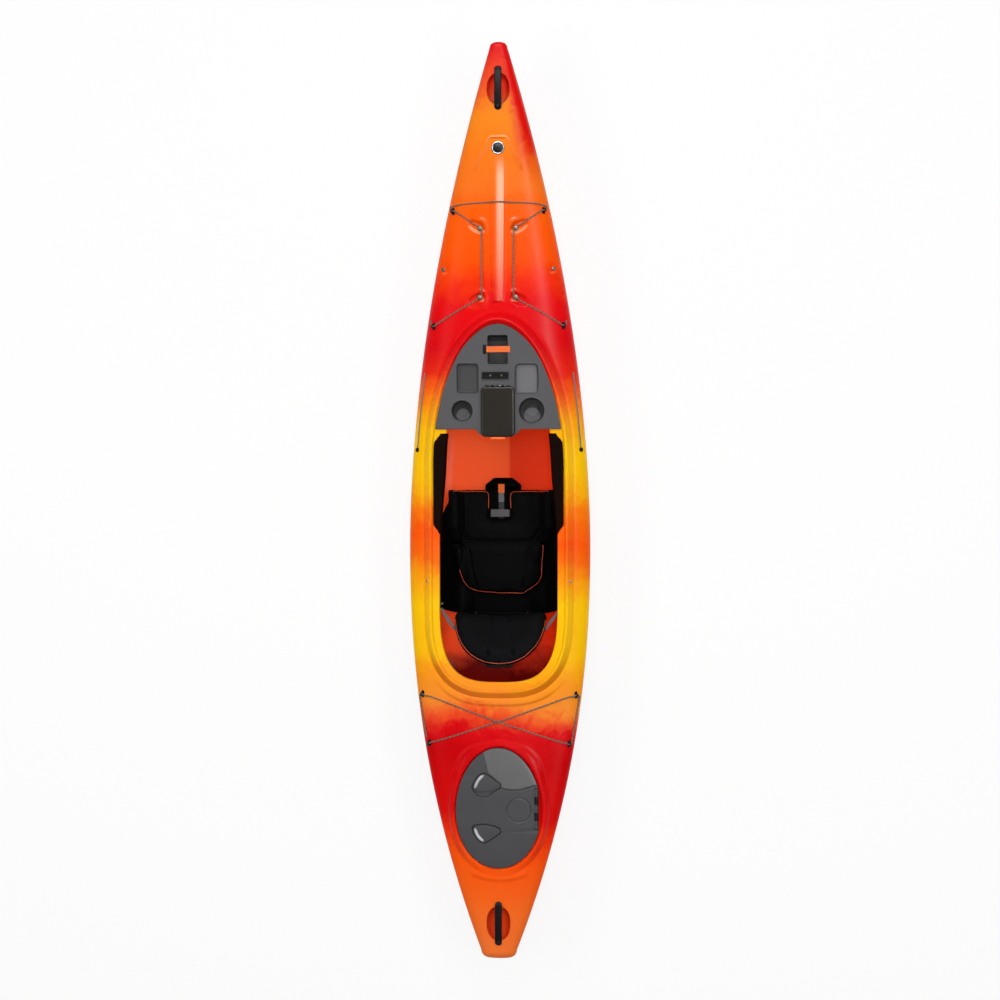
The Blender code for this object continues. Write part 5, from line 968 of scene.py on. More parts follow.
console_plastic = moulded("etched grey ABS", "515052", 0.5, 0.0022, 0.00025, gloss=0.12)
hatch_plastic = moulded("etched dark grey ABS", "454446", 0.44, 0.0022, 0.00025, gloss=0.15)
# Painted sheen: the lid's fore part is a lighter grey than the rest, with a smoother finish.
hatch_fore = moulded("smooth grey ABS with painted sheen", "5E5D5E", 0.36, 0.003, 0.0001, gloss=0.25)
# Painted highlight: the grip's pale grey stands in for the light that its ridge catches.
hatch_grip_painted_highlight = moulded("polished grey ABS", "B4B4B8", 0.26, 0.004, 0.00005)
black_plastic = moulded("black nylon", "0C0B0D", 0.38, 0.002, 0.00012, gloss=0.12)
pan_plastic = moulded("black polyethylene sheet", "040404", 0.5, 0.003, 0.00012, gloss=0.012)
smoked_plastic = moulded("smoked polycarbonate", "221E18", 0.22, 0.005, 0.00002, gloss=0.16)
orange_plastic = moulded("orange ABS", "FF6A08", 0.4, 0.003, 0.00006)
handle_rubber = moulded("moulded rubber", "0E0C10", 0.46, 0.0016, 0.0001, gloss=0.06)
gasket_rubber = moulded("EPDM rubber", "131313", 0.8, 0.0012, 0.0002)
closed_foam = moulded("closed cell foam", "120502", 0.7, 0.003, 0.0006, 0.1, gloss=0.02)
body_foam = moulded("grey cross-linked foam", "2A2A2C", 0.92, 0.006, 0.0006, 0.1)
print("moulded finishes ready")

# %% Metal


def metal(name, colour, roughness, scratch):
    """Metal whose fine scratches, this far apart, change its roughness a little from place to place."""
    made, tree, shader = new_finish(name, colour, roughness, {"Metallic": 1.0})
    place = add(tree, "TexCoord").outputs["Object"]
    marks = add(tree, "TexNoise", {"Vector": place, "Scale": 1 / scratch, "Detail": 4.0})
    spread = add(tree, "MapRange", {"Value": marks, "To Min": roughness * 0.6, "To Max": roughness * 1.5})
    feed(tree, shader, {"Roughness": spread})
    return made


stainless = metal("polished stainless steel", "9A9A9E", 0.26, 0.002)
worn_steel = metal("worn steel", "5A544C", 0.42, 0.002)
chrome = metal("chromed ring", "7E8084", 0.2, 0.003)
anodised = metal("anodised aluminium", "8E9096", 0.38, 0.0015)
blued = metal("blackened steel", "08080A", 0.6, 0.002)

# %% Woven tapes and braided cords
WAVE = math.tau / 20  # Blender's wave texture repeats every tau / 20 at scale 1


def woven(name, colour, dark, across, along, depth):
    """Plain weave on a UV map in metres: two wave patterns at right angles, a thread spacing each, multiplied."""
    made, tree, shader = new_finish(name, colour, 0.85, {"Sheen Weight": 0.25})
    place = add(tree, "TexCoord").outputs["UV"]
    warp = add(tree, "TexWave", {"Vector": place, "Scale": WAVE / across}, bands_direction="X")
    weft = add(tree, "TexWave", {"Vector": place, "Scale": WAVE / along}, bands_direction="Y")
    weave = add(tree, "Math", {0: warp.outputs["Fac"], 1: weft.outputs["Fac"]}, operation="MULTIPLY")
    shade = add(tree, "Mix", {"Factor": weave, 6: linear(dark), 7: linear(colour)}, data_type="RGBA")
    threads = add(tree, "Bump", {"Height": weave, "Distance": depth})
    feed(tree, shader, {"Base Color": shade.outputs[2], "Normal": threads})
    return made


def braided(name, colour, dark, fleck, strand):
    """Braided cover on a UV map in metres: strands cross on both diagonals, with a slower pale tracer."""
    made, tree, shader = new_finish(name, colour, 0.8)
    place = add(tree, "TexCoord").outputs["UV"]
    slants = []
    for angle, pitch in ((0.9, strand), (-0.9, strand), (0.9, strand * 6)):
        turned = add(tree, "Mapping", {"Vector": place, "Rotation": (0.0, 0.0, angle)})
        slants.append(add(tree, "TexWave", {"Vector": turned, "Scale": WAVE / pitch}).outputs["Fac"])
    strands = add(tree, "Math", {0: slants[0], 1: slants[1]}, operation="MAXIMUM")
    shade = add(tree, "Mix", {"Factor": strands, 6: linear(dark), 7: linear(colour)}, data_type="RGBA")
    tracer = add(tree, "Math", {0: slants[2], 1: 0.93}, operation="GREATER_THAN")
    both = add(tree, "Mix", {"Factor": tracer, 6: shade.outputs[2], 7: linear(fleck)}, data_type="RGBA")
    relief = add(tree, "Bump", {"Height": strands, "Distance": 0.0004})
    feed(tree, shader, {"Base Color": both.outputs[2], "Normal": relief})
    return made


webbing = woven("polyester webbing", "828286", "505054", 0.003, 0.0024, 0.0003)
dark_webbing = woven("black webbing", "0E0E10", "060606", 0.003, 0.0024, 0.0003)
orange_webbing = woven("orange elastic webbing", "FF7C08", "E05C00", 0.003, 0.0024, 0.0003)
bungee_cover = braided("braided polyester cord", "6A5A48", "352C24", "8A7A66", 0.0024)
piping_cover = braided("orange piping cord", "E8561A", "A83808", "F07030", 0.0018)
print("metal and woven finishes ready")

# %% [markdown]
# ## Three more shapes
#
# A tube follows a path. A slab is an outline carried through a few heights, with a little taken off at its
# edges, which is what a mould maker's radius does. A strip is a flat tape that lies on a path.

# %% Tube, slab and strip
UP = (0.0, 0.0, 1.0)


def directions(path, up):
    """Unit vectors along a path, across it and off it, the last one as close to up as the path allows."""
    along = np.gradient(path, axis=0)
    along /= np.linalg.norm(along, axis=1)[:, None]
    across = np.cross(along, np.array(up, float))
    across /= np.linalg.norm(across, axis=1)[:, None]
    return along, across, np.cross(across, along)


def lengths(path):
    """Distance of each point of a path from its start, measured along it."""
    return np.concatenate([[0], np.cumsum(np.linalg.norm(np.diff(path, axis=0), axis=1))])


def tube(name, path, radius, up=UP, around=12):
    """Round tube: at each point of the path a circle, radius times cosine across it plus sine off it.

    The UV map holds the distance round and along the tube in metres. Both ends close in a low dome.
    """
    path = np.asarray(path, float)
    radius = np.broadcast_to(np.asarray(radius, float), len(path)).copy()
    along, across, off = directions(path, up)
    cap = radius[[0, -1], None] * along[[0, -1]] * 0.35
    low, high = path[:1] - cap[:1] * [[1.0], [0.8]], path[-1:] + cap[1:] * [[0.8], [1.0]]
    path = np.vstack([low, path, high])
    radius = np.concatenate([[0, radius[0] * 0.75], radius, [radius[-1] * 0.75, 0]])
    across = np.vstack([across[:1]] * 2 + [across] + [across[-1:]] * 2)
    off = np.vstack([off[:1]] * 2 + [off] + [off[-1:]] * 2)
    turn = np.linspace(0, math.tau, around + 1)[:, None]
    ring = across[:, None] * np.cos(turn) + off[:, None] * np.sin(turn)
    points = path[:, None] + ring * radius[:, None, None]
    widest = radius.max()
    uv = np.stack(np.broadcast_arrays(turn[:, 0] * widest, lengths(path)[:, None]), axis=-1)
    return surface(name, points, uv=uv)


def slab(name, outline, rows):
    """Plate: the outline moved out and set at a height for each (out, height) row, with its ends closed flat."""
    return capped(surface(name, carried(np.asarray(outline, float), rows)))


def rounded_edges(low, high, radius):
    """Rows of a slab from low to high whose upper and lower edges are quarter rounds of a radius."""
    turn = np.linspace(0, math.pi / 2, 5)
    upper = [(radius * (math.cos(t) - 1), high - radius + radius * math.sin(t)) for t in turn]
    return [(out, low + high - height) for out, height in upper[::-1]] + upper


def rounded_box(width, length, radius, centre=(0.0, 0.0), steps=8):
    """Rectangle in plan whose corners are quarter circles, anticlockwise."""
    turn = np.linspace(0, math.pi / 2, steps + 1)
    corners = []
    for k, (side, end) in enumerate([(1, 1), (-1, 1), (-1, -1), (1, -1)]):
        middle = np.array([side * (width / 2 - radius), end * (length / 2 - radius)]) + centre
        angle = turn + k * math.pi / 2
        corners.append(middle + radius * np.stack([np.cos(angle), np.sin(angle)], axis=1))
    return np.vstack(corners)


def block(name, plan, middle, heights):
    """Slab whose plan is (width, length, corner radius) and whose heights are (low, high, edge radius)."""
    return slab(name, rounded_box(*plan, middle), rounded_edges(*heights))


def rounded_outline(points, radius, count=160):
    """Closed polygon whose corners are rounded off by a moving average a radius wide."""
    fine = evenly(np.array(points, float), 900)
    spacing = np.linalg.norm(fine[1] - fine[0])
    window = max(1, int(radius / spacing))
    kernel = np.ones(2 * window + 1) / (2 * window + 1)
    wrapped = np.vstack([fine[-window:], fine, fine[:window]])
    smooth = np.stack([np.convolve(wrapped[:, k], kernel, "valid") for k in (0, 1)], axis=1)
    return evenly(smooth, count)


def strip(name, path, width, thickness, up=UP):
    """Flat tape: at each point of the path a rounded rectangle across it. Its UV map is in metres."""
    path = np.asarray(path, float)
    _, across, off = directions(path, up)
    section = rounded_box(2.0, 1.0, 0.35, steps=3) * (0.5, 1.0)
    section = np.vstack([section, section[:1]])
    sideways = np.broadcast_to(width * section[:, 0], (len(path), len(section)))
    points = path[:, None] + across[:, None] * sideways[..., None]
    points = points + off[:, None] * (section[:, 1] * thickness)[:, None]
    uv = np.stack([sideways, np.broadcast_to(lengths(path)[:, None], sideways.shape)], axis=-1)
    return capped(surface(name, points, uv=uv))


print("tube, slab and strip ready")

# %% [markdown]
# ## Deck fittings
#
# The fittings stand on a crowned deck, so each needs the deck's own axes under it. A ray cast from above finds
# the skin, and two more pairs of rays find its slope. The carry handles are moulded rubber bars with an arched
# grip; the rest are small turned or moulded pieces, made by turning a profile or rounding a slab.

# %% Axes on the deck


def tree_of(*pieces):
    """Search tree over the faces of several pieces."""
    points, faces = [], []
    for made in pieces:
        start = len(points)
        points += [vert.co.copy() for vert in made.data.vertices]
        faces += [[start + i for i in face.vertices] for face in made.data.polygons]
    return BVHTree.FromPolygons(points, faces)


deck = tree_of(outer_skin, coaming)


def deck_place(x, y):
    """Point of the deck straight below or above x, y."""
    return deck.ray_cast(Vector((x, y, 1.0)), Vector((0, 0, -1)))[0]


def deck_axes(x, y, turn=0.0, half=0.008):
    """Axes on the deck: z off it, y turned from the bow by turn degrees, origin on its highest point nearby."""
    spin = Matrix.Rotation(math.radians(turn), 3, "Z")
    arms = [spin @ Vector(arm) * half for arm in ((1, 0, 0), (-1, 0, 0), (0, 1, 0), (0, -1, 0))]
    right, left, front, rear = (deck_place(x + arm.x, y + arm.y) for arm in arms)
    up = (right - left).cross(front - rear).normalized()
    side = (spin @ Vector((0, 1, 0))).cross(up).normalized()
    axes = Matrix((side, up.cross(side), up)).transposed().to_4x4()
    centre = deck_place(x, y)
    lift = max((place - centre).dot(up) for place in (right, left, front, rear, centre))
    axes.translation = centre + up * max(lift, 0.0)
    return axes


def moved(made, matrix):
    """Places a piece by moving its mesh, so that its object stays at the origin."""
    made.data.transform(matrix)
    return made


def sides(x):
    """The port and the starboard copy of a piece, with the sign and place of each."""
    return [("port", -1, -x), ("starboard", 1, x)]


print("deck tree ready")

# %% Carry handles and badge
HANDLE_HALF = 0.0915
HANDLE_FOOT = 0.021


def handle(end):
    """Rounded rectangle carried along the bar: its half width, height and rise depend on the place along it."""
    along = np.linspace(-1, 1, 61)
    y = HANDLE_HALF * along
    run = HANDLE_HALF - HANDLE_FOOT
    arch = 0.008 * np.cos(np.pi * np.clip(y / run, -1, 1) / 2)
    tip = np.sqrt(1 - np.clip((np.abs(y) - HANDLE_HALF + 0.0145) / 0.0145, 0, 1) ** 2)
    width = 0.0145 * (0.12 + 0.88 * tip)
    tall = (0.0035 + 0.0085 * ease((HANDLE_HALF - np.abs(y)) / 0.02)) * (0.4 + 0.6 * tip)
    section = rounded_box(2.0, 1.0, 0.3, steps=5) + (0.0, 0.5)
    section = np.vstack([section, section[:1]])
    x = width[:, None] * section[:, 0]
    z = arch[:, None] + tall[:, None] * section[:, 1]
    points = np.stack([x, np.broadcast_to(y[:, None], x.shape), z], axis=-1)
    return moved(fanned(end + "_handle", points), deck_axes(0.0, HANDLE_Y[end], half=HANDLE_HALF - 0.004))


for end in HANDLE_Y:
    dress(handle(end), handle_rubber, "handle_rubber", "hull", end + "_handle", sharp=60.0)
    for k, sign in enumerate((-1, 1)):
        head = [(0.0062, 0.0), (0.006, 0.001), (0.0046, 0.0022), (0.002, 0.0024), (0.0016, 0.0012), (0.0, 0.0012)]
        bolt = lathe(f"{end}_handle_bolt_{k}", head, 20, (0, sign * (HANDLE_HALF - 0.014), 0.0118))
        moved(bolt, deck_axes(0.0, HANDLE_Y[end], half=HANDLE_HALF - 0.004))
        dress(bolt, black_plastic, "handle_rubber", "hull", end + "_handle")

BADGE_Y = 1.46
disc = lathe("badge_disc", [(0.0, 0.003), (0.0215, 0.0027), (0.0222, 0.0022), (0.0222, 0.0)], 64)
ring = [(0.022, 0.0), (0.022, 0.0034), (0.0236, 0.004), (0.0258, 0.0034), (0.027, 0.0016), (0.027, 0.0)]
ring = lathe("badge_ring", ring, 64)
for made, finish in ((disc, black_plastic), (ring, chrome)):
    dress(moved(made, deck_axes(0.0, BADGE_Y, half=0.024)), finish, "black_plastic", "hull", "deck_badge")
print("handles and badge made")

# %% Pad eyes, cord hooks, buttons and screws
EYES = {"bow_eye_fore": (0.187, 1.205), "bow_eye_aft": (0.268, 0.728)}
EYES |= {"rear_eye_fore": (0.32, -0.806), "rear_eye_aft": (0.291, -1.01)}
HOOK_PLACES = {"cord_hook_fore": (0.074, 1.129), "cord_hook_aft": (0.074, 0.843)}
cord_axes = {}


def pad_eye(name):
    """Rounded base, a round bail that stands on it and two rivet heads."""
    base = block("base", (0.03, 0.014, 0.0065), (0.0, 0.0), (0.0, 0.003, 0.0012))
    turn = np.linspace(math.pi, 0, 17)
    x, z = 0.008 * np.cos(turn), 0.004 + 0.013 * np.sin(turn)
    x, z = np.concatenate([[-0.008], x, [0.008]]), np.concatenate([[0.001], z, [0.001]])
    bail = tube("bail", np.stack([x, 0 * x, z], axis=1), 0.0025, up=(0, 1, 0))
    head = [(0.0024, 0.0028), (0.002, 0.0038), (0.0, 0.0042)]
    rivets = [lathe("rivet", head, 12, (x, 0, 0)) for x in (-0.0118, 0.0118)]
    return join_meshes(name, [base, bail, *rivets])


def hook(name):
    """Turned post on a flange, with a domed head."""
    dome = [(0.0104 * math.cos(t), 0.0111 + 0.0056 * math.sin(t)) for t in np.linspace(0, math.pi / 2, 9)]
    profile = [(0.0, 0.0), (0.0108, 0.0), (0.011, 0.0008), (0.01, 0.0014), (0.0042, 0.0018), (0.0038, 0.003)]
    return lathe(name, profile + [(0.0038, 0.0098), (0.005, 0.0105), (0.01, 0.0106)] + dome, 40)


for name, (x, y) in EYES.items():
    for side, sign, px in sides(x):
        node = side + "_" + name
        cord_axes[node] = deck_axes(px, y, -90 * sign, 0.012)
        dress(moved(pad_eye(node + "_eye"), cord_axes[node]), black_plastic, "black_plastic", "hull", node)
for name, (x, y) in HOOK_PLACES.items():
    for side, sign, px in sides(x):
        node = side + "_" + name
        cord_axes[node] = deck_axes(px, y, -90 * sign, 0.01)
        dress(moved(hook(node + "_hook"), cord_axes[node]), worn_steel, "steel", "hull", node, sharp=50.0)

BUTTON = [(0.0, 0.0), (0.01, 0.0), (0.01, 0.0012), (0.009, 0.0034), (0.0066, 0.0048), (0.0048, 0.0047)]
BUTTON += [(0.004, 0.003), (0.0, 0.0026)]
SCREW = [(0.0, 0.0), (0.0065, 0.0), (0.0062, 0.0012), (0.0046, 0.0024), (0.0026, 0.0029)]
SCREW += [(0.0022, 0.0014), (0.0, 0.0014)]
SMALL = [("deck_button", *BUTTON_PLACE, BUTTON, worn_steel, "steel")]
SMALL += [("keeper_button", 0.342, 0.216, BUTTON, black_plastic, "black_plastic")]
SMALL += [("coaming_screw", 0.299, -0.331, SCREW, chrome, "steel")]
for name, x, y, profile, finish, slot in SMALL:
    for side, sign, px in sides(x):
        made = moved(lathe(f"{side}_{name}_head", profile, 32), deck_axes(px, y))
        dress(made, finish, slot, "hull", side + "_" + name)
print(len(EYES) * 2, "eyes,", len(HOOK_PLACES) * 2, "hooks and", len(SMALL) * 2, "small fittings")

# %% [markdown]
# ## Deck cords and keeper straps
#
# The bungees are stretched between fittings and held against the deck, so they are no loose cords: each is one
# round cord on a fixed route. A route names some points at fittings and some on the deck. A smooth curve goes
# through them, and every point that would sink into the deck is lifted on to it.

# %% Bungees
CORD_RADIUS = 0.003
CORD_STEP = 0.006


def smooth_route(places, spacing):
    """Cubic curve through its points: half of 2b + (c - a)t + (2a - 5b + 4c - d)t^2 + (3b - a - 3c + d)t^3."""
    places = np.vstack([2 * places[0] - places[1], places, 2 * places[-1] - places[-2]])
    made = []
    for a, b, c, d in zip(places, places[1:], places[2:], places[3:]):
        t = np.arange(max(1, round(np.linalg.norm(c - b) / spacing)))[:, None]
        t = t / len(t)
        curve = 2 * b + (c - a) * t + (2 * a - 5 * b + 4 * c - d) * t**2 + (3 * b - a - 3 * c + d) * t**3
        made.append(0.5 * curve)
    return np.vstack([*made, places[-2:-1]])


def laid_cord(name, route):
    """Cord through a route of deck points (x, y, lift) and fitting points (name, ahead, out, up)."""
    places = []
    for stop in route:
        if isinstance(stop[0], str):
            ahead = stop[1] if stop[0].startswith("port") else -stop[1]
            places.append(cord_axes[stop[0]] @ Vector((ahead, stop[2], stop[3])))
        else:
            places.append(deck_place(stop[0], stop[1]) + Vector((0, 0, CORD_RADIUS + 0.0004 + stop[2])))
    path = smooth_route(np.array(places), CORD_STEP)
    floor = np.array([deck_place(x, y).z for x, y, _ in path]) + CORD_RADIUS
    path[:, 2] = np.maximum(path[:, 2], floor)
    made = tube(name, path, CORD_RADIUS, around=10)
    print(name, "is", round(float(np.linalg.norm(np.diff(path, axis=0), axis=1).sum()), 3), "m long")
    return dress(made, bungee_cover, "bungee", "hull", name.replace("_cord", ""))


def round_hook(name, turns):
    """Part of a circle round a hook's post, at angles in degrees from its inboard side towards the bow."""
    angles = [math.radians(t) for t in turns]
    return [(name, 0.0078 * math.sin(t), -0.0078 * math.cos(t), 0.0062) for t in angles]


def bow_half(side, sign):
    """Half of the bow cord, from its aft eye round two hooks and through its fore eye to the middle."""
    aft, fore, hook = side + "_bow_eye_aft", side + "_bow_eye_fore", side + "_cord_hook_"
    route = [(aft, 0.024, 0.013, 0.0055), (aft, 0.012, 0.0125, 0.0062), (aft, 0.003, 0.008, 0.0078)]
    route += [(aft, 0.0, 0.0, 0.0082), (aft, 0.003, -0.011, 0.0068)]
    route += [(sign * 0.24, 0.746, 0.0), (sign * 0.095, 0.828, 0.0012)]
    route += round_hook(hook + "aft", (-56, -28, 0)) + [(sign * 0.066, 0.873, 0.0), (sign * 0.066, 1.099, 0.0)]
    route += round_hook(hook + "fore", (0, 28, 56))
    route += [(sign * 0.095, 1.144, 0.0012), (sign * 0.165, 1.193, 0.001)]
    route += [(fore, -0.001, -0.0075, 0.0077), (fore, 0.001, 0.001, 0.0082), (fore, 0.003, 0.0085, 0.0078)]
    route += [(fore, 0.011, 0.0125, 0.0068), (fore, 0.02, 0.01, 0.0062)]
    return route + [(sign * 0.183, 1.228, 0.0), (sign * 0.15, 1.231, 0.0), (sign * 0.06, 1.234, 0.0)]


EYE_TURN = [(0.018, 0.013, 0.006), (0.006, 0.0125, 0.0068), (-0.0005, 0.0075, 0.0078)]
EYE_TURN += [(-0.0005, 0.0, 0.0082), (0.001, -0.007, 0.0077), (0.006, -0.017, 0.006)]


def eye_turn(name, way):
    """From the side deck inwards through a rear eye. The cord comes from ahead of it (way 1) or behind it."""
    return [(name, way * ahead, out, up) for ahead, out, up in EYE_TURN]


laid_cord("bow_bungee_cord", bow_half("port", -1) + [(0.0, 1.235, 0.0)] + bow_half("starboard", 1)[::-1])
route = [("port_rear_eye_aft", -0.016, 0.012, 0.006), ("port_rear_eye_aft", -0.006, 0.01, 0.007)]
route += eye_turn("port_rear_eye_aft", 1)[3:] + [(-0.24, -0.9945, 0.0), (-0.07, -0.938, 0.0), (0.0, -0.915, 0.0)]
route += [(0.07, -0.892, 0.0), (0.27, -0.8205, 0.0)] + eye_turn("starboard_rear_eye_fore", -1)[::-1]
route += [(0.3215, -0.894, 0.0)] + eye_turn("starboard_rear_eye_aft", 1)
route += [(0.24, -0.9945, 0.0), (0.07, -0.938, 0.001), (0.022, -0.9222, 0.0074), (0.0, -0.915, 0.0078)]
route += [(-0.022, -0.9078, 0.0074), (-0.07, -0.892, 0.001), (-0.27, -0.8205, 0.0)]
route += eye_turn("port_rear_eye_fore", -1)[::-1]
route += [(-0.3215, -0.894, 0.0), ("port_rear_eye_aft", 0.024, 0.013, 0.006)]
laid_cord("rear_bungee_cord", route)
print("two bungees laid")

# %% Keeper straps
for side, sign, _ in sides(0.0):
    y = np.linspace(0.2265, 0.5362, 60)
    inward = half_breadth(0.216) - 0.342
    path = np.array([deck_place(sign * (half_breadth(v) - inward), v) for v in y]) + (0, 0, 0.0018)
    lean = deck_axes(sign * 0.342, 0.35).col[2].to_3d()
    made = strip(side + "_keeper_tape", path, 0.01, 0.0024, up=tuple(lean))
    dress(made, webbing, "webbing", "hull", side + "_keeper_strap")
print("keeper straps laid")

# %% [markdown]
# ## Rear hatch
#
# The lid is a crowned egg of dark grey plastic. Its face is moulded in levels: a fore part that stands a little
# higher, a band across the middle that ends at the hinge, a plain ring, and two wells for the latch levers. All
# of that is one height function over the egg, so the lid is a table of rings from its middle to its edge. Most
# of the fore part is a smoother grey painted lighter as a sheen. The levers are fans with a polished crescent to
# grip, painted pale grey as a highlight.

# %% Lid of the rear hatch
LEVER_FAN = [(0.008, 0.088), (0.008, 0.101), (-0.02, 0.12), (-0.054, 0.142), (-0.066, 0.142), (-0.084, 0.13)]
LEVER_FAN += [(-0.099, 0.108), (-0.107, 0.083), (-0.102, 0.074), (-0.062, 0.068), (-0.018, 0.074)]
HINGE_X, HINGE_Z = 0.158, 0.313
KNUCKLE_PITCH, KNUCKLE_HALF, KNUCKLE_RADIUS = 0.033, 0.0162, 0.0052
RING_PLACE, RING_RADIUS = (0.085, HATCH_Y - 0.006), 0.05


def lever_outline(sign, out=0.0):
    """Plan of a latch lever, made larger by a distance."""
    fan = [(x, HATCH_Y + sign * y) for x, y in (LEVER_FAN if sign > 0 else LEVER_FAN[::-1])]
    outline = rounded_outline(fan, 0.004)
    return outline + normals_of(outline) * out


def dish_distance(x, y):
    """Signed distance from the round dish about the fore lever, whose ends meet the step across the lid."""
    return np.hypot(x + 0.061, y - HATCH_Y - 0.099) - 0.053


def step_ahead(x):
    """How far ahead of the hatch's middle the step across the lid lies."""
    return 0.086 - 0.008 * ease(x / 0.06) + 0.018 * ease((x - 0.075) / 0.09)


def lid_face(x, y, share):
    """Height of the lid's face: the crown, the fore level and its step, the band, the ring and the two wells."""
    ahead = y - HATCH_Y
    height = HATCH_Z + 0.01 + 0.0105 * (1 - share**2.4) ** 0.6 + 0 * x
    step = step_ahead(x)
    height += 0.003 * ease((ahead - step) / 0.0045) * ease((x + 0.02) / 0.02)
    height -= 0.0042 * ease(1 - np.abs(ahead - step + 0.001) / 0.0048) * ease((x + 0.01) / 0.01)
    height -= 0.0022 * ease((-0.094 - ahead + 0.1 * np.abs(x)) / 0.004) * 0.5
    band = ease((x - 0.03) / 0.05) * ease((ahead + 0.1) / 0.003) * (1 - ease((ahead - step) / 0.004))
    height -= 0.0012 * band
    ring = np.hypot(x - RING_PLACE[0], y - RING_PLACE[1])
    height -= 0.003 * ease(1 - np.abs(ring - RING_RADIUS) / 0.004)
    dish = dish_distance(x, y)
    low_side = ease((0.128 - ahead + 0.3 * (x + 0.061)) / 0.06)
    height -= 0.013 * ease(-dish / 0.0045) * low_side
    bead = np.hypot(x - 0.005, ahead - 0.204)
    height += 0.002 * ease(1 - bead / 0.006)
    for sign in (1, -1):
        distance, _ = distance_to(lever_outline(sign, 0.0038), x, y)
        well = ease(-distance / 0.0038 + 0.5)
        height = height * (1 - well) + WELL_FLOOR_Z * well
    return height


outline = hatch_outline(500) - normals_of(hatch_outline(500)) * 0.0005
outline[:, 0] = np.minimum(outline[:, 0], 0.1675)
share = np.concatenate([np.linspace(0, 0.93, 156), np.linspace(0.94, 0.992, 10)])[:, None]
x, y = outline[:, 0] * share, HATCH_Y + (outline[:, 1] - HATCH_Y) * share
notch = ease((x - 0.149) / 0.0015) * ease((0.0865 - np.abs(y - HATCH_Y)) / 0.0015)
z = lid_face(x, y, share) * (1 - notch) + 0.304 * notch
face = np.stack([x, y, z], axis=-1)
rows = [(0.996, 0.3094), (1.0, 0.3078), (1.0, 0.2972), (0.985, 0.2972)]
rows += [(0.97, 0.301), (0.75, 0.3012), (0.0, 0.3012)]
middle = np.array([0.0, HATCH_Y])
edge = [np.column_stack([middle + (outline - middle) * s, np.full(len(outline), h)]) for s, h in rows]
lid = surface("hatch_cover", closed(np.concatenate([face, np.array(edge)])))
print("lid with", len(lid.data.polygons), "faces")

# %% Hinge knuckles, latch levers and gasket


def barrel(name, radius, low, high):
    """Knuckle or pin of the hatch's hinge, along the boat, with softened ends."""
    rows = [(0.0, low), (radius - 0.0008, low), (radius, low + 0.0008), (radius, high - 0.0008)]
    made = lathe(name, rows + [(radius - 0.0008, high), (0.0, high)], 28)
    return moved(made, Matrix.Translation((HINGE_X, HATCH_Y, HINGE_Z)) @ Matrix.Rotation(-math.pi / 2, 4, "X"))


def knuckle(k):
    """Knuckle of the hatch's hinge, k places ahead of its middle."""
    middle = k * KNUCKLE_PITCH
    return barrel("knuckle", KNUCKLE_RADIUS, middle - KNUCKLE_HALF, middle + KNUCKLE_HALF)


pieces = [lid]
for k in (-2, 0, 2):
    pieces.append(knuckle(k))
    middle = (0.1515, HATCH_Y + k * KNUCKLE_PITCH)
    pieces.append(block("web", (0.012, 0.0324, 0.002), middle, (HINGE_Z - 0.0025, HINGE_Z + 0.0025, 0.0008)))
lid = join_meshes("hatch_cover", pieces)
dress(lid, hatch_plastic, "hatch_plastic", "hatch_lid", "hatch_lid")
centres = np.zeros(3 * len(lid.data.polygons))
lid.data.polygons.foreach_get("center", centres)
x, y, z = centres.reshape(-1, 3).T
# Painted sheen: fore-level faces right of a slanting line past the dish take the lighter grey.
beside = (x > -0.062 + 0.25 * (HATCH_Y + 0.235 - y)) & (dish_distance(x, y) > 0)
fore = (y > HATCH_Y + step_ahead(x)) & (z > 0.308) & beside
lid.data.materials.append(hatch_fore)
lid.data.polygons.foreach_set("material_index", fore.astype(np.int32))

leaf = [block("plate", (0.0063, 0.164, 0.001), (0.16365, HATCH_Y), (0.2964, 0.2985, 0.0005))]
for k in (-1, 1):
    middle = (0.16315, HATCH_Y + k * KNUCKLE_PITCH)
    leaf += [knuckle(k), block("web", (0.0053, 0.0324, 0.001), middle, (0.2975, 0.314, 0.0008))]
dress(join_meshes("hinge_leaf", leaf), black_plastic, "black_plastic", "hull", "hatch_hinge_leaf")
dress(barrel("hinge_rod", 0.0025, -0.0825, 0.0825), stainless, "steel", "hull", "hatch_hinge_pin")


def crescent(name, sign):
    """Grip of a lever: a half-round ridge on an arc beside its outer edge, thin at both ends."""
    outer = np.array([(-0.066, 0.1385), (-0.081, 0.127), (-0.0945, 0.108), (-0.103, 0.085)])
    middle = smooth_route(np.column_stack([outer, 0 * outer[:, 0]]), 0.0012)
    middle[:, 0] += 0.0055
    middle[:, 1] = HATCH_Y + sign * (middle[:, 1] - 0.002)
    middle[:, 2] = 0.3142
    run = np.linspace(0, 1, len(middle))
    half = 0.0062 * np.sqrt(np.clip(1 - (2 * run - 1) ** 4, 0, 1)) + 0.0004
    _, across, off = directions(middle, UP)
    t = np.linspace(0, np.pi, 13)
    ring = across[:, None] * np.cos(t)[:, None] * half[:, None, None]
    ring = ring + off[:, None] * (np.sin(t)[:, None] * np.minimum(half * 0.9, 0.0052)[:, None, None])
    points = middle[:, None] + ring
    floor = np.stack([points[:, -1], points[:, 0]], axis=1) - (0, 0, 0.001)
    points = np.concatenate([points, floor, points[:, :1]], axis=1)
    return fanned(name, points)


for name, sign in (("hatch_latch_fore", 1), ("hatch_latch_aft", -1)):
    plate = slab(name + "_lever", lever_outline(sign), rounded_edges(0.3093, 0.3143, 0.0014))
    dress(plate, hatch_plastic, "hatch_plastic", name, name)
    dress(crescent(name + "_grip", sign), hatch_grip_painted_highlight, "hatch_plastic", name, name, sharp=70.0)


def gasket_profile(outline, normals):
    """Flattened D of rubber, as rows of (out, height)."""
    rows = [(-0.0205, 0.2963), (-0.02, 0.2975), (-0.0205, 0.299), (-0.0218, 0.3), (-0.023, 0.3003)]
    return rows + [(-0.0242, 0.3), (-0.0255, 0.299), (-0.026, 0.2975), (-0.0255, 0.2963)]


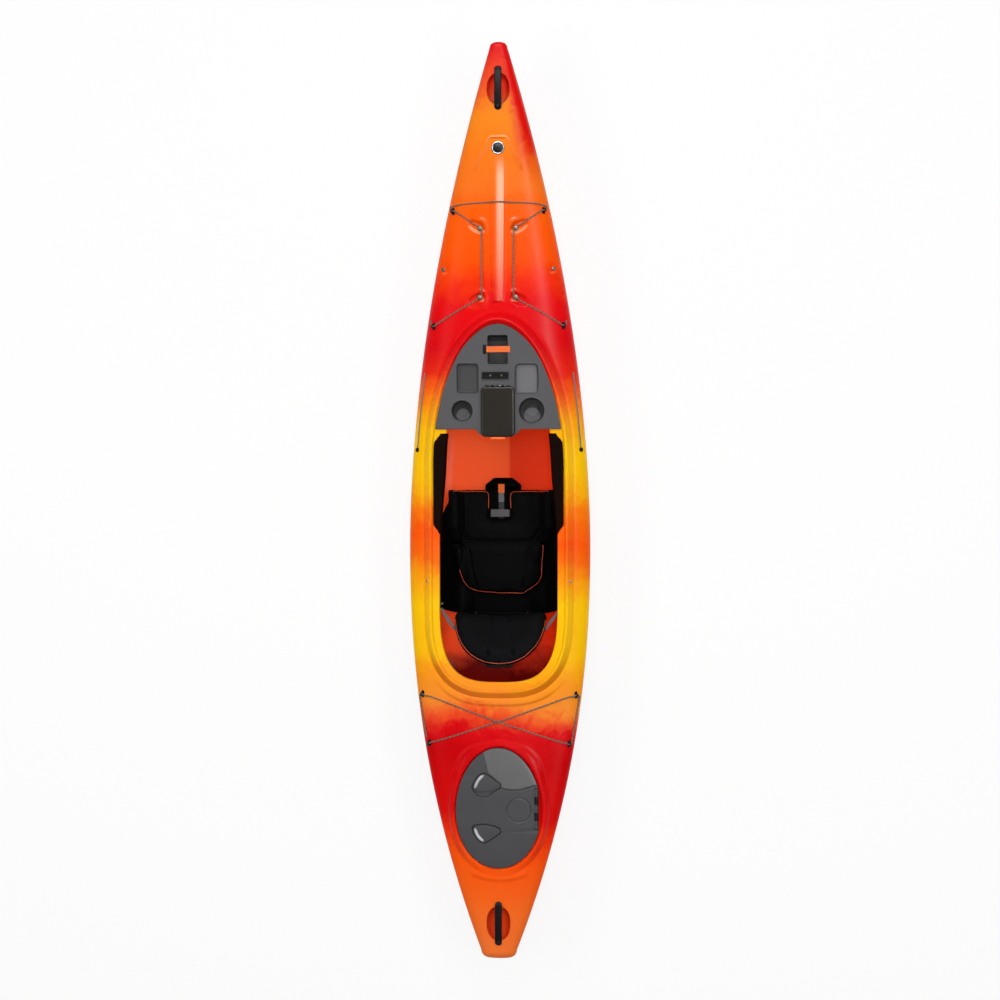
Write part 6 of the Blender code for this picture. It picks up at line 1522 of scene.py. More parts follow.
gasket = swept("hatch_seal", hatch_outline(), gasket_profile)
dress(gasket, gasket_rubber, "gasket_rubber", "hull", "hatch_gasket")
print("hinge, levers and gasket made")

# %% [markdown]
# ## Console
#
# A thermoformed tray lifts off the coaming over the paddler's knees. It has a front well with an elastic strap,
# two trays, a slotted rail, two cup holders and a dry box with its own lid. A vacuum-formed sheet is one skin:
# every hollow is a place where the sheet was drawn down, so its face is one height function again, sampled on a
# fine grid that is cut to the outline. Steep walls need many points, so grid lines crowd where the walls are.

# %% Axes and plan of the console
CONSOLE_REAR = 0.299
CONSOLE_CLEARANCE = 0.006
console_axes = Matrix.Rotation(math.atan(CREST_SLOPE), 4, "X")
console_axes.translation = Vector((0, CONSOLE_REAR, float(crest_height(CONSOLE_REAR)) - LEDGE_DROP + 0.0003))
CUPS = [(-0.149, 0.076, 0.044), (0.139, 0.077, 0.053)]
TRAYS = [(-0.125, 0.21), (0.119, 0.208)]
TRAY_HALF = (0.046, 0.062)
WELL_Y = 0.328
WELL_HALF = (0.042, 0.06)
SHEET_TOP = 0.006
CUP_DEPTH, TRAY_DEPTH, WELL_DEPTH = 0.0515, 0.0165, 0.0425
TRACK_PLACE = (-0.01, 0.222)
BOX_MIDDLE = 0.072


def console_outline(count=900):
    """Crest line moved in, cut straight behind, with two arms beside the dry box."""
    crest = crest_outline(1600)
    gap = CONSOLE_CLEARANCE + 0.007 * ease((crest[:, 1] - 0.6) / 0.14)
    inner = crest - normals_of(crest) * gap[:, None]
    ahead = (inner[:, 1] - CONSOLE_REAR) * math.hypot(1, CREST_SLOPE)
    front = np.column_stack([inner[:, 0], ahead])[ahead > 0.002]
    front = front[np.argsort(np.arctan2(front[:, 1], front[:, 0]))]
    side = front[:, 0].max()
    rear = np.array([(-side, 0.0), (-0.093, 0.0), (-0.077, -0.022), (0.077, -0.022), (0.093, 0.0), (side, 0.0)])
    return rounded_outline(np.vstack([front, rear]), 0.0035, count)


def box_distance(x, y, centre, half, radius, bulge=0.0):
    """Distance from a rectangle with round corners, negative inside. Bulge pushes its outer side out."""
    across = np.abs(x - centre[0]) - half[0] + radius
    across = across - bulge * np.clip(1 - ((y - centre[1]) / half[1]) ** 2, 0, 1)
    along = np.abs(y - centre[1]) - half[1] + radius
    corner = np.hypot(np.maximum(across, 0), np.maximum(along, 0))
    return corner + np.minimum(np.maximum(across, along), 0) - radius


def drawn(distance, depth, wall):
    """Depth of a hollow at a distance from its edge: down a leaning wall that is rounded at both ends."""
    return depth * ease(np.clip(-distance, 0, None) / wall) ** 0.8


def console_face(x, y):
    """Height of the sheet's upper face in the console's axes."""
    height = np.full(x.shape, SHEET_TOP)
    for px, py, radius in CUPS:
        reach = np.hypot(x - px, y - py)
        height -= drawn(reach - radius, CUP_DEPTH, 0.0075)
        height += 0.0012 * ease(1 - np.abs(reach - radius - 0.0026) / 0.003)
        height += 0.006 * ease((radius * 0.62 - reach) / 0.006) * 0.25
    for k, (px, py) in enumerate(TRAYS):
        distance = box_distance(x, y, (px, py), TRAY_HALF, 0.014, 0.004 if k else 0.0)
        height -= drawn(distance, TRAY_DEPTH, 0.006)
        height += 0.001 * ease(1 - np.abs(distance - 0.0024) / 0.0028)
        height -= 0.0014 * ease(1 - np.abs(distance + 0.0115) / 0.0022) * (1 - k)
    distance = box_distance(x, y, (0.0, WELL_Y), WELL_HALF, 0.01)
    height -= drawn(distance, WELL_DEPTH, 0.006)
    height += 0.001 * ease(1 - np.abs(distance - 0.0024) / 0.0028)
    rail = box_distance(x, y, TRACK_PLACE, (0.062, 0.0215), 0.006)
    height -= 0.0006 * ease(-rail / 0.002)
    edge, _ = distance_to(console_outline(420), x, y)
    return height - 0.0016 * ease((edge + 0.004) / 0.004)


print("console plan of", len(console_outline()), "points")

# %% Console sheet


def crowded(low, high, step, walls, close):
    """Grid lines at one step, and closer together within a few millimetres of each wall."""
    fine = np.linspace(low, high, 6000)
    dense = np.full(fine.shape, 1 / step)
    for wall, reach in walls:
        dense = np.where(np.abs(fine - wall) < reach, 1 / close, dense)
    return graded(fine, dense, 1)


columns_at = [(px + s * TRAY_HALF[0], 0.008) for px, _ in TRAYS for s in (-1, 1)]
columns_at += [(px + s * r, 0.009) for px, _, r in CUPS for s in (-1, 1)]
columns_at += [(s * WELL_HALF[0], 0.007) for s in (-1, 1)]
rows_at = [(py + s * TRAY_HALF[1], 0.008) for _, py in TRAYS for s in (-1, 1)]
rows_at += [(py + s * r, 0.009) for _, py, r in CUPS for s in (-1, 1)]
rows_at += [(WELL_Y + s * WELL_HALF[1], 0.007) for s in (-1, 1)]
outline = console_outline()
low, high = outline.min(0), outline.max(0)
grid_x = crowded(low[0], high[0], 0.003, columns_at, 0.0011)
grid_y = crowded(low[1], high[1], 0.003, rows_at, 0.0011)
y, x = np.meshgrid(grid_y, grid_x, indexing="ij")
distance, away = distance_to(console_outline(420), x, y)
opening = box_distance(x, y, (0.0, BOX_MIDDLE), (0.066, 0.098), 0.012)
inside = (distance < -0.0005) & (opening > 0)
cell = cells_of(inside, np.logical_and)
z = console_face(x, y)
sheet = surface("console_sheet", np.stack([x, y, z], axis=-1), keep=cell, facing=(0, 0, 1))


def edge_strip(name, ring, inner):
    """Rolled edge of the sheet: from its face over a small round and down to its underside."""
    rows = [(inner, SHEET_TOP), (-0.0015, SHEET_TOP), (-0.0004, 0.0055), (0.0, 0.0045), (0.0, 0.0), (-0.003, 0.0)]
    return surface(name, carried(ring, rows), facing=(0, 0, 1))


band = edge_strip("edge", console_outline(), -0.005)
hole = rounded_box(0.132, 0.196, 0.012, (0.0, BOX_MIDDLE), 8)[::-1]
lining = edge_strip("lining", evenly(hole, 240), -0.0048)
solid = sheet.modifiers.new("sheet", "SOLIDIFY")
solid.thickness, solid.offset = 0.003, -1.0
bpy.context.view_layer.update()
thick = bpy.data.meshes.new_from_object(sheet.evaluated_get(bpy.context.evaluated_depsgraph_get()))
bpy.data.objects.remove(sheet)
sheet = bpy.data.objects.new("sheet", thick)
scene.collection.objects.link(sheet)
console_piece = moved(join_meshes("console_tray", [sheet, band, lining]), console_axes)
# Painted shade and painted light in the console's hollows: the port tray, the front well and the cups are painted
# darker, the well's fore wall nearly black, and the starboard tray and a patch on the aft side of each cup
# lighter.
drawn_plastic, tree, shader, hue = variant(console_plastic, "console plastic with shaded hollows")
place = add(tree, "TexCoord").outputs["Object"]
axis = add(tree, "SeparateXYZ", {0: place}).outputs
plan = add(tree, "CombineXYZ", {"X": axis["X"], "Y": axis["Y"]})
up = console_axes.to_3x3() @ Vector((0, 0, 1))
level = add(tree, "VectorMath", {0: place, 1: tuple(up)}, operation="DOT_PRODUCT").outputs["Value"]
face_level = up @ console_axes.translation
sunk = add(tree, "MapRange", {"Value": level, "From Min": face_level + 0.003, "From Max": face_level - 0.004})
shade = None
HOLLOWS = [(TRAYS[0], TRAY_HALF, 0.62), (TRAYS[1], (0.041, 0.057), 1.75), ((0.0, WELL_Y), WELL_HALF, 0.5)]
HOLLOWS += [((0.0, WELL_Y + 0.052), (0.042, 0.014), 0.12)]
for centre, half, tone in HOLLOWS:
    middle = console_axes @ Vector((*centre, -0.01))
    beside = add(tree, "Math", {0: axis["X"], 1: middle.x, 2: half[0]}, operation="COMPARE")
    ahead = add(tree, "Math", {0: axis["Y"], 1: middle.y, 2: half[1]}, operation="COMPARE")
    both = add(tree, "Math", {0: beside, 1: ahead}, operation="MULTIPLY")
    shade = add(tree, "Mix", {"Factor": both, 2: 1.0 if shade is None else shade, 3: tone})
for px, py, radius in CUPS:
    for back, share, tone in ((0.0, 1.02, 0.38), (0.42, 0.66, 1.45)):
        middle = console_axes @ Vector((px, py - back * radius, -0.045))
        far = add(tree, "VectorMath", {0: plan, 1: (middle.x, middle.y, 0.0)}, operation="DISTANCE")
        round_in = {"Value": far.outputs["Value"], "From Min": share * radius, "From Max": share * radius - 0.003}
        shade = add(tree, "Mix", {"Factor": add(tree, "MapRange", round_in), 2: shade, 3: tone})
shade = add(tree, "Mix", {"Factor": sunk, 2: 1.0, 3: shade})
hue = add(tree, "HueSaturation", {"Color": hue, "Value": shade})
feed(tree, shader, {"Base Color": hue})
dress(console_piece, drawn_plastic, "console_plastic", "console", "console", sharp=55.0)
print("console with", len(console_piece.data.polygons), "faces")

# %% Slotted rail and elastic strap


def rail_piece():
    """Slotted section carried across the boat: two lips over a wider groove, with rounded ends."""
    x = np.concatenate([[-0.055, -0.0545, -0.053], np.linspace(-0.05, 0.05, 30), [0.053, 0.0545, 0.055]])
    half = [(-0.0145, 0.0), (-0.0145, 0.0088), (-0.0137, 0.01), (-0.0056, 0.01), (-0.005, 0.0094)]
    half += [(-0.005, 0.0062), (-0.008, 0.006), (-0.008, 0.0026)]
    section = np.array(half + [(-y, z) for y, z in half[::-1]] + half[:1])
    share = np.clip((0.055 - np.abs(x)) / 0.004, 0, 1) ** 0.5
    narrow = 0.8 + 0.2 * share
    points = np.stack([
        np.broadcast_to(x[:, None], (len(x), len(section))),
        narrow[:, None] * section[:, 0],
        0 * x[:, None] + section[:, 1],
    ], axis=-1)
    return moved(capped(surface("rail", points)), console_axes @ Matrix.Translation((*TRACK_PLACE, 0.0063)))


dress(rail_piece(), black_plastic, "black_plastic", "console", "accessory_track", sharp=30.0)
for k, offset in enumerate((-0.021, 0.026)):
    place = console_axes @ Matrix.Translation((TRACK_PLACE[0] + offset, TRACK_PLACE[1], 0.0088))
    head = [(0.0038, 0.0), (0.0036, 0.001), (0.0012, 0.0018), (0.0, 0.001)]
    bolt = moved(lathe(f"track_screw_{k}", head, 20), place)
    dress(bolt, worn_steel, "steel", "console", "accessory_track")

x = np.linspace(-0.052, 0.052, 60)
sag = 0.0074 + 0.0006 * np.cos(x / 0.052 * np.pi / 2)
path = np.stack([x, 0 * x + 0.33, sag], axis=1)
tape = strip("well_strap", path, 0.025, 0.002)
stitch = strip("stitches", np.array([(0.0105, 0.319 + 0.0011 * k, 0.0092) for k in range(21)]), 0.0012, 0.001)
made = moved(join_meshes("well_strap", [tape, stitch]), console_axes)
dress(made, orange_webbing, "orange_webbing", "console", "console_strap")
pieces = [block("well_buckle", (0.014, 0.038, 0.003), (-0.053, 0.33), (0.0063, 0.0121, 0.0018))]
for k in range(3):
    pieces.append(block("rib", (0.002, 0.03, 0.0008), (-0.0565 + 0.0035 * k, 0.33), (0.0118, 0.0127, 0.0004)))
buckle = moved(join_meshes("well_buckle", pieces), console_axes)
dress(buckle, black_plastic, "orange_webbing", "console", "console_strap")
print("rail and strap made")

# %% Dry box: tub, lid and latch
tub = rounded_box(0.13, 0.192, 0.011, (0.0, BOX_MIDDLE))
flange = rounded_box(0.142, 0.2, 0.014, (0.0, BOX_MIDDLE))
LID_LINE = (0.179, 0.013)


def ring_at(outline, out, height):
    """Outline moved out by a distance at a height, as one row of a surface, closed."""
    return carried(evenly(outline, 240), [(out, height)])[0]


rows = [(tub, -0.06, -0.066), (tub, -0.012, -0.066), (tub, -0.0055, -0.0645), (tub, -0.0032, -0.06)]
rows += [(tub, -0.003, 0.007), (tub, -0.002, 0.0088), (flange, -0.004, 0.009), (flange, -0.0006, 0.0088)]
rows += [(flange, 0.0, 0.008), (flange, 0.0, 0.0064), (tub, 0.0, 0.0064), (tub, 0.0, -0.061)]
rows += [(tub, -0.0025, -0.067), (tub, -0.008, -0.069), (tub, -0.06, -0.069)]
rows = [ring_at(*row) for row in rows]
for row in (rows[0], rows[-1]):
    row[:, :2] = (0.0, BOX_MIDDLE)
body = surface("body", np.array(rows))
posts = []
for px in (-0.021, 0.021):
    posts.append(block("foot", (0.02, 0.0136, 0.002), (px, 0.1758), (0.0063, 0.0088, 0.0006)))
    posts.append(block("post", (0.02, 0.0072, 0.001), (px, 0.179), (0.0075, 0.015, 0.003)))
for px in (-0.0323, 0.0323):
    posts.append(block("ear", (0.004, 0.01, 0.001), (px, -0.028), (-0.022, -0.01, 0.001)))
tub_piece = moved(join_meshes("dry_box_body", [body, *posts]), console_axes)
dress(tub_piece, smoked_plastic, "smoked_plastic", "console", "dry_box_tub")


def cross_bar(name, radius, low, high):
    """Round bar on the line that the dry box's lid turns about, with softened ends."""
    rows = [(0.0, low), (radius - 0.0005, low), (radius, low + 0.0005), (radius, high - 0.0005)]
    made = lathe(name, rows + [(radius - 0.0005, high), (0.0, high)], 24)
    return moved(made, console_axes @ Matrix.Translation((0, *LID_LINE)) @ Matrix.Rotation(math.pi / 2, 4, "Y"))


dress(cross_bar("dry_box_rod", 0.0018, -0.05, 0.05), stainless, "steel", "console", "dry_box_tub")

lid_plan = rounded_box(0.137, 0.206, 0.016, (0.0, BOX_MIDDLE))
rows = [(-0.066, 0.0172), (-0.012, 0.0172), (-0.01, 0.0093), (-0.0015, 0.0093), (0.0, 0.0105), (0.0, 0.017)]
rows += [(-0.0012, 0.0196), (-0.0036, 0.0212), (-0.0062, 0.0218), (-0.0068, 0.0208), (-0.0082, 0.0206)]
rows += [(-0.0092, 0.0222), (-0.013, 0.0228)]
rows = [ring_at(lid_plan, out, height) for out, height in rows]
for share in (0.6, 0.3, 0.0):
    rows.append((rows[-1] - (0.0, BOX_MIDDLE, 0.0)) * (share, share, 1.0) + (0.0, BOX_MIDDLE, 0.0))
rows[0][:, :2] = (0.0, BOX_MIDDLE)
lid_parts = [moved(surface("lid", np.array(rows)), console_axes)]
for px in (-0.042, 0.0, 0.042):
    lid_parts.append(cross_bar("knuckle", 0.0036, px - 0.01, px + 0.01))
    web = block("web", (0.0194, 0.008, 0.001), (px, 0.1745), (0.0102, 0.0158, 0.001))
    lid_parts.append(moved(web, console_axes))
dress(join_meshes("dry_box_cover", lid_parts), smoked_plastic, "smoked_plastic", "dry_box_lid", "dry_box_lid")


def clip():
    """Bent plate carried across the boat: a hook over the lid above a flat back, thin towards its ends."""
    hook = [(-0.0275, -0.02), (-0.0325, -0.02), (-0.0354, 0.0093), (-0.0354, 0.0173), (-0.0414, 0.0193)]
    hook += [(-0.0414, 0.0223), (-0.04, 0.0234), (-0.034, 0.0238), (-0.032, 0.023)]
    hook += [(-0.0314, 0.0215), (-0.0314, 0.0093)]
    section = rounded_outline(hook, 0.0007, 80)
    section = np.vstack([section, section[:1]])
    middle = section[:-1].mean(0)
    x = np.array([-0.03, -0.0298, -0.029, -0.027, 0.0, 0.027, 0.029, 0.0298, 0.03])
    share = np.array([0.0, 0.9, 0.97, 1.0, 1.0, 1.0, 0.97, 0.9, 0.0])
    spread = middle + (section - middle) * share[:, None, None]
    points = np.concatenate([np.broadcast_to(x[:, None, None], spread.shape[:2] + (1,)), spread], axis=2)
    return moved(surface("dry_box_clip", points), console_axes)


dress(clip(), orange_plastic, "orange_plastic", "dry_box_latch", "dry_box_latch")
print("dry box made")

# %% [markdown]
# ## Seat pan
#
# The pan is one bent sheet: a flat floor whose sides turn up through a quarter of a circle or so. So a place on
# it is best named by the distance s across the sheet and the place y along the boat. The cushions lie on it and
# bend with it, and can use the same two numbers and a height off the sheet.

# %% Places on the pan
SEAT_FRONT, SEAT_REAR = 0.047, -0.45
PAN_FLOOR_Z = 0.0353
PAN_SHEET = 0.004
PAN_BEND = (0.1567, 0.222)
PAN_LEAN = math.radians(68.0)
across_at = np.linspace(0, 0.6, 2401)
lean_at = PAN_LEAN * np.clip((across_at - PAN_BEND[0]) / (PAN_BEND[1] - PAN_BEND[0]), 0, 1)
step_at = across_at[1]
x_at = np.concatenate([[0], np.cumsum(np.cos(lean_at[:-1]) * step_at)])
z_at = np.concatenate([[0], np.cumsum(np.sin(lean_at[:-1]) * step_at)])


def pan_place(s, y, off):
    """Place at a distance across the sheet, where x and z sum its cosine and sine, moved off along its normal."""
    far = np.abs(s)
    lean = np.interp(far, across_at, lean_at)
    x = (np.interp(far, across_at, x_at) - off * np.sin(lean)) * np.sign(s)
    z = PAN_FLOOR_Z + np.interp(far, across_at, z_at) + off * np.cos(lean)
    return np.stack(np.broadcast_arrays(x, y, z), axis=-1)


def pan_reach(height):
    """Distance across the sheet at which its wall has risen this high."""
    return float(np.interp(height, z_at, across_at))


def pan_half(x):
    """Distance across the sheet at which it is x from the middle."""
    return float(np.interp(x, x_at, across_at))


print("pan wall reaches", round(pan_reach(0.16), 4), "across the sheet")

# %% Pan with its runners and ears
share = np.linspace(0, 1, 90)[:, None]
reach = pan_reach(0.06) + (pan_reach(0.16) - pan_reach(0.06)) * ease(share / 0.3)
turn = np.linspace(-1, 1, 121)[None, :]
s = reach * turn
y = SEAT_FRONT + (SEAT_REAR - SEAT_FRONT) * share - 0.042 * share**3 * (1 - turn**2)
groove = 0.0012 * ease(1 - np.abs(np.abs(s) - 0.15) / 0.004)
groove = groove * ease((share - 0.1) / 0.1) * ease((0.92 - share) / 0.05)
under, upper = pan_place(s, y, 0.0), pan_place(s, y, PAN_SHEET - groove)
points = np.concatenate([under, upper[:, ::-1], under[:, :1]], axis=1)
middle = (under + upper) / 2
ends = [np.concatenate([middle[k], middle[k][::-1], middle[k][:1]])[None] for k in (0, -1)]
pan = [surface("sheet", np.concatenate([ends[0], points, ends[1]]))]
for side, sign, _ in sides(0.0):
    pan.append(block("runner", (0.028, 0.397, 0.006), (sign * 0.115, -0.2015), (0.0053, 0.0365, 0.002)))
TO_SIDE = Matrix(((0, 0, 1, 0), (1, 0, 0, 0), (0, 1, 0, 0), (0, 0, 0, 1)))
EAR = [(-0.405, 0.0375), (-0.462, 0.0375), (-0.49, 0.095), (-0.488, 0.115), (-0.468, 0.115)]
for side, sign, x in sides(0.128):
    ear = slab("ear", rounded_outline(EAR[::-1], 0.004), rounded_edges(x - 0.004, x + 0.004, 0.0012))
    pan.append(moved(ear, TO_SIDE))
dress(join_meshes("seat_bucket", pan), pan_plastic, "black_plastic", "hull", "seat_pan", sharp=50.0)
print("pan made of", len(pan), "parts")

# %% [markdown]
# ## Cushions
#
# A cushion is foam in a fabric cover. Each starts as a closed form over an outline on the pan or the backrest:
# its height grows from nothing at the outline along a quarter circle, and then slowly towards the middle. The
# form is remeshed evenly and blown up a little as cloth, which gives the cover its slack between the edges.
# Seams are pressed in afterwards, because remeshing would erase them, and piping is laid on last.

# %% Fabric
stretch_knit, tree, shader = new_finish("stretch knit over foam", "040405", 0.62, {"Specular IOR Level": 0.02})
place = add(tree, "TexCoord").outputs["Object"]
wave = {"Vector": place, "Scale": WAVE / 0.003, "Distortion": 1.0}
rows = [add(tree, "TexWave", wave, bands_direction=k) for k in "XY"]
loops = add(tree, "Math", {0: rows[0].outputs["Fac"], 1: rows[1].outputs["Fac"]}, operation="MULTIPLY")
rub = add(tree, "TexNoise", {"Vector": place, "Scale": 9.0, "Detail": 4.0})
level = add(tree, "MapRange", {"Value": rub, "To Min": 0.75, "To Max": 1.3})
knit = add(tree, "Mix", {"Factor": loops, 6: linear("030304"), 7: linear("070808")}, data_type="RGBA")
knit = add(tree, "HueSaturation", {"Value": level, "Color": knit.outputs[2]})
wrinkles = add(tree, "TexNoise", {"Vector": place, "Scale": 38.0, "Detail": 2.0, "Distortion": 0.8})
coarse = add(tree, "Bump", {"Height": wrinkles, "Distance": 0.0016, "Strength": 0.6})
fine = add(tree, "Bump", {"Height": loops, "Distance": 0.00035, "Normal": coarse})
feed(tree, shader, {"Base Color": knit, "Normal": fine})
print("fabric ready")

# %% Forms of the cushions
FORM_STEP = 0.005
VOXEL = 0.0045
SLACK = 0.006  # the furthest that a cover may move off its form
PRESSURE = 4.0
STIFFNESS = 40.0
CLOTH_FRAMES = 20
PIPING_RADIUS = 0.0012


def closed_form(name, outline, place, height, low, spacing):
    """Closed form over a plan. height(u, v, depth) is its thickness at a depth inside the outline."""
    (left, rear), (right, front) = outline.min(0), outline.max(0)
    u = np.arange(left - spacing, right + 2 * spacing, spacing)
    v = np.arange(rear - spacing, front + 2 * spacing, spacing)
    u, v = np.meshgrid(u, v)
    distance, away = distance_to(outline, u, v)
    inside = distance < 0
    cell = cells_of(inside, np.logical_or)
    out = (distance > 0)[..., None]
    u, v = np.moveaxis(np.stack([u, v], axis=-1) - out * away * distance[..., None], -1, 0)
    depth = np.clip(-distance, 0, None)
    lower = place(u, v, np.full(u.shape, low))
    upper = place(u, v, low + height(u, v, depth) * (depth > 0))
    top = surface("top", upper, keep=cell, facing=(0, 0, 1))
    bottom = surface("bottom", lower, keep=cell, facing=(0, 0, -1))
    made = join_meshes(name, [top, bottom])
    return mended(made, lambda work: bmesh.ops.remove_doubles(work, verts=work.verts, dist=2e-5))


def applied(made):
    """Turns the modifiers of a piece into its mesh."""
    bpy.context.view_layer.update()
    mesh = bpy.data.meshes.new_from_object(made.evaluated_get(bpy.context.evaluated_depsgraph_get()))
    made.modifiers.clear()
    made.data = mesh
    return made


def coordinates(made):
    """Vertex places of a piece as an array."""
    flat = np.zeros(3 * len(made.data.vertices))
    made.data.vertices.foreach_get("co", flat)
    return flat.reshape(-1, 3)


def stuffed(made, held):
    """Remeshes a form and blows it up as cloth. held(places) is 0 to 1, where the cover may not move."""
    remesh = made.modifiers.new("even", "REMESH")
    remesh.mode, remesh.voxel_size = "VOXEL", VOXEL
    applied(made)
    before = coordinates(made)
    cloth = made.modifiers.new("cover", "CLOTH")
    cloth.settings.use_pressure = True
    cloth.settings.uniform_pressure_force = PRESSURE
    cloth.settings.effector_weights.gravity = 0.0
    cloth.settings.tension_stiffness = cloth.settings.compression_stiffness = STIFFNESS
    for step in range(1, CLOTH_FRAMES + 1):
        scene.frame_set(step)
    applied(made)
    scene.frame_set(1)
    move = coordinates(made) - before
    length = np.linalg.norm(move, axis=1)[:, None]
    move *= np.minimum(1, SLACK / np.maximum(length, 1e-9)) * (1 - held(before))[:, None]
    made.data.vertices.foreach_set("co", (before + move).ravel())
    print(made.name, "moved up to", round(float(length.max()) * 1000, 1), "mm, capped at", SLACK * 1000)
    for kind, settings in (("SMOOTH", {"iterations": 3}), ("SUBSURF", {"levels": 1, "render_levels": 1})):
        modifier = made.modifiers.new(kind.lower(), kind)
        for key, value in settings.items():
            setattr(modifier, key, value)
    return applied(made)


def pressed(made, line, width, depth, facing=UP):
    """Presses a seam into a cover: each point sinks along its normal by depth times a bell over its distance."""
    places = coordinates(made)
    normals = np.zeros(places.size)
    made.data.vertices.foreach_get("normal", normals)
    normals = normals.reshape(-1, 3)
    line = smooth_route(np.array(line, float), 0.004)
    nearest = np.full(len(places), 1.0)
    for a, b in zip(line, line[1:]):
        step = b - a
        along = np.clip(((places - a) @ step) / (step @ step), 0, 1)
        gap = places - a - along[:, None] * step
        nearest = np.minimum(nearest, np.linalg.norm(gap, axis=1))
    shown = ease(normals @ np.array(facing) * 3)
    places -= normals * (depth * np.exp(-((nearest / width) ** 2)) * shown)[:, None]
    made.data.vertices.foreach_set("co", places.ravel())
    made.data.update()


def piping(name, made, guide):
    """Piping cord along a cover: the places of its surface nearest to a guide line, lifted by 0.45 radius."""
    tree = tree_of(made)
    path = []
    for place in guide:
        found, normal, _, _ = tree.find_nearest(Vector(place))
        path.append(found + normal * PIPING_RADIUS * 0.45)
    path = np.array(path)
    for _ in range(3):
        path[1:-1] = (path[:-2] + 2 * path[1:-1] + path[2:]) / 4
    return tube(name, path, PIPING_RADIUS, around=8)


print("cushion helpers ready")

# %% Seat cushions
SPLIT_Y = -0.179
CUSHION = 0.042
REST = PAN_SHEET + 0.0008
HINGE_TOP = PAN_FLOOR_Z + PAN_SHEET + 0.0006 + CUSHION


def cushion_height(u, v, depth):
    """Thickness of a cushion: a quarter round at its edge and a slow crown."""
    far = np.abs(v - SPLIT_Y)
    round_in = 0.005 + 0.012 * ease((far - 0.01) / 0.02)
    edge = np.sqrt(1 - (1 - np.clip(depth / round_in, 0, 1)) ** 2)
    open_side = ease((pan_half(0.2) - np.abs(u)) / 0.05)
    return CUSHION * (0.74 * edge + 0.22 * ease((depth + np.clip(0.085 - far, 0, None) * open_side) / 0.085))


def front_place(u, v, off):
    """Place on the front cushion. Its rear edge leans forward above the line that it tips about."""
    places = pan_place(u, v, off)
    lean = np.clip(places[..., 2] - HINGE_TOP, 0, None) * math.tan(math.radians(18))
    places[..., 1] += lean * np.clip(1 - (places[..., 1] - SPLIT_Y) / 0.08, 0, 1)
    return places


NOTCH_X, NOTCH_HALF = -0.012, 0.0445
half = pan_half(0.231)
right = [(pan_half(0.205), SPLIT_Y + 0.0012), (half, -0.122), (half, -0.02), (half - 0.004, 0.05)]
notch = [(NOTCH_X + x, y) for x, y in ((0.058, 0.05), (NOTCH_HALF, 0.038), (NOTCH_HALF, -0.062), (0.036, -0.071))]
left = [(2 * NOTCH_X - x, y) for x, y in notch[::-1]] + [(-x - 0.012, y) for x, y in right[:0:-1]]
left += [(-pan_half(0.222), SPLIT_Y + 0.0012)]
front_plan = rounded_outline(right + notch + left, 0.006, 500)
REAR_EDGE = [(-0.222, -0.1802), (-0.217, -0.24), (-0.209, -0.301), (-0.191, -0.344), (-0.145, -0.381)]
REAR_EDGE += [(-0.107, -0.393), (0.0, -0.404), (0.094, -0.403), (0.129, -0.377), (0.17, -0.346)]
REAR_EDGE += [(0.189, -0.31), (0.193, -0.245), (0.2, -0.1802)]
rear_plan = rounded_outline([(math.copysign(pan_half(abs(x)), x), y) for x, y in REAR_EDGE], 0.008, 400)


def on_pan(places):
    """1 for points of a cushion that rest on the pan or face its neighbour, 0 for its free top."""
    s = np.interp(np.abs(places[:, 0]), x_at, across_at) * np.sign(places[:, 0])
    floor = pan_place(s, places[:, 1], REST)
    over = places[:, 2] - floor[:, 2]
    return 1 - ease(over / 0.016) * ease((np.abs(places[:, 1] - SPLIT_Y) - 0.004) / 0.02)


front = closed_form("front_cushion_cover", front_plan, front_place, cushion_height, REST, FORM_STEP)
front = stuffed(front, on_pan)
rear = closed_form("rear_cushion_cover", rear_plan, pan_place, cushion_height, REST, FORM_STEP)
rear = stuffed(rear, on_pan)
SEAMS = [
    (rear, [(0.123, -0.181, 0.084), (0.108, -0.21, 0.083), (0.096, -0.28, 0.082), (0.086, -0.372, 0.08)]),
    (rear, [(-0.152, -0.181, 0.086), (-0.138, -0.23, 0.084), (-0.128, -0.3, 0.083), (-0.11, -0.372, 0.08)]),
    (front, [(0.206, -0.062, 0.112), (0.165, -0.11, 0.09), (0.126, -0.174, 0.083)]),
    (front, [(-0.225, -0.062, 0.122), (-0.186, -0.11, 0.096), (-0.152, -0.174, 0.085)]),
]
for made, line in SEAMS:
    pressed(made, line, 0.005, 0.0065)
for made, node, body in ((front, "seat_cushion_front", "front_cushion"), (rear, "seat_cushion_rear", "hull")):
    dress(made, stretch_knit, "seat_fabric", body, node, sharp=180.0)
print("cushions with", len(front.data.polygons), "and", len(rear.data.polygons), "faces")

# %% Piping of the seat cushions


def along_edge(outline, start, end, inset):
    """Stretch of an outline, anticlockwise from the point nearest one place to that nearest another, moved in."""
    first, last = (int(((outline - place) ** 2).sum(1).argmin()) for place in (start, end))
    count = (last - first) % len(outline)
    inner = outline - normals_of(outline) * inset
    return np.roll(inner, -first, axis=0)[: count + 1]


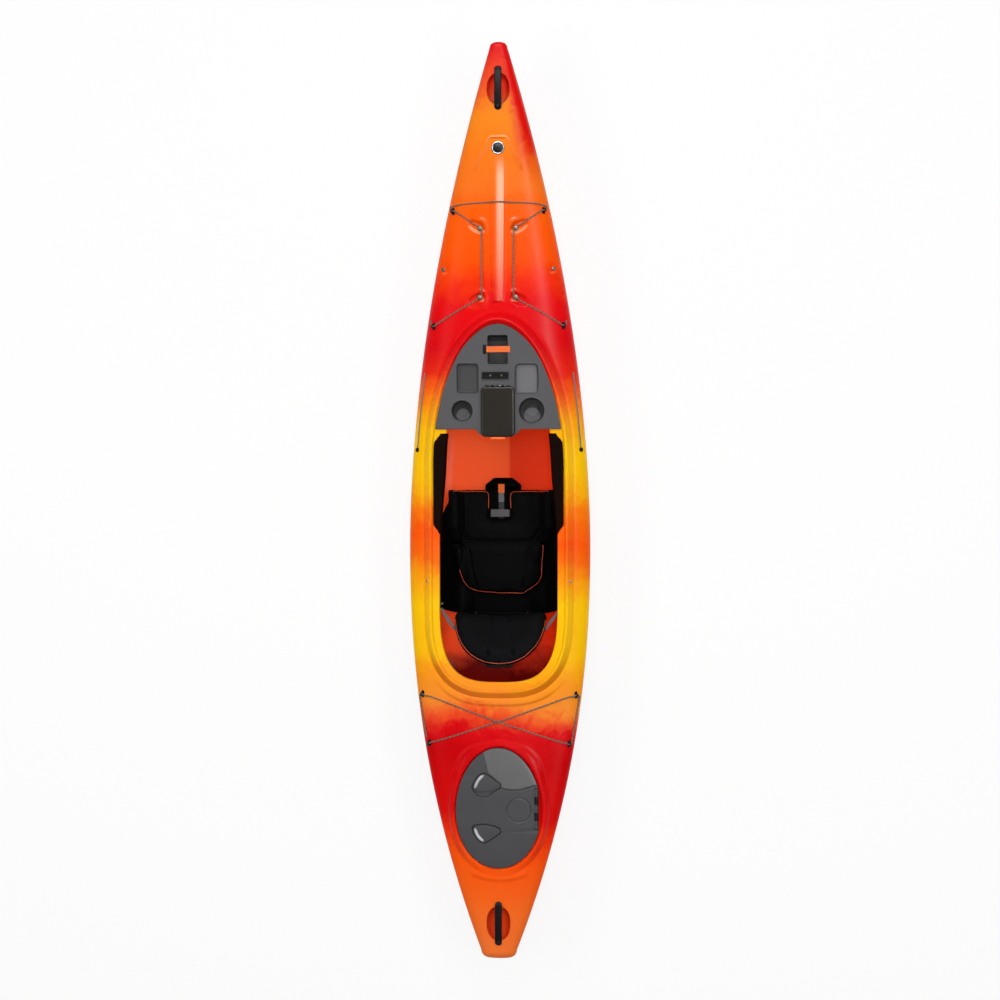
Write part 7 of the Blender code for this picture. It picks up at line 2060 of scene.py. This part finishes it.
tops = []
SIDES = [((half, 0.05), (NOTCH_X + NOTCH_HALF, -0.03)), ((NOTCH_X - NOTCH_HALF, -0.03), (-half - 0.01, 0.05))]
for start, end in SIDES:
    line = along_edge(front_plan, np.array(start), np.array(end), 0.005)
    tops.append(piping("front_piping", front, front_place(line[:, 0], line[:, 1], np.full(len(line), 0.03))))
made = join_meshes("front_piping", tops)
dress(made, piping_cover, "seat_fabric", "front_cushion", "seat_cushion_front", sharp=180.0)
start, end = (-pan_half(0.209), -0.29), (pan_half(0.199), -0.186)
line = along_edge(rear_plan, np.array(start), np.array(end), 0.004)
made = piping("rear_piping", rear, pan_place(line[:, 0], line[:, 1], np.full(len(line), 0.03)))
dress(made, piping_cover, "seat_fabric", "hull", "seat_cushion_rear", sharp=180.0)
across = np.linspace(-pan_half(0.212), pan_half(0.194), 120)
s, y = np.meshgrid(across, SPLIT_Y + np.linspace(-0.017, 0.017, 25), indexing="ij")
sink = 0.0024 * ease(1 - np.abs(y - SPLIT_Y) / 0.006) + 0.005 * ease(np.abs(y - SPLIT_Y) / 0.012 - 0.4)
fold = surface("cover_fold", pan_place(s, y, REST + 0.95 * CUSHION - sink), facing=(0, 0, 1))
thick = fold.modifiers.new("cloth", "SOLIDIFY")
thick.thickness, thick.offset = 0.0012, -1.0
dress(applied(fold), stretch_knit, "seat_fabric", None, "seat_cushion_rear", sharp=180.0)
start, end = ((0.0, SPLIT_Y + along, HINGE_TOP) for along in (0.01, -0.01))
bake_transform(fold)
print("piping and fold laid")

# %% [markdown]
# ## Bracket, pull strap and buckle
#
# A strap under the front cushion tips it up to carry the thighs. The paddler pulls an orange tab in the notch,
# the webbing slides through a grey buckle plate, and a low bracket on the floor carries the strap's front end.

# %% Strap pieces in the notch
bracket = [(-0.078, 0.044), (0.078, 0.044), (0.078, 0.073), (0.04, 0.103), (-0.04, 0.103), (-0.078, 0.073)]
rows = [(-0.0005, 0.0055), (0.0, 0.007), (-0.001, 0.016), (-0.004, 0.026)]
rows += [(-0.009, 0.034), (-0.015, 0.038), (-0.021, 0.0392)]
made = slab("floor_bracket", rounded_outline(bracket, 0.006), rows)
dress(made, pan_plastic, "black_plastic", "hull", "seat_front_bracket", sharp=60.0)
deck_z = PAN_FLOOR_Z + PAN_SHEET + 0.0003
STRAP_X = -0.006
y = np.linspace(-0.112, 0.004, 60)
path = np.stack([STRAP_X + 0 * y, y, deck_z + 0.0011 + 0 * y], axis=1)
dress(strip("pull_webbing", path, 0.023, 0.0019), dark_webbing, "webbing", "pull_strap", "pull_strap")
y = np.linspace(-0.002, 0.075, 50)
path = np.stack([STRAP_X + 0 * y, y, deck_z + 0.0022 + 0.0012 * ease((y + 0.002) / 0.03)], axis=1)
dress(strip("pull_end", path, 0.024, 0.002), webbing, "webbing", "pull_strap", "pull_strap")
y = np.linspace(0.0375, 0.0755, 30)
arch = 0.0012 * np.sin(np.pi * (y - 0.0375) / 0.038)
path = np.stack([STRAP_X + 0 * y, y, deck_z + 0.0055 + arch], axis=1)
made = strip("pull_loop", path, 0.0275, 0.0028)
dress(made, orange_webbing, "orange_plastic", "pull_strap", "pull_tab")
plate = [(-0.041, -0.0665), (-0.0395, -0.0335), (0.0395, -0.0335), (0.041, -0.0665)]
plate = rounded_outline([(NOTCH_X + x, y) for x, y in plate[::-1]], 0.004)
rows = rounded_edges(deck_z + 0.0035, deck_z + 0.011, 0.0022)
made = slab("buckle_plate", plate, rows)
legs = []
for x in (-0.031, 0.034):
    legs.append(block("leg", (0.018, 0.03, 0.002), (NOTCH_X + x, -0.05), (deck_z, deck_z + 0.005, 0.001)))
middle, heights = (NOTCH_X - 0.001, -0.0385), (deck_z + 0.0105, deck_z + 0.0122, 0.0008)
legs.append(block("ridge", (0.07, 0.005, 0.002), middle, heights))
made = join_meshes("buckle_plate", [made, *legs])
dress(made, console_plastic, "console_plastic", "hull", "strap_buckle", sharp=50.0)
print("bracket, strap, tab and buckle made")

# %% [markdown]
# ## Backrest
#
# A half-moon shell turns on a pin behind the seat and carries a cushion of three panels. Places on it are named
# by x across, v up its plane from the pin, and a height off its rear face. Its plane is bent round the back.

# %% Places on the backrest
BACK_PIN = np.array([0.0, -0.478, 0.105])
RECLINE = math.radians(48.0)
BACK_UP = np.array([0.0, -math.sin(RECLINE), math.cos(RECLINE)])
BACK_AHEAD = np.array([0.0, math.cos(RECLINE), math.sin(RECLINE)])
BACK_LOW, BACK_HIGH = 0.024, 0.284
BACK_WRAP = 0.9


def back_place(x, v, off):
    """Pin plus x across, v up the plane and off ahead of it, with a wrap that grows by x squared."""
    x, v, off = np.broadcast_arrays(x, v, off)
    sideways = np.stack([x, 0 * x, 0 * x], axis=-1)
    return BACK_PIN + sideways + v[..., None] * BACK_UP + (off + BACK_WRAP * x**2)[..., None] * BACK_AHEAD


def back_plan(scale):
    """Half-moon: half width 0.197 (1 - share^2.6)^(1/2.2), a little narrower at its low corners."""
    share = np.linspace(0, 1, 200)
    low = 1 - 0.1 * (1 - np.sqrt(1 - (1 - np.minimum(1, share / 0.14)) ** 2))
    half = 0.197 * low * (1 - share**2.6) ** (1 / 2.2) * scale
    v = BACK_LOW + (BACK_HIGH - BACK_LOW) * (0.5 + (share - 0.5) * scale)
    outline = np.vstack([np.column_stack([half, v]), np.column_stack([-half, v])[::-1]])
    return rounded_outline(outline, 0.01, 400)


def back_height(u, v, depth):
    """Thickness of the backrest cushion: a quarter round at its edge and a slow crown."""
    edge = np.sqrt(1 - (1 - np.clip(depth / 0.018, 0, 1)) ** 2)
    return 0.044 * (0.7 * edge + 0.26 * ease(depth / 0.07))


def behind_pad(places):
    """1 for points of the cushion that lie on the shell, 0 for its free face."""
    off = (places - BACK_PIN) @ BACK_AHEAD - BACK_WRAP * places[:, 0] ** 2
    return 1 - ease((off - 0.006) / 0.016)


pad = closed_form("backrest_cover", back_plan(1.0), back_place, back_height, 0.005, FORM_STEP)
pad = stuffed(pad, behind_pad)
BACK_SEAMS = [[(-0.045, 0.03), (-0.043, 0.046), (-0.033, 0.085), (-0.034, 0.15), (-0.047, 0.305)]]
BACK_SEAMS += [[(0.034, 0.03), (0.036, 0.046), (0.039, 0.11), (0.058, 0.22), (0.072, 0.3)]]
for seam in BACK_SEAMS:
    pressed(pad, [back_place(x, v, 0.046) for x, v in seam], 0.0056, 0.012, BACK_AHEAD)
back_knit, tree, shader, hue = variant(stretch_knit, "stretch knit of the backrest")
feed(tree, shader, {"Base Color": add(tree, "HueSaturation", {"Value": 3.0, "Color": hue})})
dress(pad, back_knit, "seat_fabric", "backrest", "backrest_pad", sharp=180.0)
plan = back_plan(1.0)
line = plan[plan[:, 1] > 0.075]
start = int(np.argmax(np.linalg.norm(line - np.roll(line, 1, axis=0), axis=1)))
line = np.roll(line, -start, axis=0)
made = piping("backrest_piping", pad, back_place(line[:, 0] * 1.01, line[:, 1] * 1.005, 0.022))
dress(made, piping_cover, "seat_fabric", "backrest", "backrest_pad", sharp=180.0)
print("backrest cushion with", len(pad.data.polygons), "faces")

# %% Backrest shell, bar and pin


def shell_height(u, v, depth):
    """Even sheet with a rounded edge."""
    return 0.004 * np.sqrt(1 - (1 - np.clip(depth / 0.002, 0, 1)) ** 2)


shell = [closed_form("shell", back_plan(0.94), back_place, shell_height, 0.0, 0.0045)]
EAR = [(-0.009, -0.007), (-0.009, 0.009), (0.073, 0.0139), (0.073, 0.0009), (0.009, -0.009)]
for side, sign, x in sides(0.11):
    places = [BACK_PIN + v * BACK_UP + off * BACK_AHEAD for v, off in EAR]
    plan = rounded_outline([(place[1], place[2]) for place in places], 0.003)
    shell.append(moved(slab("ear", plan, rounded_edges(x - 0.004, x + 0.004, 0.0012)), TO_SIDE))
x = np.linspace(-0.057, 0.057, 40)
bar = back_place(x, 0.271, -0.006 + 0 * x - BACK_WRAP * x**2)
taper = 0.0085 * np.sqrt(np.clip(1 - (x / 0.0575) ** 8, 0.05, 1))
shell.append(tube("bar", bar, taper, up=tuple(BACK_AHEAD), around=20))
made = join_meshes("backrest_plate", shell)
dress(made, black_plastic, "black_plastic", "backrest", "backrest_shell", sharp=50.0)
turn_to_x = Matrix.Translation(BACK_PIN) @ Matrix.Rotation(math.pi / 2, 4, "Y")
rows = [(0.0, -0.14), (0.0032, -0.14), (0.004, -0.139), (0.004, 0.139), (0.0032, 0.14), (0.0, 0.14)]
dress(moved(lathe("backrest_rod", rows, 28), turn_to_x), blued, "steel", "hull", "backrest_pin")

# %% Tension straps of the backrest
s = pan_reach(0.16) - 0.014
for side, sign, _ in sides(0.0):
    slope = np.array([sign * math.cos(PAN_LEAN), 0.0, math.sin(PAN_LEAN)])
    back_stops = ((0.135, -0.0022), (0.178, -0.0022), (0.199, 0.004), (0.207, 0.022))
    stops_at = [back_place(sign * x, 0.105, off) for x, off in back_stops]
    stops_at += [pan_place(sign * s, SEAT_REAR + dy, PAN_SHEET + 0.0015) for dy in (-0.006, 0.022)]
    wide = [BACK_UP] * 4 + [slope] * 2
    path = smooth_route(np.array(stops_at), 0.004)
    at = lengths(np.array(stops_at)) / lengths(np.array(stops_at))[-1]
    run = lengths(path) / lengths(path)[-1]
    across = np.stack([np.interp(run, at, np.array(wide)[:, k]) for k in range(3)], axis=1)
    along = np.gradient(path, axis=0)
    made = strip(side + "_backrest_webbing", path, 0.02, 0.0019, up=np.cross(across, along))
    dress(made, webbing, "webbing", None, side + "_backrest_strap")
    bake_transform(made)
print("backrest made")

# %% [markdown]
# ## Thigh pads
#
# Each pad is a strip of closed cell foam glued over the widest part of the coaming. Its section is a rounded
# hook: it lies on the ledge and turns down over the lip. The section is worked out for each place along the
# boat, because the coaming changes under it, and both ends are cut off at a slant.

# %% Thigh pads
PAD_REAR, PAD_FRONT = -0.133, 0.282
crest = crest_outline(1600)
crest_side = crest[crest[:, 0] > 0][np.argsort(crest[crest[:, 0] > 0][:, 1])]


def pad_section(y):
    """Outline of a pad across the coaming at y: along the ledge, over the lip, and back along its own outside."""
    x = float(np.interp(y, crest_side[:, 1], crest_side[:, 0]))
    ledge = float(crest_height(y)) - LEDGE_DROP
    lip = x - float(ledge_width(y)) - 0.0006
    end = min(y - PAD_REAR, PAD_FRONT - y)
    slant = ease(1 - end / 0.042)
    round_end = math.sqrt(max(0.0, 1 - (1 - min(1.0, end / 0.006)) ** 2))
    outer = x - 0.007 - 0.022 * slant
    thick = (0.01 - 0.004 * slant) * (0.25 + 0.75 * round_end)
    hook = [(outer, ledge + 0.0004), (outer, ledge + 0.7 * thick), (outer - 0.006, ledge + thick)]
    hook += [(lip, ledge + 0.9 * thick - 0.001), (lip - 0.0065, ledge - 0.006), (lip - 0.006, ledge - 0.032)]
    hook += [(lip, ledge - 0.032), (lip - 0.0001, ledge - 0.008), (lip + 0.0035, ledge - 0.0008)]
    return rounded_outline(hook, 0.0022, 90)


for side, sign, _ in sides(0.0):
    ends = np.array([0.0, 0.0005, 0.0015, 0.003])
    places = np.concatenate([PAD_REAR + ends, np.linspace(-0.127, 0.276, 110), PAD_FRONT - ends[::-1]])
    rings = []
    for y in places:
        section = pad_section(y)
        ring = np.column_stack([sign * section[:, 0], np.full(len(section), y), section[:, 1]])
        rings.append(np.vstack([ring, ring[:1]]))
    made = fanned(side + "_thigh_foam", np.array(rings))
    dress(made, closed_foam, "thigh_foam", "hull", side + "_thigh_pad", sharp=50.0)
print("thigh pads made")

# %% [markdown]
# ## Foot braces and hangers
#
# The rails are extruded aluminium with rolled edges, screwed to the hull's sides. Each pedal slides on its rail
# and has ribs for grip. The hangers that carry the seat from the coaming are plain bent strips, and the CAD
# already has their shape, as it has the foam's, so these keep their solids and only get a finish.

# %% Finishes for the solids that stay
KEPT = {"bow_foam_pillar": body_foam, "rear_bulkhead": body_foam}
KEPT |= {f"{side}_{name}": finish for side in ("port", "starboard") for name, finish in (
    ("seat_hanger", pan_plastic), ("foot_rail", anodised), ("foot_pedal", black_plastic))}
for name, finish in KEPT.items():
    node = bpy.data.objects[name]
    for slot in node.material_slots:
        slot.link = "OBJECT"
        slot.material = finish
print(len(KEPT), "solids kept and dressed")
